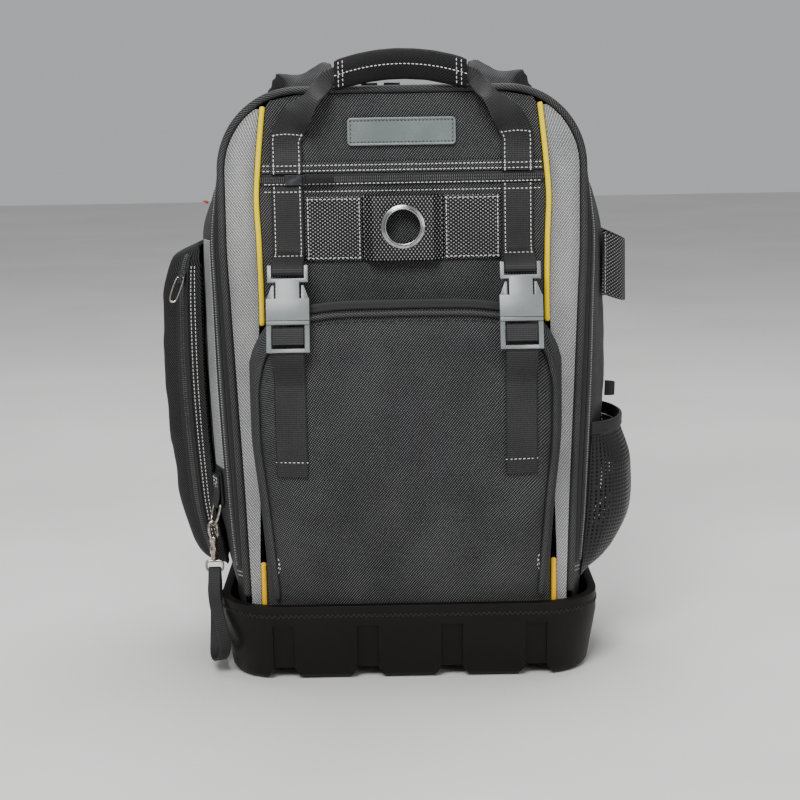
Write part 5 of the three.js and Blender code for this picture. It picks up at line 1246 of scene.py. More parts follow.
class Repeat:
    """A Geometry Nodes tree that sets small rounded bodies along lines: stitches and zip teeth."""

    NAMES = ("Pitch", "Length", "Width", "Height", "Material")

    def __init__(self) -> None:
        """Builds the tree once."""
        self.tree = bpy.data.node_groups.new("repeat_along_lines", "GeometryNodeTree")
        face = self.tree.interface
        face.new_socket("Geometry", in_out="INPUT", socket_type="NodeSocketGeometry")
        for name in self.NAMES[:4]:
            face.new_socket(name, in_out="INPUT", socket_type="NodeSocketFloat")
        face.new_socket("Material", in_out="INPUT", socket_type="NodeSocketMaterial")
        face.new_socket("Geometry", in_out="OUTPUT", socket_type="NodeSocketGeometry")
        new, link = self.tree.nodes.new, self.tree.links.new
        start, end = new("NodeGroupInput"), new("NodeGroupOutput")
        curve, even = new("GeometryNodeMeshToCurve"), new("GeometryNodeResampleCurve")
        even.mode = "LENGTH"
        ball = new("GeometryNodeMeshIcoSphere")
        ball.inputs["Subdivisions"].default_value = 2
        ball.inputs["Radius"].default_value = 0.5
        size = new("ShaderNodeCombineXYZ")
        up = new("GeometryNodeInputNamedAttribute")
        up.data_type = "FLOAT_VECTOR"
        up.inputs["Name"].default_value = "up"
        tangent = new("GeometryNodeInputTangent")
        turn = new("FunctionNodeAxesToRotation")
        turn.primary_axis, turn.secondary_axis = "X", "Z"
        spread, real = new("GeometryNodeInstanceOnPoints"), new("GeometryNodeRealizeInstances")
        gloss, paint = new("GeometryNodeSetShadeSmooth"), new("GeometryNodeSetMaterial")
        link(start.outputs["Geometry"], curve.inputs[0])
        link(curve.outputs[0], even.inputs["Curve"])
        link(start.outputs["Pitch"], even.inputs["Length"])
        link(even.outputs[0], spread.inputs["Points"])
        link(ball.outputs["Mesh"], spread.inputs["Instance"])
        link(tangent.outputs[0], turn.inputs[0])
        link(up.outputs["Attribute"], turn.inputs[1])
        link(turn.outputs[0], spread.inputs["Rotation"])
        for axis, name in zip("XYZ", ("Length", "Width", "Height")):
            link(start.outputs[name], size.inputs[axis])
        link(size.outputs[0], spread.inputs["Scale"])
        link(spread.outputs[0], real.inputs[0])
        link(real.outputs[0], gloss.inputs[0])
        link(gloss.outputs[0], paint.inputs["Geometry"])
        link(start.outputs["Material"], paint.inputs["Material"])
        link(paint.outputs[0], end.inputs[0])

    def along(self, name: str, lines: Iterable[Line], finish: Finish, pitch: float,
              size: Triple) -> bpy.types.Object:
        """Makes one plain mesh of bodies along lines.

        Args:
            name: The object's name.
            lines: Lines of (place, direction out of the surface), in millimetres.
            finish: The bodies' finish.
            pitch: Distance between bodies, in millimetres.
            size: Length, width and height of a body, in millimetres.

        Returns:
            The mesh object.
        """
        points, ups, edges = [], [], []
        for line in lines:
            start = len(points)
            for place, out in line:
                points.append(place * MM)
                ups.append(unit(out))
            edges += [(i, i + 1) for i in range(start, len(points) - 1)]
        mesh = bpy.data.meshes.new(name + "_lines")
        mesh.from_pydata(points, edges, [])
        mesh.attributes.new("up", "FLOAT_VECTOR", "POINT").data.foreach_set(
            "vector", np.array(ups, np.float32).ravel())
        source = added(name + "_lines", mesh)
        modifier = source.modifiers.new("repeat", "NODES")
        modifier.node_group = self.tree
        values = dict(zip(self.NAMES, (pitch * MM, *(s * MM for s in size), material_of(finish))))
        for item in self.tree.interface.items_tree:
            if item.in_out == "INPUT" and item.name in values:
                modifier[item.identifier] = values[item.name]
        final = baked(source)
        bpy.data.objects.remove(source)
        return added(name, final)


def merged(name: str, *objs: bpy.types.Object) -> bpy.types.Object:
    """Several objects as one, with their finishes kept.

    Args:
        name: Its name.

    Returns:
        The one object.
    """
    with bpy.context.temp_override(active_object=objs[0], selected_editable_objects=list(objs)):
        bpy.ops.object.join()
    objs[0].name = name
    return objs[0]


REPEAT = Repeat()
STITCH, STITCH_PITCH = (2.3, 0.75, 0.55), 3.3


def stitched(name: str, lines: Iterable[Line], finish: Finish | None = None, pitch: float = STITCH_PITCH,
             size: Triple = STITCH) -> None:
    """Sews along lines, with the light thread unless another finish is given."""
    put(REPEAT.along(name, lines, finish or THREAD, pitch, size), None)


def sewn(surface: Surface, stops: Spots, rise: float) -> Line:
    """A line on a surface: its places and the way out of it."""
    return [(surface(u, v, rise), surface(u, v, rise + 1.0) - surface(u, v, rise)) for u, v in stops]


def straight(a: tuple[float, float], b: tuple[float, float], steps: int = 8) -> list[tuple[float, float]]:
    """Stops on a straight line between two places of a surface."""
    return [(lerp(a[0], b[0], t), lerp(a[1], b[1], t)) for t in spaced(0, 1, steps)]


def boxed(x0: float, x1: float, z0: float, z1: float) -> list[list[tuple[float, float]]]:
    """The four sides of a box of stitches."""
    corners = [(x0, z0), (x1, z0), (x1, z1), (x0, z1)]
    return [straight(corners[i], corners[(i + 1) % 4]) for i in range(4)]


# ---------------------------------------------------------------- surfaces


def height_share(z: float) -> float:
    """Height share of the body above the tray's rim."""
    return (z - TRAY_HEIGHT) / (BODY_TOP - TRAY_HEIGHT)


def front_half(z: float) -> float:
    """Half width of the front at a height."""
    return FRONT_HALF * BODY_ROWS.at("front", height_share(z))


def yellow_x(z: float) -> float:
    """Distance of the yellow pipings from the middle at a height."""
    return PANEL_HALF * BODY_ROWS.at("panel", height_share(z))


def front_y(x: float, z: float) -> float:
    """Depth of the body's front.

    Args:
        x: Place across.
        z: Height.

    Returns:
        The depth.
    """
    half = front_half(z)
    start = half - BODY_CORNER
    drop = GORE_DROP * (max(0.0, abs(x) - start) / (half - start)) ** 2
    flare = BASE_FLARE * BODY_ROWS.at("flare", height_share(z))
    return FRONT_TOP_Y - flare - CROWN * (1 - (x / FRONT_HALF) ** 2) + drop


def front_point(x: float, z: float, rise: float = 0.0) -> Point:
    """A point of the front at a height above it."""
    return vec(x, front_y(x, z) - rise, z)


def lie_across(face: Surface, x: float, z: float) -> Point:
    """Direction of the width of webbing that lies on a face."""
    return unit(face(x + 1, z, 0.0) - face(x - 1, z, 0.0))


SIDE_RUN = BODY_TOP - BODY_CORNER - TRAY_HEIGHT
CORNER_RUN = math.pi / 2 * BODY_CORNER
TOP_RUN = FRONT_HALF - BODY_CORNER
HALF_RUN = SIDE_RUN + CORNER_RUN + TOP_RUN
BEND_Z = BODY_TOP - BODY_CORNER
SHARE_LENGTH = math.hypot(BACK_Y - FRONT_TOP_Y, BULGE)
FRONT_INSET, YELLOW_INSET = PIPING_R + SEAM, YELLOW_R + SEAM
BINDING_START = FRONT_INSET / SHARE_LENGTH
ZIP_START = BINDING_START + BINDING_W / SHARE_LENGTH
ZIP_STOP = ZIP_START + (SEAM + ZIP_W) / SHARE_LENGTH


def gusset_half(z: float, share: float) -> float:
    """Half width of the gusset at a height and a share of the way back.

    Args:
        z: Height.
        share: Share of the way back.

    Returns:
        The half width.
    """
    swell = math.sin(math.pi * clamp(share, 0, 1)) ** 0.8
    back = BACK_HALF * BODY_ROWS.at("back", height_share(z))
    return lerp(front_half(z), back, share) + BULGE * BODY_ROWS.at("bulge", height_share(z)) * swell


def gusset_place(along: float, share: float) -> Point:
    """A point of the gusset, by its place along the outline and its share of the way back.

    Args:
        along: Place along the outline.
        share: Share of the way back.

    Returns:
        The point.
    """
    side = -1 if along < 0 else 1
    run = HALF_RUN - abs(along)
    if run <= SIDE_RUN:
        z = TRAY_HEIGHT + run
        x = gusset_half(z, share)
    else:
        reach = gusset_half(BEND_Z, share) - BODY_CORNER
        if run <= SIDE_RUN + CORNER_RUN:
            angle = (run - SIDE_RUN) / BODY_CORNER
            z = BEND_Z + BODY_CORNER * math.sin(angle)
            x = reach + BODY_CORNER * math.cos(angle)
        else:
            z = BODY_TOP
            x = reach * (1 - (run - SIDE_RUN - CORNER_RUN) / TOP_RUN)
    y = lerp(front_y(min(x, front_half(z)), z), BACK_Y, share)
    return vec(side * x, y, z)


def gusset(along: float, share: float, rise: float = 0.0) -> Point:
    """A point of the gusset raised above it.

    Args:
        along: Place along the outline.
        share: Share of the way back.
        rise: Height above it.

    Returns:
        The point.
    """
    here = gusset_place(along, share)
    if rise == 0:
        return here
    by_run = gusset_place(along + 0.5, share) - gusset_place(along - 0.5, share)
    by_share = gusset_place(along, share + 0.01) - gusset_place(along, share - 0.01)
    normal = unit(np.cross(by_run, by_share))
    if float(np.dot(normal, vec(here[0], 0, 3 * max(0.0, here[2] - BEND_Z)))) < 0:
        normal = -normal
    return here + normal * rise


def along_at(sign: int, z: float) -> float:
    """Place along the outline of a height on one side."""
    return sign * (HALF_RUN - (z - TRAY_HEIGHT))


def gusset_share(length: float) -> float:
    """Share of the way back that a length takes."""
    return length / SHARE_LENGTH


def outline(from_z: float, step: float) -> list[float]:
    """Even places along the outline from a height on the left over the top to the same on the right.

    Args:
        from_z: Height of both ends.
        step: Distance between places.

    Returns:
        The places.
    """
    low = abs(along_at(1, from_z))
    half = spaced(low, 0, round(low / step))
    return [-a for a in half] + half[:-1][::-1]


def front_outline_x(z: float, inset: float) -> float:
    """Half width of the front's outline at a height, moved in by an inset.

    Args:
        z: Height.
        inset: How far it is moved in.

    Returns:
        The half width.
    """
    if z <= BEND_Z:
        return front_half(z) - inset
    return FRONT_HALF - BODY_CORNER + math.sqrt(max(0.0, (BODY_CORNER - inset) ** 2 - (z - BEND_Z) ** 2))


def back_outline_x(z: float) -> float:
    """Half width of the back's outline at a height.

    Args:
        z: Height.

    Returns:
        The half width.
    """
    if z <= BEND_Z:
        return gusset_half(z, 1)
    reach = gusset_half(BEND_Z, 1) - BODY_CORNER
    return reach + math.sqrt(max(0.0, BODY_CORNER ** 2 - (z - BEND_Z) ** 2))


POCKET_FOOT = TRAY_HEIGHT - TUCK
PROBE = 0.002


def lifted(point: Surface, u: float, v: float, rise: float, facing: Point) -> Point:
    """Moves a point out of a surface along its normal.

    Args:
        point: The surface.
        u: Share across.
        v: Share up.
        rise: How far it moves, in millimetres.
        facing: A direction on the outer side.

    Returns:
        The moved point.
    """
    here = point(u, v)
    if rise == 0:
        return here
    by_u = point(u + PROBE, v) - point(u - PROBE, v)
    by_v = point(u, v + PROBE) - point(u, v - PROBE)
    normal = unit(np.cross(by_u, by_v))
    return here + normal * (-rise if float(np.dot(normal, facing)) < 0 else rise)


def pocket_row(column: str, z: float) -> float:
    """Reads the front pocket's table by height."""
    return POCKET_ROWS.at(column, (z - TRAY_HEIGHT) / (POCKET_TOP - TRAY_HEIGHT))


def pocket_seam(z: float) -> float:
    """Half width of the front pocket's seam at a height."""
    return POCKET_HALF * pocket_row("width", z)


def pocket_top(u: float) -> float:
    """Height of the front pocket's top edge at a share across."""
    return TRAY_HEIGHT + (POCKET_TOP - TRAY_HEIGHT) * POCKET_COLUMNS.at("top", abs(u))


def pocket_closing(u: float) -> float:
    """Share by which the pocket's wall closes onto the body beside its mouth."""
    start = MOUTH_HALF / POCKET_HALF
    return smooth(abs(u), start, start + 0.11)


def pocket_rise(u: float, z: float, v: float) -> float:
    """How far the pocket's outside stands off the body.

    Args:
        u: Share across.
        z: Height.
        v: Share up.

    Returns:
        The distance.
    """
    bulge = pocket_row("depth", z) * POCKET_COLUMNS.at("depth", abs(u))
    roll = 1.0 if v < 0.93 else math.sqrt(max(0.0, 1 - ((v - 0.93) / 0.07) ** 2))
    return WALL + (POCKET_D - WALL) * bulge * (1 - pocket_closing(u) * (1 - roll))


def pocket_point(u: float, v: float, rise: float = 0.0) -> Point:
    """A point of the front pocket's outside.

    Args:
        u: Share across.
        v: Share up.
        rise: Height above it.

    Returns:
        The point.
    """
    z = lerp(POCKET_FOOT, pocket_top(u), v)
    x = u * pocket_seam(z)
    return vec(x, front_y(x, z) - SEAT - pocket_rise(u, z, v) - rise, z)


def pocket_surface(u: float, v: float, rise: float = 0.0) -> Point:
    """A point above the front pocket along its outward normal."""
    return lifted(pocket_point, u, v, rise, vec(0, -1, 0.1))


def pocket_face(x: float, z: float, rise: float = 0.0) -> Point:
    """The pocket's outside by real coordinates, for what crosses its middle.

    Args:
        x: Place across.
        z: Height.
        rise: Height above it.

    Returns:
        The point.
    """
    u = clamp(x / pocket_seam(z), -1, 1)
    v = clamp((z - POCKET_FOOT) / (pocket_top(u) - POCKET_FOOT), 0, 0.93)
    return vec(x, front_y(x, z) - SEAT - pocket_rise(u, z, v) - rise, z)


def side_pocket_point(u: float, v: float) -> Point:
    """A point of the left side pocket's outside.

    Args:
        u: Share across.
        v: Share up.

    Returns:
        The point.
    """
    bulge = SIDE_ACROSS.at("rise", u) * SIDE_UP.at("rise", v)
    share = lerp(SIDE_FRONT, SIDE_BACK, u)
    return gusset(along_at(-1, lerp(SIDE_LOW, SIDE_HIGH, v)), share, LAID + WALL + (SIDE_D - WALL) * bulge)


def side_pocket_surface(u: float, v: float, rise: float = 0.0) -> Point:
    """A point above the left side pocket along its outward normal."""
    return lifted(side_pocket_point, u, v, rise, vec(-1, -0.35, 0))


def dent(x: float, y: float, z: float, depth: float, scale: float, stretch: float = 1.0) -> float:
    """An inward dent of slack cloth at a place: never outward, so that what lies on it stays clear.

    Args:
        x: Place across.
        y: Place in depth.
        z: Height.
        depth: Greatest depth.
        scale: Scale of the folds.
        stretch: Stretch of the folds.

    Returns:
        The dent.
    """
    broad = ripple(x, y, z / stretch, scale)
    fine = ripple(x + 31, y, z / stretch + 17, scale * 0.42)
    return -depth * clamp(0.5 + 0.62 * broad + 0.25 * fine, 0.0, 1.0)


# ---------------------------------------------------------------- pieces


@dataclass
class Base:
    """The moulded tray, with its sewn rim.

    Args:
        bevel: Width of its broken edges.
        stitch_z: Height of the zigzag seam.
        swing: Height of a zigzag.
        tooth: Length of a zigzag.
    """

    bevel: float = 1.4
    stitch_z: float = 58.5
    swing: float = 2.6
    tooth: float = 4.4

    def build(self) -> None:
        """Dresses the tray and lays its seam."""
        dress("base_tray", RUBBER, Slot.TRAY, self.bevel, angle=28)
        stitched("tray_seam", [self.zigzag()], DARK_THREAD, 1.5, (2.0, 0.9, 0.8))

    def zigzag(self) -> Line:
        """The seam's line round the tray's rim.

        Returns:
            Places and ways out along the seam.
        """
        straight_x, front, back = TRAY_HALF - TRAY_CORNER, TRAY_FRONT + TRAY_CORNER, TRAY_BACK - TRAY_CORNER
        quarter = math.pi / 2 * TRAY_CORNER
        runs = [2 * straight_x, quarter, back - front, quarter, 2 * straight_x, quarter, back - front, quarter]
        line, total, count = [], sum(runs), 0
        for at in np.arange(0, total, self.tooth / 2):
            place, run = at, 0
            while place > runs[run]:
                place -= runs[run]
                run += 1
            side, turn = run // 2, run % 2
            angle = -math.pi / 2 + side * math.pi / 2 + (place / TRAY_CORNER if turn else 0)
            corners = [(straight_x, front), (straight_x, back), (-straight_x, back), (-straight_x, front)]
            cx, cy = corners[side] if turn else corners[side - 1]
            out = vec(math.cos(angle), math.sin(angle), 0)
            ahead = vec(-math.sin(angle), math.cos(angle), 0)
            centre = vec(cx, cy, self.stitch_z + (self.swing / 2 if count % 2 else -self.swing / 2))
            line.append((centre + out * (TRAY_CORNER + 0.1) + ahead * (0 if turn else place), out))
            count += 1
        return line


@dataclass
class Body:
    """The cloth body: front panel, gores, gusset and corner patches.

    Args:
        step: Grid step.
        slack: Depth of the gusset's dents.
    """

    step: float = 5.0
    slack: float = 3.2

    def build(self) -> None:
        """Makes all cloth faces of the body."""
        self.front()
        self.gores()
        self.sides()

    def front(self) -> None:
        """The centre panel, slightly dented between its trims."""
        def edge(z: float) -> float:
            """Half width of the panel."""
            return min(yellow_x(z) - YELLOW_INSET, front_outline_x(z, FRONT_INSET))

        def panel(u: float, z: float, rise: float = 0.0) -> Point:
            """A point of the panel."""
            return front_point(u * edge(z), z, rise)

        rows = spaced(TRAY_HEIGHT - TUCK, BODY_TOP - FRONT_INSET, 96)
        form = slab_on(panel, spaced(-1, 1, 52), rows, lambda u, z: -WALL - 0.9,
                       lambda u, z: dent(u * 121, 0, z, 0.9, 46, 0.8) * smooth(1 - abs(u), 0.0, 0.1))
        piece(form, "front_panel_cloth", TWILL, Slot.TWILL, "front_panel")

    def gores(self) -> None:
        """The silver-grey gores, pulled in between the pipings."""
        def width(z: float) -> float:
            """Width of a gore."""
            return front_outline_x(z, FRONT_INSET) - (yellow_x(z) + YELLOW_INSET)

        tip = BODY_TOP - FRONT_INSET
        while width(tip) < WALL:
            tip -= 1
        for name, sign in (("left", -1), ("right", 1)):
            def gore(u: float, z: float, rise: float = 0.0) -> Point:
                """A point of the gore."""
                return front_point(sign * (yellow_x(z) + YELLOW_INSET + u * width(z)), z, rise)

            def sink(u: float, z: float) -> float:
                """How far the gore is pulled in."""
                return (dent(sign * 130 + 20 * u, 5, z, 1.5, 34, 1.6) - 0.5) * math.sin(math.pi * u)

            form = slab_on(gore, spaced(0, 1, 12), spaced(TRAY_HEIGHT - TUCK, tip, 90), lambda u, z: -WALL - 1.2, sink)
            piece(form, f"front_gore_{name}_cloth", GREY, Slot.GREY, f"front_gore_{name}")

    def sides(self) -> None:
        """The gusset with its slack folds, and the patches under the main zip's ends."""
        low = TRAY_HEIGHT - TUCK
        start = ZIP_STOP + gusset_share(SEAM)

        def sag(along: float, share: float) -> float:
            """How far the gusset hangs in.

            Args:
                along: Place along.
                share: Share of the way back.

            Returns:
                The distance.
            """
            place = gusset_place(along, share)
            held = smooth(place[2], TRAY_HEIGHT, TRAY_HEIGHT + 25) * smooth(share, start, start + 0.12)
            held *= smooth(1 - share, 0.0, 0.12)
            return dent(place[0] * 0.4, place[1], place[2], self.slack, 58, 0.75) * held

        stops = outline(low, self.step)
        shares = spaced(start, 1, 26)
        sags = {(a, s): sag(a, s) for a in stops for s in shares}
        form = slab_on(gusset, stops, shares, lambda a, s: sags[a, s] - WALL, lambda a, s: sags[a, s])
        piece(form, "body_gusset_cloth", TWILL, Slot.TWILL, "body_gusset")
        arcs = []
        for name, sign in (("left", -1), ("right", 1)):
            rows = spaced(along_at(sign, low), along_at(sign, ZIP_END - SEAM), 12)
            form = slab_on(gusset, rows, spaced(BINDING_START, ZIP_STOP, 6), -WALL, 0.0)
            piece(form, f"corner_patch_{name}_cloth", TWILL, Slot.TWILL, f"corner_patch_{name}")
            for z in (86, 89.5):
                arcs.append(sewn(gusset, straight((along_at(sign, z), BINDING_START + 0.02),
                                                  (along_at(sign, z - 2), ZIP_STOP - 0.01), 6), 0.1))
        stitched("patch_stitching", arcs)


def zip_form(surface: Surface, line: Spots, across: Callable[[float], tuple[float, float]],
             width: float) -> Form:
    """A zip's tapes along a line of a surface.

    Args:
        surface: The surface it lies on.
        line: Places of the zip's middle.
        across: Gives a length across as a change of place on the surface.
        width: Width of both tapes.

    Returns:
        The tapes.
    """
    marks = [-0.5, -0.44, -0.25, -0.12, -0.03, 0.03, 0.12, 0.25, 0.44, 0.5]
    def at(k: float, n: float, rise: float = 0.0) -> Point:
        """A point across and along the zip.

        Args:
            k: Number of the mark.
            n: Number of the place.
            rise: Height above it.

        Returns:
            The point.
        """
        u, v = line[int(n)]
        du, dv = across(marks[int(k)] * width)
        return surface(u + du, v + dv, rise)
    def level(k: float, n: float) -> float:
        """Height of the tape at a mark."""
        mark = abs(marks[int(k)])
        return 0.55 if mark > 0.47 else 0.85 if mark > 0.2 else 0.6
    return slab_on(at, list(range(len(marks))), list(range(len(line))), -0.2, level)


def coils(surface: Surface, line: Spots, across: Callable[[float], tuple[float, float]],
          rise: float, name: str, width: float = COIL_W, pitch: float = 1.75) -> bpy.types.Object:
    """The two rows of a zip's coil.

    Args:
        surface: The surface it lies on.
        line: Places of its middle.
        across: Gives a length across on the surface.
        rise: Height above it.
        name: The object's name.
        width: Its width.
        pitch: Distance between teeth.

    Returns:
        The coil's object.
    """
    rows = []
    for side in (-1, 1):
        du, dv = across(side * width * 0.24)
        rows.append(sewn(surface, [(u + du, v + dv) for u, v in line], rise))
    return REPEAT.along(name, rows, TEETH, pitch, (1.15, width * 0.56, 1.5))


@dataclass
class MainZip:
    """Pipings, binding and zip along the body's front edge."""

    step: float = 5.0

    def build(self) -> None:
        """Makes the pipings, the binding, the zip and its sliders."""
        stops = outline(ZIP_END, self.step)
        form = slab_on(gusset, stops, spaced(BINDING_START, ZIP_START, 6), -WALL,
                       lambda a, s: PIPING_R / 2 * math.sin(
                           math.pi * (s - BINDING_START) / (ZIP_START - BINDING_START)) ** 0.7)
        piece(form, "main_zip_binding_cloth", TRIM, Slot.TRIM, "main_zip_binding")
        start = ZIP_START + gusset_share(SEAM)
        middle = (start + ZIP_STOP) / 2
        line = [(a, middle) for a in stops]
        def across(length: float) -> tuple[float, float]:
            """A length across as a share."""
            return 0.0, gusset_share(length)
        tape = zip_form(gusset, line, across, ZIP_W - 0.1)
        tapes = tape.made("main_zip_tapes", TRIM)
        # A row of light grey bodies along the coil's top: painted highlight on the black coil.
        crown = REPEAT.along("main_zip_crown", [sewn(gusset, line, 1.3)], GLINT_TEETH, 2.15, (1.1, 1.5, 0.9))
        put(merged("main_zip_sewn", tapes, coils(gusset, line, across, 0.55, "main_zip_coil"), crown), Slot.TRIM,
            "main_zip")
        for side in ("left", "right"):
            dress(f"main_zip_slider_{side}", GUNMETAL, Slot.DARK_METAL, 0.9, angle=20)
        edge = [gusset(a, 0.0) for a in outline(TRAY_HEIGHT + PIPING_R, 4.0)]
        piece(tube(edge, PIPING_R, 14), "main_piping_cord", PIPING, Slot.TRIM, "main_piping", angle=60)
        self.yellow()

    def yellow(self) -> None:
        """The yellow pipings above and below the front pocket's reach."""
        top = BODY_TOP - FRONT_INSET
        while front_outline_x(top, FRONT_INSET) < yellow_x(top) + YELLOW_INSET:
            top -= 1

        def clear(z: float) -> bool:
            """Whether the pocket's seam leaves room."""
            return pocket_seam(z) + SEAM < yellow_x(z) - YELLOW_R

        low_top = TRAY_HEIGHT + TUCK
        while clear(low_top + 1):
            low_top += 1
        def pocket_edge(z: float) -> float:
            """Height of the pocket's edge beside the piping."""
            return pocket_top((yellow_x(z) - YELLOW_R) / pocket_seam(z)) + SEAM

        high_low = POCKET_TOP
        while pocket_edge(high_low - 1) < high_low - 1:
            high_low -= 1
        for name, sign in (("left", -1), ("right", 1)):
            for part, a, b in (("", high_low, top), ("_low", TRAY_HEIGHT - TUCK / 2, low_top)):
                path = [front_point(sign * yellow_x(z), z, YELLOW_R / 3) for z in spaced(a, b, round((b - a) / 4))]
                piece(tube(path, YELLOW_R, 14), f"yellow_piping{part}_{name}_cord", YELLOW, Slot.YELLOW,
                      f"yellow_piping{part}_{name}", angle=60)


@dataclass
class UpperPanel:
    """Badge plate, flap, zip, slider and pull of the upper panel.

    Args:
        badge_x: Half width of the badge.
        badge_z: Half height of the badge.
        badge_middle: Height of its middle.
        badge_corner: Radius of its corners.
    """

    badge_x: float = 44.5
    badge_z: float = 11.25
    badge_middle: float = 461.75
    badge_corner: float = 3.2

    def badge(self) -> None:
        """The bare plate with its raised rim, and the stitches along the rim."""
        def ring(inset: float, rise: float) -> list[Point]:
            """The badge's outline, moved in and raised.

            Args:
                inset: How far it is moved in.
                rise: Height above it.

            Returns:
                The outline's points.
            """
            corner = max(self.badge_corner - inset, 0.4)
            x, z = self.badge_x - inset - corner, self.badge_z - inset - corner
            made = []
            for quarter, (cx, cz) in enumerate(((x, z), (-x, z), (-x, -z), (x, -z))):
                for angle in spaced(quarter * math.pi / 2, (quarter + 1) * math.pi / 2, 5):
                    place = (cx + corner * math.cos(angle), self.badge_middle + cz + corner * math.sin(angle))
                    made.append(front_point(*place, rise))
                if quarter % 2 == 0:
                    ends = spaced(x, -x, 12)[1:-1] if quarter == 0 else spaced(-x, x, 12)[1:-1]
                    level = self.badge_middle + (cz + corner) * 1.0 if quarter == 0 else self.badge_middle + cz - corner
                    made += [front_point(px, level, rise) for px in ends]
            return made

        base, plate, rim = SEAT, SEAT + 1.7, SEAT + 2.6
        steps = [(0, base), (0, rim - 0.5), (0.15, rim - 0.15), (0.5, rim), (1.2, rim), (1.6, rim - 0.2), (1.8, plate),
                 (5.5, plate + 0.25)]
        rings = np.array([ring(*step) for step in steps])
        around = np.linspace(0, 200, rings.shape[1] + 1)
        piece(loft(rings, around, np.arange(len(steps), dtype=float)), "badge_plate_rimmed", BADGE, Slot.BADGE,
              "badge_plate", angle=30)
        x, z = self.badge_x - 2.7, self.badge_z - 2.7
        lines = [sewn(front_point, side, plate + 0.15)
                 for side in boxed(-x, x, self.badge_middle - z, self.badge_middle + z)]
        stitched("badge_stitching", lines, DARK_THREAD, 2.9, (2.0, 0.7, 0.5))

    def build(self) -> None:
        """Makes the upper panel's trims."""
        self.badge()

        def edge(z: float) -> float:
            """Half width of the trims."""
            return yellow_x(z) - YELLOW_INSET - SEAM

        def across(u: float, z: float, rise: float = 0.0) -> Point:
            """A point across the panel."""
            return front_point(u * edge(z), z, rise)

        form = trim_on(across, spaced(-1, 1, 40), spaced(FLAP_EDGE, FLAP_TOP, 4), SEAT, FLAP_T, 0.01, 0.9)
        piece(form, "panel_zip_flap_cloth", TWILL, Slot.TWILL, "panel_zip_flap")
        top = SEAT + FLAP_T
        lines = [sewn(front_point, straight((-a, z), (a, z), 30), rise + 0.05)
                 for a, z, rise in ((114, 434.9, top), (114, 430.6, top), (113, 419.8, SEAT + TAPE), (113, 413.5, 0.0))]
        stitched("panel_stitching", lines)
        line = [(x, ZIP_Z) for x in spaced(-edge(ZIP_Z), edge(ZIP_Z), 60)]
        marks = sorted({*spaced(ZIP_LOW, ZIP_TOP, 8)})
        tape = trim_on(across, spaced(-1, 1, 40), marks, SEAT, TAPE, 0.01, 0.6).made("panel_zip_tapes", TRIM)
        coil = coils(front_point, line, lambda w: (0.0, w), SEAT + TAPE + 0.35, "panel_zip_coil")
        put(merged("panel_zip_sewn", tape, coil), Slot.TRIM, "panel_zip")
        dress("panel_zip_slider", GUNMETAL, Slot.DARK_METAL, 0.45, angle=30)
        dress("panel_zip_pull", BLACK_CORD, Slot.TRIM, 0.4, body="zip_pull", angle=30)


@dataclass
class ToolBand:
    """The heavy webbing band, its raised loop and the eyelet."""

    def build(self) -> None:
        """Makes the band, the loop, the eyelet and the box stitching."""
        for name, sign in (("left", -1), ("right", 1)):
            form = trim_on(front_point, spaced(sign * BAND_IN, sign * BAND_OUT, 10), spaced(BAND_LOW, BAND_TOP, 14),
                           SEAT, BAND_T, 0.9, 0.9)
            piece(form, f"tool_band_{name}_webbing", HEAVY_WEBBING, Slot.WEBBING, f"tool_band_{name}")
        dress("tool_loop", HEAVY_WEBBING, Slot.WEBBING, 0.8, angle=30, lay=lambda p: (p.z, p.x))
        self.eyelet()
        lines = []
        for sign in (-1, 1):
            for x in (BAND_IN + 2.4, BAND_OUT - 2.2):
                lines.append(sewn(front_point, straight((sign * x, BAND_LOW + 2.4), (sign * x, BAND_TOP - 2.4)),
                                  SEAT + BAND_T + 0.05))
            for z in (BAND_LOW + 2.4, BAND_TOP - 2.4):
                lines.append(sewn(front_point, straight((sign * (BAND_IN + 2.4), z), (sign * (BAND_OUT - 2.2), z)),
                                  SEAT + BAND_T + 0.05))
        stitched("band_stitching", lines)

    def eyelet(self) -> None:
        """A finely turned eyelet in the CAD eyelet's place."""
        lean = math.atan2(front_y(0, BAND_TOP) - front_y(0, BAND_LOW), BAND_TOP - BAND_LOW)
        hub = vec(0, front_y(0, 384), 384)
        back, front, neck, outer, hole, bead = 8.5 + SEAT, 8.5 + SEAT + BAND_T, 14.8, 18.0, 13.7, 2.6

        def place(x: float, height: float, z: float) -> Point:
            """A point about the leaning hub."""
            y = -height
            return hub + vec(x, y * math.cos(lean) + z * math.sin(lean), z * math.cos(lean) - y * math.sin(lean))

        base = front + SEAT
        flange = [(outer, base + 0.35), (outer - 0.5, base + 0.75), (outer - 1.3, base + 0.8),
                  (outer - 1.9, base + 0.95)]
        inner = outer - 2.1 - hole
        bow = [(hole + inner / 2 + inner / 2 * math.cos(a), base + 0.9 + (bead - 0.9) * math.sin(a))
               for a in spaced(0.1, math.pi, 10)]
        profile = [(hole, back - SEAT - 1.1), (outer - 1, back - SEAT - 1.1), (outer - 1, back - SEAT),
                   (neck, back - SEAT), (neck, base), (outer - 0.3, base), *flange, *bow]
        piece(lathe(profile, place, 72), "eyelet_ring", POLISHED, Slot.DARK_METAL, "eyelet", angle=50)


def sleeve_z(x: float) -> float:
    """Height of the handle's middle line."""
    return SLEEVE_Z - SLEEVE_DROP * (x / SLEEVE_HALF) ** 2


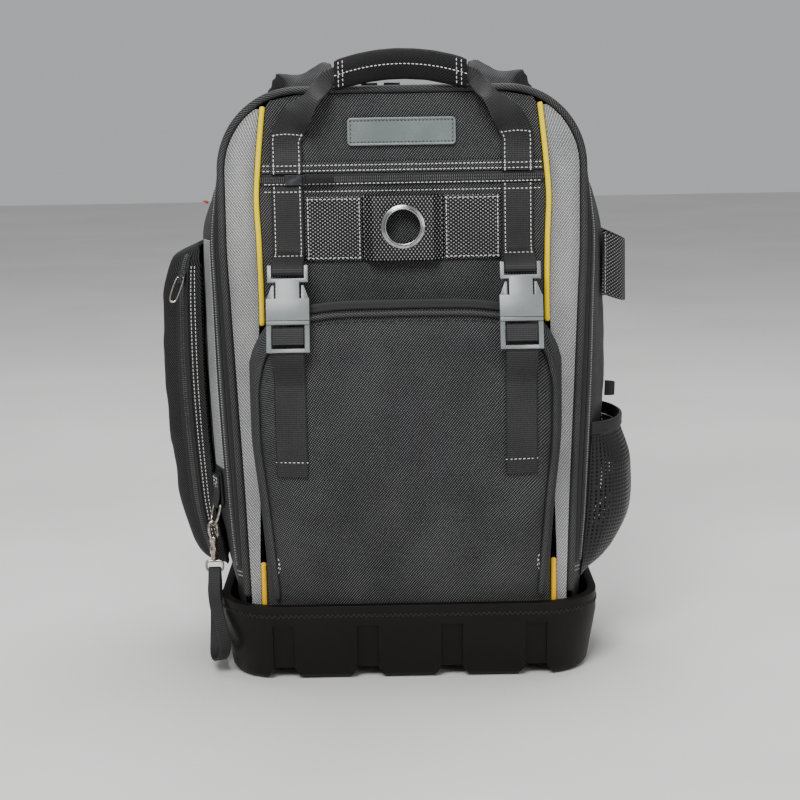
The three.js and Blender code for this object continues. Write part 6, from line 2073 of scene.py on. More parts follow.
@dataclass
class Handle:
    """The padded sleeve and the webbing on either side of it."""

    sides: int = 36

    def build(self) -> None:
        """Makes the sleeve, its stitching and both webbings."""
        def ring(x: float, shrink: float) -> list[Point]:
            """The sleeve's outline, made smaller for its inside.

            Args:
                x: Place across.
                shrink: How much smaller it is.

            Returns:
                The outline's points.
            """
            made = []
            for angle in np.linspace(0, 2 * math.pi, self.sides, endpoint=False):
                fold = 0.0 if shrink else 0.35 * ripple(x, 9 * math.cos(angle), 12 * math.sin(angle), 13)
                fold -= 0.0 if shrink else 0.8 * smooth(abs(x), SLEEVE_HALF - 5, SLEEVE_HALF)
                c, s = math.cos(angle), math.sin(angle)
                wide = (SLEEVE_D / 2 - shrink + min(fold, 0)) * math.copysign(abs(c) ** 0.8, c)
                tall = (SLEEVE_H / 2 - shrink + fold) * math.copysign(abs(s) ** 0.9, s)
                made.append(vec(x, SLEEVE_Y - wide, sleeve_z(x) + tall))
            return made

        xs = spaced(-SLEEVE_HALF, SLEEVE_HALF, 72)
        rings = np.array([ring(x, 0.0) for x in xs] + [ring(x, 2.4) for x in reversed(xs)])
        along = np.concatenate([np.array(xs), np.array(xs)[::-1], [xs[0]]])
        form = loft(rings, np.linspace(0, 58, self.sides + 1), along, True)
        piece(form, "handle_sleeve_cloth", SLEEVE_TWILL, Slot.TWILL, "handle_sleeve", angle=50)

        def face(x: float, z: float, rise: float = 0.0) -> Point:
            """A point of the sleeve's front."""
            drop = clamp((z - sleeve_z(x)) / (SLEEVE_H / 2), -1, 1)
            return vec(x, SLEEVE_Y - SLEEVE_D / 2 * math.sqrt(max(0.0, 1 - drop * drop)) ** 0.8 - rise, z)

        line = [(x, sleeve_z(x)) for x in spaced(-SLEEVE_HALF + 1, SLEEVE_HALF - 1, 24)]
        ends = [[(x, sleeve_z(x) + t) for t in spaced(-9, 9, 6)] for x in (-50.5, -47, 45.5, 49.5)]
        stitched("handle_stitching", [sewn(face, stops, 0.15) for stops in (line, *ends)])
        seams, edge = [], STRAP_W / 2 - 2.6
        for name, sign in (("left", -1), ("right", 1)):
            run = eased(self.stations(sign), 6)
            piece(band(run, WEB), f"handle_webbing_{name}_band", WEBBING, Slot.WEBBING, f"handle_webbing_{name}")
            face, end = on_band(run, WEB, vec(0, -1, 0)), float(run_lengths(np.array([s.centre for s in run]))[-1])
            corners = [(w, next(a for a in spaced(end, 0, 400) if face(w, a)[2] > FLAP_EDGE + 31))
                       for w in (-edge, edge)]
            rows = [straight((-edge, end - a), (edge, end - a)) for a in (2.0, 6.3)]
            sides = [straight(corner, (corner[0], end - 0.6)) for corner in corners]
            seams += [sewn(face, stops, 0.12) for stops in (straight(*corners), *rows, *sides)]
        stitched("handle_webbing_stitching", seams)

    def stations(self, sign: int) -> list[Station]:
        """Places along one webbing, from inside the sleeve to the flap.

        Args:
            sign: -1 for the left, 1 for the right.

        Returns:
            The stations.
        """
        low = SEAT + WEB / 2
        flap = low + FLAP_T + SEAT
        end = SLEEVE_HALF
        narrow = 14.0

        def free(x: float, y: float, z: float, across: Triple, width: float) -> Station:
            """A station in the air."""
            return Station(vec(sign * x, y, z), vec(sign * across[0], across[1], across[2]), width)

        def inside(x: float) -> Station:
            """A station in the sleeve."""
            return free(x, SLEEVE_Y, sleeve_z(x), (0, 0, 1), narrow)

        def on_panel(z: float, rise: float) -> Station:
            """A station on the panel."""
            x = sign * STRAP_X
            return Station(front_point(x, z, rise), lie_across(front_point, x, z) * sign, STRAP_W)

        reach, drop = STRAP_X - end, sleeve_z(end) - FLAP_TOP
        hanging = [free(end + reach * out, SLEEVE_Y - reach * forward, sleeve_z(end) - drop * down, across,
                        STRAP_W * wide)
                   for out, forward, down, wide, across in HANDLE_PATH]
        return [inside(2 * SEAM), inside(end / 2), inside(end), inside(end + reach * 0.1), *hanging,
                on_panel(FLAP_TOP + drop * 0.26, low + 2 * SEAM), on_panel(FLAP_TOP + drop * 0.12, low),
                on_panel(FLAP_TOP + 2 * SEAM, flap), on_panel(FLAP_EDGE, flap)]


@dataclass
class Straps:
    """The compression straps with their side-release buckles."""

    def build(self) -> None:
        """Dresses the buckles, and makes the straps and their stitching."""
        lines, depth = [], self.depth()
        for name, sign in (("left", -1), ("right", 1)):
            for part in ("socket", "plug"):
                dress(f"buckle_{part}_{name}", BUCKLE, Slot.BUCKLE, 0.9, angle=25, shape=self.eared(sign, depth))
            upper, lower = self.stations(sign)
            run = eased(upper, 4)
            piece(band(run, WEB), f"strap_upper_{name}_webbing", WEBBING, Slot.WEBBING, f"strap_upper_{name}")
            lines += self.box(run)
            piece(band(eased(lower, 4), WEB), f"strap_lower_{name}_webbing", WEBBING, Slot.WEBBING,
                  f"strap_lower_{name}")
            lines += self.stitches(sign)
        stitched("strap_stitching", lines)

    @staticmethod
    def depth() -> float:
        """Place of the buckles' middle along the depth, clear of the cloth behind them.

        Returns:
            The depth, in millimetres.
        """
        tilt, edge_z = math.radians(BUCKLE_TILT), pocket_top(STRAP_X / POCKET_HALF)

        def clear(along: float) -> float:
            """Depth that a place along the buckle allows.

            Args:
                along: Place along.

            Returns:
                The depth.
            """
            z = BUCKLE_Z + along * math.cos(tilt)
            wall = (pocket_face(STRAP_X, z, 2 * POCKET_PIPING_R + 3 * SEAT)[1] if z < edge_z
                    else front_y(STRAP_X, z) - 2 * WEB)
            return wall - along * math.sin(tilt) - BUCKLE_T / 2 / math.cos(tilt)

        return min(clear(a) for a in spaced(-BUCKLE_L / 2, BUCKLE_L / 2, 24))

    @staticmethod
    def eared(sign: int, depth: float) -> Callable[[Point], Point]:
        """Draws the tips of a plug's ears in, as on the real buckle.

        Args:
            sign: -1 for the left, 1 for the right.
            depth: Depth of the buckles' middle.

        Returns:
            What moves a corner.
        """
        def moved(p: Point) -> Point:
            """The corner, drawn in if it is an ear's tip.

            Args:
                p: The corner.

            Returns:
                The corner's place.
            """
            tilt = math.radians(BUCKLE_TILT)
            up = (p[2] - BUCKLE_Z) * math.cos(tilt) + (p[1] - depth) * math.sin(tilt)
            across = p[0] - sign * STRAP_X
            ear = abs(across) > 16.8 and abs(across) < 17.3 and up > 14
            return vec(sign * STRAP_X + math.copysign(13.0, across), p[1], p[2]) if ear else p
        return moved

    def stitches(self, sign: int) -> list[Line]:
        """The row that sews a strap's low end to the pocket."""
        x, edge, z = sign * STRAP_X, STRAP_W / 2 - 0.8, STRAP_END + 12.5
        return [sewn(pocket_face, straight((x - edge, z), (x + edge, z)), SEAT + WEB + 0.1)]

    def box(self, run: Sequence[Station]) -> list[Line]:
        """The box of stitches that holds an upper strap on the panel.

        Args:
            run: The eased stations.

        Returns:
            Lines of the box.
        """
        face, edge, low = on_band(run, WEB, vec(0, -1, 0.3)), STRAP_W / 2 - 2.6, STRAP_TOP - 355.5
        stops = [straight((-edge, 4.5), (edge, 4.5)), straight((-edge, low), (edge, low)),
                 *[straight((w, 1.0), (w, low), 16) for w in (-edge, edge)]]
        return [sewn(face, line, 0.12) for line in stops]

    def stations(self, sign: int) -> tuple[list[Station], list[Station]]:
        """Places along the upper and the lower strap.

        Args:
            sign: -1 for the left, 1 for the right.

        Returns:
            Stations of the upper and of the lower strap.
        """
        tilt = math.radians(BUCKLE_TILT)
        reach = BUCKLE_L / 2
        depth = self.depth()

        def local(out: float, along: float) -> Point:
            """A point by its place in the tilted buckle."""
            return vec(sign * STRAP_X, depth + along * math.sin(tilt) - out * math.cos(tilt),
                       BUCKLE_Z + along * math.cos(tilt) + out * math.sin(tilt))

        lift = SEAT + WEB / 2
        turn = BAR_R + 1.3 * SEAT + WEB / 2
        hub = local(0, reach - BAR_INSET)
        flat = vec(1, 0, 0)

        def on(face: Surface, z: float, rise: float = lift) -> Station:
            """A station on a face."""
            return Station(face(sign * STRAP_X, z, rise), lie_across(face, sign * STRAP_X, z), STRAP_W)

        root = on(front_point, STRAP_SEWN + 2 * turn).centre
        away = unit((hub - root) * vec(0, 1, 1))
        above = vec(0, away[2], -away[1])

        def round_bar(a: float, b: float) -> Station:
            """A station round the buckle's bar."""
            return Station(hub + above * a * turn + away * b * turn, flat, STRAP_W)

        upper = [on(front_point, STRAP_TOP), on(front_point, lerp(STRAP_TOP, STRAP_SEWN, 0.4)),
                 on(front_point, STRAP_SEWN + 4 * turn), on(front_point, STRAP_SEWN + 3 * turn, lift + 1),
                 Station(lerp(root, hub, 0.35) + above * turn, flat, STRAP_W),
                 round_bar(1, 0), round_bar(0.71, 0.71), round_bar(0, 1), round_bar(-0.71, 0.71), round_bar(-1, 0),
                 Station(lerp(root, hub, 0.4) - above * turn, flat, STRAP_W),
                 on(front_point, STRAP_SEWN - turn, lift + 1), on(front_point, STRAP_SEWN - 3 * turn)]
        bar = PLUG_L - reach - SEAT - BUCKLE_WALL - BAR_R - 2 * WEB
        behind = -(BAR_R + SEAT + WEB / 2)
        tail = [(turn, BUCKLE_WALL + 3 - reach), (turn, bar), (turn * 0.71, bar + turn * 0.71), (0, bar + turn),
                (-turn * 0.71, bar + turn * 0.71), (-turn, bar), (behind, BUCKLE_WALL - reach), (behind, -reach - 2)]
        lower = [Station(local(out, along), flat, STRAP_W) for out, along in tail]
        lower += [on(pocket_face, BUCKLE_Z - reach - 26), on(pocket_face, BUCKLE_Z - reach - 34)]
        lower += [on(pocket_face, z) for z in spaced(BUCKLE_Z - reach - 50, STRAP_END, 5)]
        return upper, lower


@dataclass
class FrontPocket:
    """The full front pocket with its lip and piping.

    Args:
        slack: Depth of its folds.
    """

    slack: float = 2.6

    def sink(self, u: float, v: float) -> float:
        """Inward fold of the pocket's cloth at a place.

        Args:
            u: Share across.
            v: Share up.

        Returns:
            The fold, in millimetres.
        """
        z = lerp(POCKET_FOOT, pocket_top(u), v)
        x = u * pocket_seam(z)
        free = smooth(abs(abs(x) - STRAP_X), 12, 24)
        edges = smooth(1 - abs(u), 0.07, 0.2) * smooth(1 - v, 0.1, 0.2) * smooth(v, 0.04, 0.16)
        broad = dent(x, 0, z, self.slack, 64, 1.35)
        drag = 0.8 * math.sin((abs(x) * 0.35 + z) / 9.0) * smooth(0.34 - v, 0.0, 0.22)
        return (broad - 0.4 + min(drag, 0.0)) * edges * (0.12 + 0.88 * free)

    def build(self) -> None:
        """Makes the pocket, its lip, its piping and its seams."""
        us = spaced(-1, 1, 96)
        vs = [*spaced(0, 0.93, 74), 0.943, 0.955, 0.965, 0.975, 0.983, 0.99, 0.996, 1]
        narrow = (POCKET_HALF - WALL) / POCKET_HALF

        def outside(u: float, v: float) -> Point:
            """A point of the outside."""
            sink = self.sink(u, v)
            return pocket_surface(u, v, sink) if sink < 0 else pocket_point(u, v)

        def inside(u: float, v: float) -> Point:
            """A point of the inside.

            Args:
                u: Share across.
                v: Share up.

            Returns:
                The point.
            """
            place = pocket_point(u, v)
            z = place[2] - WALL * pocket_closing(u) * v
            x = place[0] * narrow
            rise = pocket_rise(u, place[2], v) - WALL + self.sink(u, v)
            return vec(x, front_y(x, z) - SEAT - max(rise, 0.0), z)

        outer = np.array([[outside(u, v) for u in us] for v in vs])
        inner = np.array([[inside(u, v) for u in us] for v in vs])
        piece(slab(outer, inner), "front_pocket_cloth", TWILL, Slot.TWILL, "front_pocket", angle=50)

        def lip(x: float, w: float, rise: float = 0.0) -> Point:
            """A point of the lip."""
            return pocket_face(x, pocket_top(x / POCKET_HALF) + 1 + w * LIP_H, rise)

        form = trim_on(lip, spaced(-LIP_HALF, LIP_HALF, 40), spaced(-1, 0, 4), SEAT, LIP_T, 1.5, 0.16)
        piece(form, "front_pocket_lip_cloth", TRIM, Slot.TRIM, "front_pocket_lip")
        drop = PIPING_DROP / (POCKET_TOP - POCKET_FOOT)
        half = [(0.925, v) for v in spaced(0.06, 0.82, 9)]
        half += [(0.915, 0.86), (0.895, 0.895), (0.86, 0.92), (0.81, 0.94), (0.75, 1 - drop)]
        half += [(u, 1 - drop) for u in spaced(0.66, 0, 5)]
        route = half + [(-u, v) for u, v in half[:-1][::-1]]
        rise = POCKET_PIPING_R + SEAT
        stations = [Station(pocket_surface(u, v, rise), vec(1, 0, 0), 1.0) for u, v in route]
        path = [s.centre for s in eased(stations, 6)]
        piece(tube(path, POCKET_PIPING_R, 14), "front_pocket_piping_cord", PIPING, Slot.TRIM, "front_pocket_piping",
              angle=60)
        below = [(u, v - 0.022) for u, v in route[10:-10]]
        lines = [sewn(lip, straight((-LIP_HALF + 2, -0.5), (LIP_HALF - 2, -0.5), 30), SEAT + LIP_T + 0.05)]
        seam = [sewn(pocket_surface, below, 0.15)]
        stitched("pocket_stitching", seam + lines, DARK_THREAD)
        arcs = []
        for sign in (-1, 1):
            for shift in (0.0, 0.018):
                arcs.append(sewn(pocket_surface, [(sign * (0.9 + 0.035 * t * t), 0.175 + shift + 0.03 * t)
                                                  for t in spaced(-0.6, 0.9, 6)], 0.15))
        stitched("pocket_corner_stitching", arcs)


@dataclass
class SidePocket:
    """The left side pocket with its zip, slider, bail, and the trims before it.

    Args:
        slack: Depth of its folds.
    """

    slack: float = 3.4

    def sink(self, u: float, v: float) -> float:
        """Inward fold of the pocket's cloth at a place.

        Args:
            u: Share across.
            v: Share up.

        Returns:
            The fold, in millimetres.
        """
        place = side_pocket_point(u, v)
        held = smooth(u, 0.09, 0.22) * smooth(1 - u, 0.02, 0.15) * smooth(v, 0.03, 0.14) * smooth(1 - v, 0.03, 0.1)
        folds = dent(place[0], place[1] * 1.2, place[2], self.slack, 52, 0.8)
        pull = -1.6 * smooth(math.sin(place[2] / 21.0 + 0.8 * math.sin(place[1] / 30)), 0.35, 1.0)
        return (folds + pull) * held

    def build(self) -> None:
        """Makes the pocket and its trims."""
        us = [*spaced(0, 0.17, 12), *spaced(0.17, 0.85, 26)[1:], *spaced(0.85, 1, 8)[1:]]
        vs = [*spaced(0, 0.05, 6), *spaced(0.05, 0.93, 84)[1:], *spaced(0.93, 1, 8)[1:]]
        sinks = {(u, v): self.sink(u, v) for u in us for v in vs}
        outer = np.array([[side_pocket_surface(u, v, sinks[u, v]) if sinks[u, v] else side_pocket_point(u, v)
                           for u in us] for v in vs])
        span = (BACK_Y - FRONT_TOP_Y) * (SIDE_BACK - SIDE_FRONT)
        thin_u, thin_v = 1 - 2 * WALL / span, 1 - 2 * WALL / (SIDE_HIGH - SIDE_LOW)

        def inside(u: float, v: float) -> Point:
            """A point of the inside.

            Args:
                u: Share across.
                v: Share up.

            Returns:
                The point.
            """
            bulge = SIDE_ACROSS.at("rise", u) * SIDE_UP.at("rise", v)
            share = lerp(SIDE_FRONT, SIDE_BACK, 0.5 + (u - 0.5) * thin_u)
            z = lerp(SIDE_LOW, SIDE_HIGH, 0.5 + (v - 0.5) * thin_v)
            rise = LAID + max(0.0, (SIDE_D - WALL) * bulge + sinks[u, v])
            return gusset(along_at(-1, z), share, rise)

        inner = np.array([[inside(u, v) for u in us] for v in vs])
        # The side pocket's cloth is the black twill darkened by painted shade.
        piece(slab(outer, inner), "side_pocket_cloth", SHADED_SIDE_TWILL, Slot.TWILL, "side_pocket", angle=60)
        line = [(0.05, v) for v in spaced(0.035, 0.965, 110)]

        def across(length: float) -> tuple[float, float]:
            """A length across as a share."""
            return length / 250.0, 0.0

        tape = trim_on(side_pocket_surface, spaced(0.032, 0.068, 6), spaced(0.035, 0.965, 100), SEAT, TAPE,
                       0.004, 0.003)
        tapes = tape.made("side_pocket_tapes", TRIM)
        coil = coils(side_pocket_surface, line, across, SEAT + TAPE + 0.1, "side_pocket_coil", 3.6)
        put(merged("side_pocket_zip_sewn", tapes, coil), Slot.TRIM, "side_pocket_zip")
        seams = [sewn(side_pocket_surface, [(u, v) for v in spaced(0.08, 0.93, 60)], 0.15) for u in (0.016, 0.026)]
        stitched("side_pocket_stitching", seams)
        dress("side_pocket_slider", GUNMETAL, Slot.DARK_METAL, 0.5, angle=25)
        self.bail()
        self.trims()

    def bail(self) -> None:
        """The wire bail of the slider."""
        seat = 2 * SEAT + TAPE
        origin = side_pocket_surface(0.05, 0.9, seat)
        up = unit(side_pocket_surface(0.05, 0.93, seat) - origin)
        out = unit(side_pocket_surface(0.05, 0.9, seat + 1) - origin)
        wide = unit(np.cross(up, out))
        rise_axis = np.cross(out, wide)
        wire, side, length, lean = 0.8, 3.0, 25.0, math.radians(35)
        pivot = 3 + wire + SEAT

        def hang(x: float, down: float) -> Station:
            """A station down the bail."""
            place = origin + wide * x - rise_axis * down * math.cos(lean) + out * (pivot + down * math.sin(lean))
            return Station(place, wide, 1.0)

        bend = wire * 1.2
        path = [hang(-side + bend, 0), hang(0, 0), hang(side - bend, 0), hang(side, bend), hang(side, length - side),
                hang(side * 0.71, length - side * 0.29), hang(0, length), hang(-side * 0.71, length - side * 0.29),
                hang(-side, length - side), hang(-side, bend)]
        form = wire_ring(path, 5, wire, 12)
        piece(form, "side_pocket_bail", STEEL, Slot.BRIGHT_METAL, "side_pocket_pull", body="bail", angle=60)

    def trims(self) -> None:
        """The silver-grey strip in front of the pocket, and the folded tag."""
        rows = spaced(along_at(-1, GORE_LOW), along_at(-1, GORE_HIGH), 44)
        start = ZIP_STOP + gusset_share(2 * SEAM)
        form = trim_on(gusset, rows, spaced(start, GORE_BACK, 8), SEAT, GORE_T, 1.5, 0.01)
        piece(form, "side_gore_left_cloth", SIDE_GREY, Slot.GREY, "side_gore_left")
        place, half = along_at(-1, 401), gusset_share(4.5)
        form = trim_on(gusset, spaced(place - 0.8, place + 0.8, 3), spaced(0.4 - half, 0.4 + half, 8), SEAT, 5,
                       0.5, 0.006)
        piece(form, "tag_folded", TAG, Slot.TAG, "tag")


@dataclass
class HookChain:
    """The ring's tab, the D-ring, the snap hook, its swivel and the wrist loop."""

    def build(self) -> None:
        """Makes the chain from the tab down."""
        base = gusset(along_at(-1, RING_Z), TAB_SHARE)
        out = unit((gusset(along_at(-1, RING_Z), TAB_SHARE, 1.0) - base) * vec(1, 1, 0))
        side = np.cross(out, vec(0, 0, 1))

        def ring_place(across: float, reach: float, z: float) -> Point:
            """A point by its place at the tab."""
            return vec(base[0], base[1], z) + side * across + out * reach

        standoff = SEAT + WEB + SEAT + RING_WIRE + 0.5
        turn = RING_WIRE + SEAT + WEB / 2
        chain_x = -(TRAY_HALF + WRIST_GAP + WRIST_W / 2)
        chain_out = (chain_x - base[0]) / out[0]
        chain_y = float(ring_place(0, chain_out, 0)[1])
        tilt = math.asin(clamp((chain_out - standoff) / RING_H, -1, 1))
        ring_low = RING_Z - RING_H * math.cos(tilt)
        bend_z = ring_low + RING_WIRE + SEAT + HOOK_WIRE - HOOK_BEND
        eye_low = bend_z - HOOK_NECK - BARREL_L - SEAT - EYE_H

        def on_tab(z: float, rise: float) -> Station:
            """A station on the gusset."""
            return Station(gusset(along_at(-1, z), TAB_SHARE, rise), side, TAB_W)

        def round_bar(a: float, b: float) -> Station:
            """A station round the ring's bar."""
            return Station(ring_place(0, standoff + a * turn, RING_Z + b * turn), side, TAB_W)

        inner = SEAT + WEB / 2
        outer = inner + WEB + SEAT
        tab = [on_tab(TAB_TOP, inner), on_tab(lerp(TAB_TOP, RING_Z, 0.5), inner), on_tab(RING_Z + 2 * turn, inner),
               round_bar(-1, 0), round_bar(-0.71, -0.71), round_bar(0, -1), round_bar(0.71, -0.71), round_bar(1, 0),
               on_tab(RING_Z + 3 * turn, outer + 1), on_tab(TAB_TOP - WEB, outer)]
        piece(band(eased(tab, 4), WEB), "ring_tab_webbing", WEBBING, Slot.WEBBING, "ring_tab")

        def tab_face(w: float, z: float, rise: float = 0.0) -> Point:
            """A point of the tab's outside."""
            return gusset(along_at(-1, z), TAB_SHARE, outer + WEB / 2 + rise) + side * w

        box = [straight(a, b, 4) for a, b in (((-5, 153), (5, 153)), ((5, 153), (5, 166)), ((5, 166), (-5, 166)),
                                              ((-5, 166), (-5, 153)), ((-5, 153), (5, 166)), ((5, 153), (-5, 166)))]
        tab_lines = [sewn(tab_face, stops, 0.25) for stops in box]

        def hang(across: float, down: float) -> Station:
            """A station down the ring."""
            z = RING_Z - down * math.cos(tilt)
            return Station(ring_place(across, standoff + down * math.sin(tilt), z), side, 1)

        half = 9.0
        bow = [hang(half * math.cos(a), RING_H - half + half * math.sin(a)) for a in spaced(0, math.pi, 8)]
        ring = [hang(-half + RING_WIRE, 0), hang(half - RING_WIRE, 0), hang(half, RING_WIRE), *bow,
                hang(-half, RING_WIRE)]
        piece(wire_ring(ring, 4, RING_WIRE, 16), "d_ring_wire", STEEL,
              Slot.BRIGHT_METAL, "d_ring", angle=60)
        dress("snap_hook", STEEL, Slot.BRIGHT_METAL, 0.3, angle=50)
        dress("hook_gate", STEEL, Slot.BRIGHT_METAL, 0.2, body="gate", angle=40)
        top, low, wide = eye_low + EYE_H - EYE_WIRE, eye_low, 7.0
        loop = [(-wide + EYE_WIRE, top), (wide - EYE_WIRE, top), (wide, top - EYE_WIRE), (wide, low + EYE_WIRE),
                (wide - EYE_WIRE, low), (-wide + EYE_WIRE, low), (-wide, low + EYE_WIRE), (-wide, top - EYE_WIRE)]
        eye = [Station(vec(chain_x + x, chain_y, z), vec(0, 1, 0), 1) for x, z in loop]
        piece(wire_ring(eye, 4, EYE_WIRE, 14), "hook_swivel_wire", STEEL,
              Slot.BRIGHT_METAL, "hook_swivel", angle=60)
        self.wrist(chain_y, eye_low)
        stitched("tab_stitching", tab_lines, THREAD, 2.9, (2.0, 0.7, 0.5))

    def wrist(self, chain_y: float, low: float) -> None:
        """Makes the wrist loop, hung in the swivel's eye.

        Args:
            chain_y: Depth at which the chain hangs.
            low: Height of the eye's low wire.
        """
        radius = TRAY_CORNER + WRIST_GAP + WRIST_W / 2
        corner_y = TRAY_FRONT + TRAY_CORNER
        start = corner_y - chain_y

        def place(forward: float, z: float) -> Station:
            """A station beside the tray.

            Args:
                forward: Distance to the front.
                z: Height.

            Returns:
                The station.
            """
            run = start + forward
            angle = max(0.0, run) / radius
            radial = vec(-math.cos(angle), -math.sin(angle), 0)
            centre = vec(TRAY_CORNER - TRAY_HALF, corner_y, z) + radial * radius
            centre[1] -= min(0.0, run)
            return Station(centre, radial, WRIST_W)

        wrap = EYE_WIRE + SEAT + WRIST_T / 2
        over = [place(wrap * math.cos(a), low + wrap * math.sin(a)) for a in spaced(math.pi, 0, 4)]
        height = low - wrap - WRIST_LOW
        run = [place(f * WRIST_REACH, WRIST_LOW + h * height) for f, h in WRIST_PATH]
        piece(band(eased([*over, *run[::-1]], 4, True), WRIST_T, True), "wrist_loop_webbing", WEBBING, Slot.WEBBING,
              "wrist_loop")


def netted(surface: Surface, columns: int, rows: int, strand: float, thick: float) -> Form:
    """A net of crossing strands over a surface, as a closed sheet with gaps.

    Args:
        surface: The surface, by shares across and along.
        columns: Gaps across.
        rows: Gaps along.
        strand: Share of a cell that its strand takes.
        thick: Thickness of the net.

    Returns:
        The net.
    """
    marks_u = sorted({(i + s) / columns for i in range(columns) for s in (0, strand / 2, 1 - strand / 2, 1)})
    marks_v = sorted({(i + s) / rows for i in range(rows) for s in (0, strand / 2, 1 - strand / 2, 1)})
    base = np.array([[surface(u, v, 0.0) for u in marks_u] for v in marks_v])
    normal = np.array([[surface(u, v, 1.0) for u in marks_u] for v in marks_v]) - base
    swell = np.array([[0.5 + 0.5 * abs(math.cos(math.pi * u * columns) * math.cos(math.pi * v * rows))
                       for u in marks_u] for v in marks_v])[:, :, None]
    count_v, count_u = len(marks_v), len(marks_u)
    points = np.vstack([(base + normal * thick * swell).reshape(-1, 3), base.reshape(-1, 3)])
    under = count_u * count_v
    solid_cell = {(i, j): not (i % 3 == 1 and j % 3 == 1) for i in range(count_v - 1) for j in range(count_u - 1)}
    faces = []
    for (i, j), filled in solid_cell.items():
        if not filled:
            continue
        a, b = i * count_u + j, (i + 1) * count_u + j
        faces.append((a, a + 1, b + 1, b))
        faces.append((under + b, under + b + 1, under + a + 1, under + a))
        for (di, dj), (p, q) in (((-1, 0), (a, a + 1)), ((1, 0), (b + 1, b)),
                                 ((0, -1), (b, a)), ((0, 1), (a + 1, b + 1))):
            if not solid_cell.get((i + di, j + dj), False):
                faces.append((q, p, under + p, under + q))
    flat = np.zeros((len(points), 2))
    corners = np.concatenate([np.array(f) for f in faces])
    return Form(points, faces, flat[corners])


@dataclass
class RightSide:
    """The hanging loop, the folded tab and the net pocket with its binding."""

    columns: int = 40
    rows: int = 36

    def build(self) -> None:
        """Makes the right side's pieces."""
        foot = gusset_share(LOOP_FOOT)
        open_a, open_b = LOOP_FRONT + foot, LOOP_BACK - foot

        def arch(share: float) -> float:
            """Share of the loop's arch."""
            return math.sin(math.pi * clamp((share - open_a) / (open_b - open_a), 0, 1))

        def loop(share: float, z: float, rise: float = 0.0) -> Point:
            """A point of the loop."""
            return gusset(along_at(1, z - LOOP_DROOP * arch(share)), share, SEAT + LOOP_REACH * arch(share) + rise)

        stops = [*spaced(LOOP_FRONT, open_a, 4), *spaced(open_a, open_b, 30)[1:], *spaced(open_b, LOOP_BACK, 4)[1:]]
        form = trim_on(loop, stops, spaced(LOOP_TOP - LOOP_H, LOOP_TOP, 14), 0.0, LOOP_T, 0.005, 0.8)
        piece(form, "side_loop_webbing", HEAVY_WEBBING, Slot.WEBBING, "side_loop")
        place = LOOP_FRONT + foot * 0.55
        line = sewn(loop, straight((place, LOOP_TOP - LOOP_H + 3), (place, LOOP_TOP - 3)),
                    LOOP_T + 0.05)
        stitched("side_loop_stitching", [line])
        half = gusset_share(1.7)
        form = trim_on(gusset, spaced(along_at(1, 224.5), along_at(1, 237.5), 8), spaced(0.45 - half, 0.45 + half, 3),
                       SEAT, 9.0, 0.8, 0.005)
        piece(form, "side_tab_webbing", WEBBING, Slot.WEBBING, "side_tab")
        self.net()

    def net(self) -> None:
        """The net and the binding along its open top."""
        def bulge(u: float, v: float) -> float:
            """How far the net stands off."""
            return LAID + MESH_D * MESH_ACROSS.at("rise", u) * MESH_UP.at("rise", min(v, 1.0))

        top = MESH_TOP - MESH_BIND - SEAM

        def net(u: float, v: float, rise: float = 0.0) -> Point:
            """A point of the net."""
            return gusset(along_at(1, lerp(MESH_LOW, top, v)), lerp(MESH_FRONT, MESH_BACK, u), bulge(u, v) + rise)

        piece(netted(net, self.columns, self.rows, 0.44, MESH_T), "mesh_pocket_net", NET, Slot.NET, "mesh_pocket",
              angle=70)

        def bound(u: float, v: float, rise: float = 0.0) -> Point:
            """A point of the binding."""
            return gusset(along_at(1, lerp(MESH_TOP - MESH_BIND, MESH_TOP, v)), lerp(MESH_FRONT, MESH_BACK, u),
                          bulge(u, 1) + rise)

        form = trim_on(bound, spaced(0, 1, 48), spaced(0, 1, 6), 0.0, BIND_T, 0.01, 0.16)
        piece(form, "mesh_pocket_binding_cloth", TRIM, Slot.TRIM, "mesh_pocket_binding")
        stitched("binding_stitching", [sewn(bound, straight((0.03, 0.2), (0.97, 0.2), 30), BIND_T + 0.05)], DARK_THREAD)


def puff(obj: bpy.types.Object, voxel: float, cap: float) -> None:
    """Fills a padded piece by a short cloth simulation, with its result applied.

    Args:
        obj: The piece, slightly thinner than its space.
        voxel: Size of the remesh, in millimetres.
        cap: How far a point may move, in millimetres.
    """
    scene = bpy.context.scene
    scene.frame_set(1)
    remesh = obj.modifiers.new("even", "REMESH")
    remesh.mode, remesh.voxel_size = "VOXEL", voxel * MM
    obj.data = baked(obj)
    obj.modifiers.clear()
    count = len(obj.data.vertices)
    rest = np.empty(count * 3)
    obj.data.vertices.foreach_get("co", rest)
    cloth = obj.modifiers.new("filled", "CLOTH")
    cloth.settings.use_pressure = True
    cloth.settings.uniform_pressure_force = 4
    cloth.settings.effector_weights.gravity = 0
    for frame_number in range(1, 21):
        scene.frame_set(frame_number)
        bpy.context.view_layer.update()
    blown = baked(obj)
    moved = np.empty(count * 3)
    blown.vertices.foreach_get("co", moved)
    shift = (moved - rest).reshape(-1, 3)
    length = np.linalg.norm(shift, axis=1, keepdims=True)
    shift *= np.minimum(1.0, cap * MM / np.maximum(length, 1e-9))
    obj.modifiers.clear()
    obj.data.vertices.foreach_set("co", (rest.reshape(-1, 3) + shift).ravel())
    finer = obj.modifiers.new("finer", "SUBSURF")
    finer.levels = finer.render_levels = 1
    obj.data = baked(obj)
    obj.modifiers.clear()
    obj.data.polygons.foreach_set("use_smooth", [True] * len(obj.data.polygons))
    scene.frame_set(1)


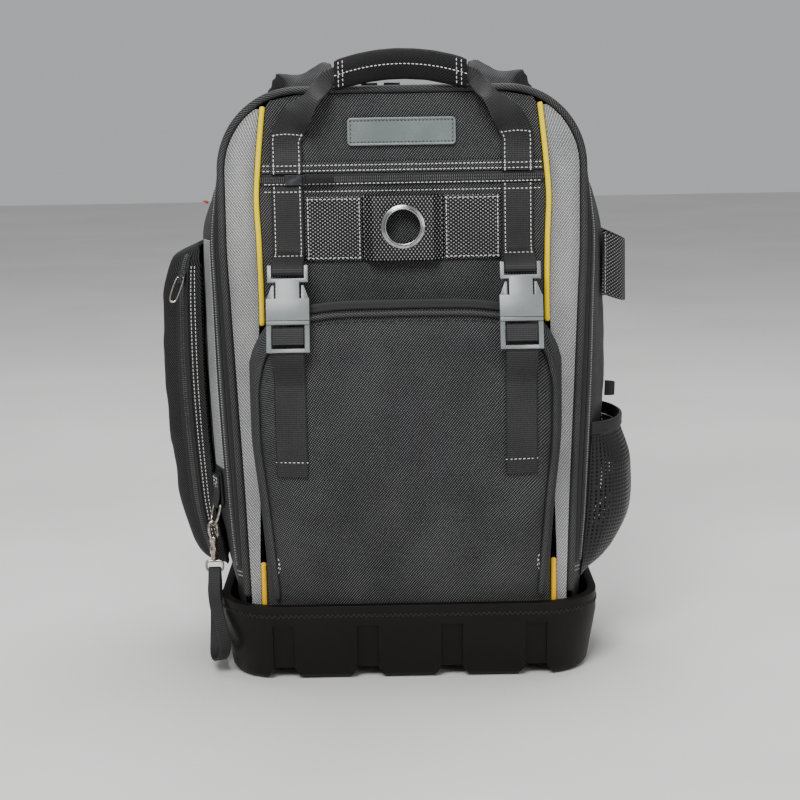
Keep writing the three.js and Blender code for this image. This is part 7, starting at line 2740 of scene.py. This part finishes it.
@dataclass
class Back:
    """The padded back panel and the shoulder straps, hidden in the photograph and finished plainly."""

    seams: tuple[float, ...] = (-0.36, 0.36)

    def build(self) -> None:
        """Makes the back panel, both shoulder straps and their webbing."""
        self.panel()
        for name, sign in (("left", -1), ("right", 1)):
            self.strap(name, sign)

    def panel(self) -> None:
        """The back panel, with two sewn channels down its padding."""
        low = TRAY_HEIGHT - TUCK
        rows = [*spaced(low, low + 22, 7), *spaced(low + 22, BODY_TOP - 30, 60)[1:],
                *spaced(BODY_TOP - 30, BODY_TOP, 12)[1:]]

        def depth(u: float, z: float) -> float:
            """Depth of the padding's outside.

            Args:
                u: Share across.
                z: Height.

            Returns:
                The depth.
            """
            x = u * back_outline_x(z)
            edge = min(back_outline_x(z) - abs(x), BODY_TOP - z, z - low)
            full = math.sin(math.pi / 2 * clamp(edge / PAD_EDGE, 0, 1))
            channel = max((math.exp(-((u - s) / 0.022) ** 2) for s in self.seams), default=0.0)
            return BACK_Y + SEAT + WALL + (BACK_PAD - 1.2 - WALL) * full - 3.6 * channel * full

        us = [*spaced(-1, -0.85, 8), *spaced(-0.85, 0.85, 70)[1:], *spaced(0.85, 1, 8)[1:]]
        outer = np.array([[vec(u * back_outline_x(z), depth(u, z), z) for u in us] for z in rows])
        inner = np.array([[vec(u * back_outline_x(z), BACK_Y + SEAT, z) for u in us] for z in rows])
        obj = piece(slab(outer, inner), "back_panel_pad", BACK_TWILL, Slot.TWILL, "back_panel")
        lines = []
        for s in self.seams:
            lines.append([(vec(s * back_outline_x(z), depth(s, z) + 0.2, z), vec(0, 1, 0))
                          for z in spaced(low + 12, BODY_TOP - 12, 60)])
        stitched("back_stitching", lines, DARK_THREAD)

    def strap(self, name: str, sign: int) -> None:
        """A padded shoulder strap and the webbing from its low end.

        Args:
            name: Its name.
            sign: -1 for the left, 1 for the right.
        """
        face = BACK_Y + SEAT + BACK_PAD
        pads = []
        for out, reach, height, lean in SHOULDER_PATH:
            angle = math.radians(lean)
            pads.append(Station(vec(sign * out * SHOULDER_OUT, face + reach * SHOULDER_REACH,
                                    lerp(SHOULDER_LOW, SHOULDER_TOP, height)),
                                vec(math.cos(angle), 0, -sign * math.sin(angle)), SHOULDER_W))
        coarse, fine = eased(pads, 2), eased(pads, 8)
        profile = [(math.copysign(abs(math.cos(a)) ** 0.5, math.cos(a)),
                    math.copysign(abs(math.sin(a)) ** 0.85, math.sin(a)))
                   for a in np.linspace(0, 2 * math.pi, 28, endpoint=False)]
        line = np.array([s.centre for s in fine])
        ahead = headings(line, False)
        rings = []
        for i, (station, forward) in enumerate(zip(fine, ahead)):
            wide = unit(station.across - forward * float(np.dot(station.across, forward)))
            normal = np.cross(forward, wide)
            end = min(i, len(fine) - 1 - i)
            thin = 0.55 + 0.45 * smooth(end, 0, 3)
            rings.append([station.centre + wide * w * SHOULDER_W / 2 * 0.985
                          + normal * f * SHOULDER_T / 2 * 0.84 * thin for w, f in profile])
        form = loft(np.array(rings), np.linspace(0, 130, 29), run_lengths(line))
        obj = form.made(f"shoulder_strap_{name}_pad", BACK_TWILL, 60)
        puff(obj, 5.0, 1.0)
        put(obj, Slot.TWILL, f"shoulder_strap_{name}")
        end = coarse[-1].centre
        forward = unit(end - coarse[-2].centre)
        lift = SEAT + WEB / 2
        first = end + forward * SEAT
        second = first + forward * SHOULDER_T
        flat = vec(1, 0, 0)
        run = [first, second, vec(end[0], lerp(second[1], face, 0.6), lerp(second[2], SHOULDER_ANCHOR, 0.4)),
               vec(end[0], face + lift + 1, lerp(second[2], SHOULDER_ANCHOR, 0.7)),
               vec(end[0], face + lift, SHOULDER_ANCHOR + SHOULDER_WEB / 2), vec(end[0], face + lift, SHOULDER_ANCHOR)]
        form = band(eased([Station(p, flat, SHOULDER_WEB) for p in run], 6), WEB)
        piece(form, f"shoulder_webbing_{name}_band", WEBBING, Slot.WEBBING, f"shoulder_webbing_{name}")


# ---------------------------------------------------------------- studio


@dataclass
class Studio:
    """Camera, floor and lights.

    Args:
        place: The camera's place, in millimetres.
        focal: Its focal length, in pixels of an 800 pixel frame.
        pitch: How far it looks down, in degrees.
        roll: Its roll, in degrees.
    """

    place: Triple = (-5.0, -1529.0, 503.0)
    focal: float = 1744.0
    pitch: float = 10.4
    roll: float = 1.0

    def camera(self) -> None:
        """Sets the camera at the photograph's angle."""
        data = bpy.data.cameras.new("camera")
        data.sensor_width = 36.0
        data.lens = self.focal / 800 * 36.0
        data.clip_start = 0.05
        camera = added("camera", data)
        p, r = math.radians(self.pitch), math.radians(self.roll)
        right = Vector((1, 0, 0))
        ahead = Vector((0, math.cos(p), -math.sin(p)))
        up = right.cross(ahead)
        across = right * math.cos(r) - up * math.sin(r)
        above = right * math.sin(r) + up * math.cos(r)
        turn = Matrix((across, above, -ahead)).transposed().to_4x4()
        camera.matrix_world = Matrix.Translation(Vector(self.place) * MM) @ turn
        bpy.context.scene.camera = camera

    def light(self, name: str, place: Triple, size: float, watts: float) -> None:
        """Adds a soft square light that faces the bag.

        Args:
            name: Its name.
            place: Its place, in metres.
            size: Its side.
            watts: Its power.
        """
        data = bpy.data.lights.new(name, "AREA")
        data.shape, data.size, data.energy = "SQUARE", size, watts
        lamp = added(name, data)
        lamp.location = place
        lamp.rotation_euler = (Vector((0, 0, 0.28)) - Vector(place)).to_track_quat("-Z", "Y").to_euler()

    def build(self) -> None:
        """Makes the floor, the lights and the world."""
        self.light("key", (-0.5, -1.9, 2.1), 1.1, 74)
        self.light("fill", (1.5, -1.8, 0.9), 1.2, 12)
        self.light("top", (0.1, 0.5, 2.2), 1.4, 44)
        world = bpy.data.worlds.new("studio")
        world.use_nodes = True
        world.node_tree.nodes["Background"].inputs[0].default_value = (0.9, 0.91, 0.93, 1)
        world.node_tree.nodes["Background"].inputs[1].default_value = 0.5
        bpy.context.scene.world = world
        bench = NodeBench("pale_floor")
        soft = bench.noise(2.5, 3.0)
        colour = bench.mix(bench.remap(soft, 0.35, 0.65, 0.0, 1.0), (0.62, 0.61, 0.60), (0.68, 0.67, 0.66))
        material = bench.finish(colour, bench.remap(soft, 0.3, 0.7, 0.5, 0.6))
        work = bmesh.new()
        bmesh.ops.create_grid(work, x_segments=2, y_segments=2, size=6)
        mesh = bpy.data.meshes.new("floor")
        work.to_mesh(mesh)
        work.free()
        mesh.materials.append(material)
        floor = added("floor", mesh)


def main() -> None:
    """Builds the pieces in order, and reports each one."""
    logging.basicConfig(level=logging.INFO, format="%(name)s: %(message)s")
    studio = Studio()
    studio.camera()
    for part in (Base(), Body(), MainZip(), UpperPanel(), ToolBand(), Handle(), Straps(), FrontPocket(), SidePocket(),
                 HookChain(), RightSide(), Back(), studio):
        before = set(bpy.data.objects)
        part.build()
        new = [o for o in bpy.data.objects if o not in before]
        faces = sum(len(o.data.polygons) for o in new if o.type == "MESH")
        LOG.info("%s: %d objects, %d faces", type(part).__name__, len(new), faces)


if __name__ == "__main__":
    main()
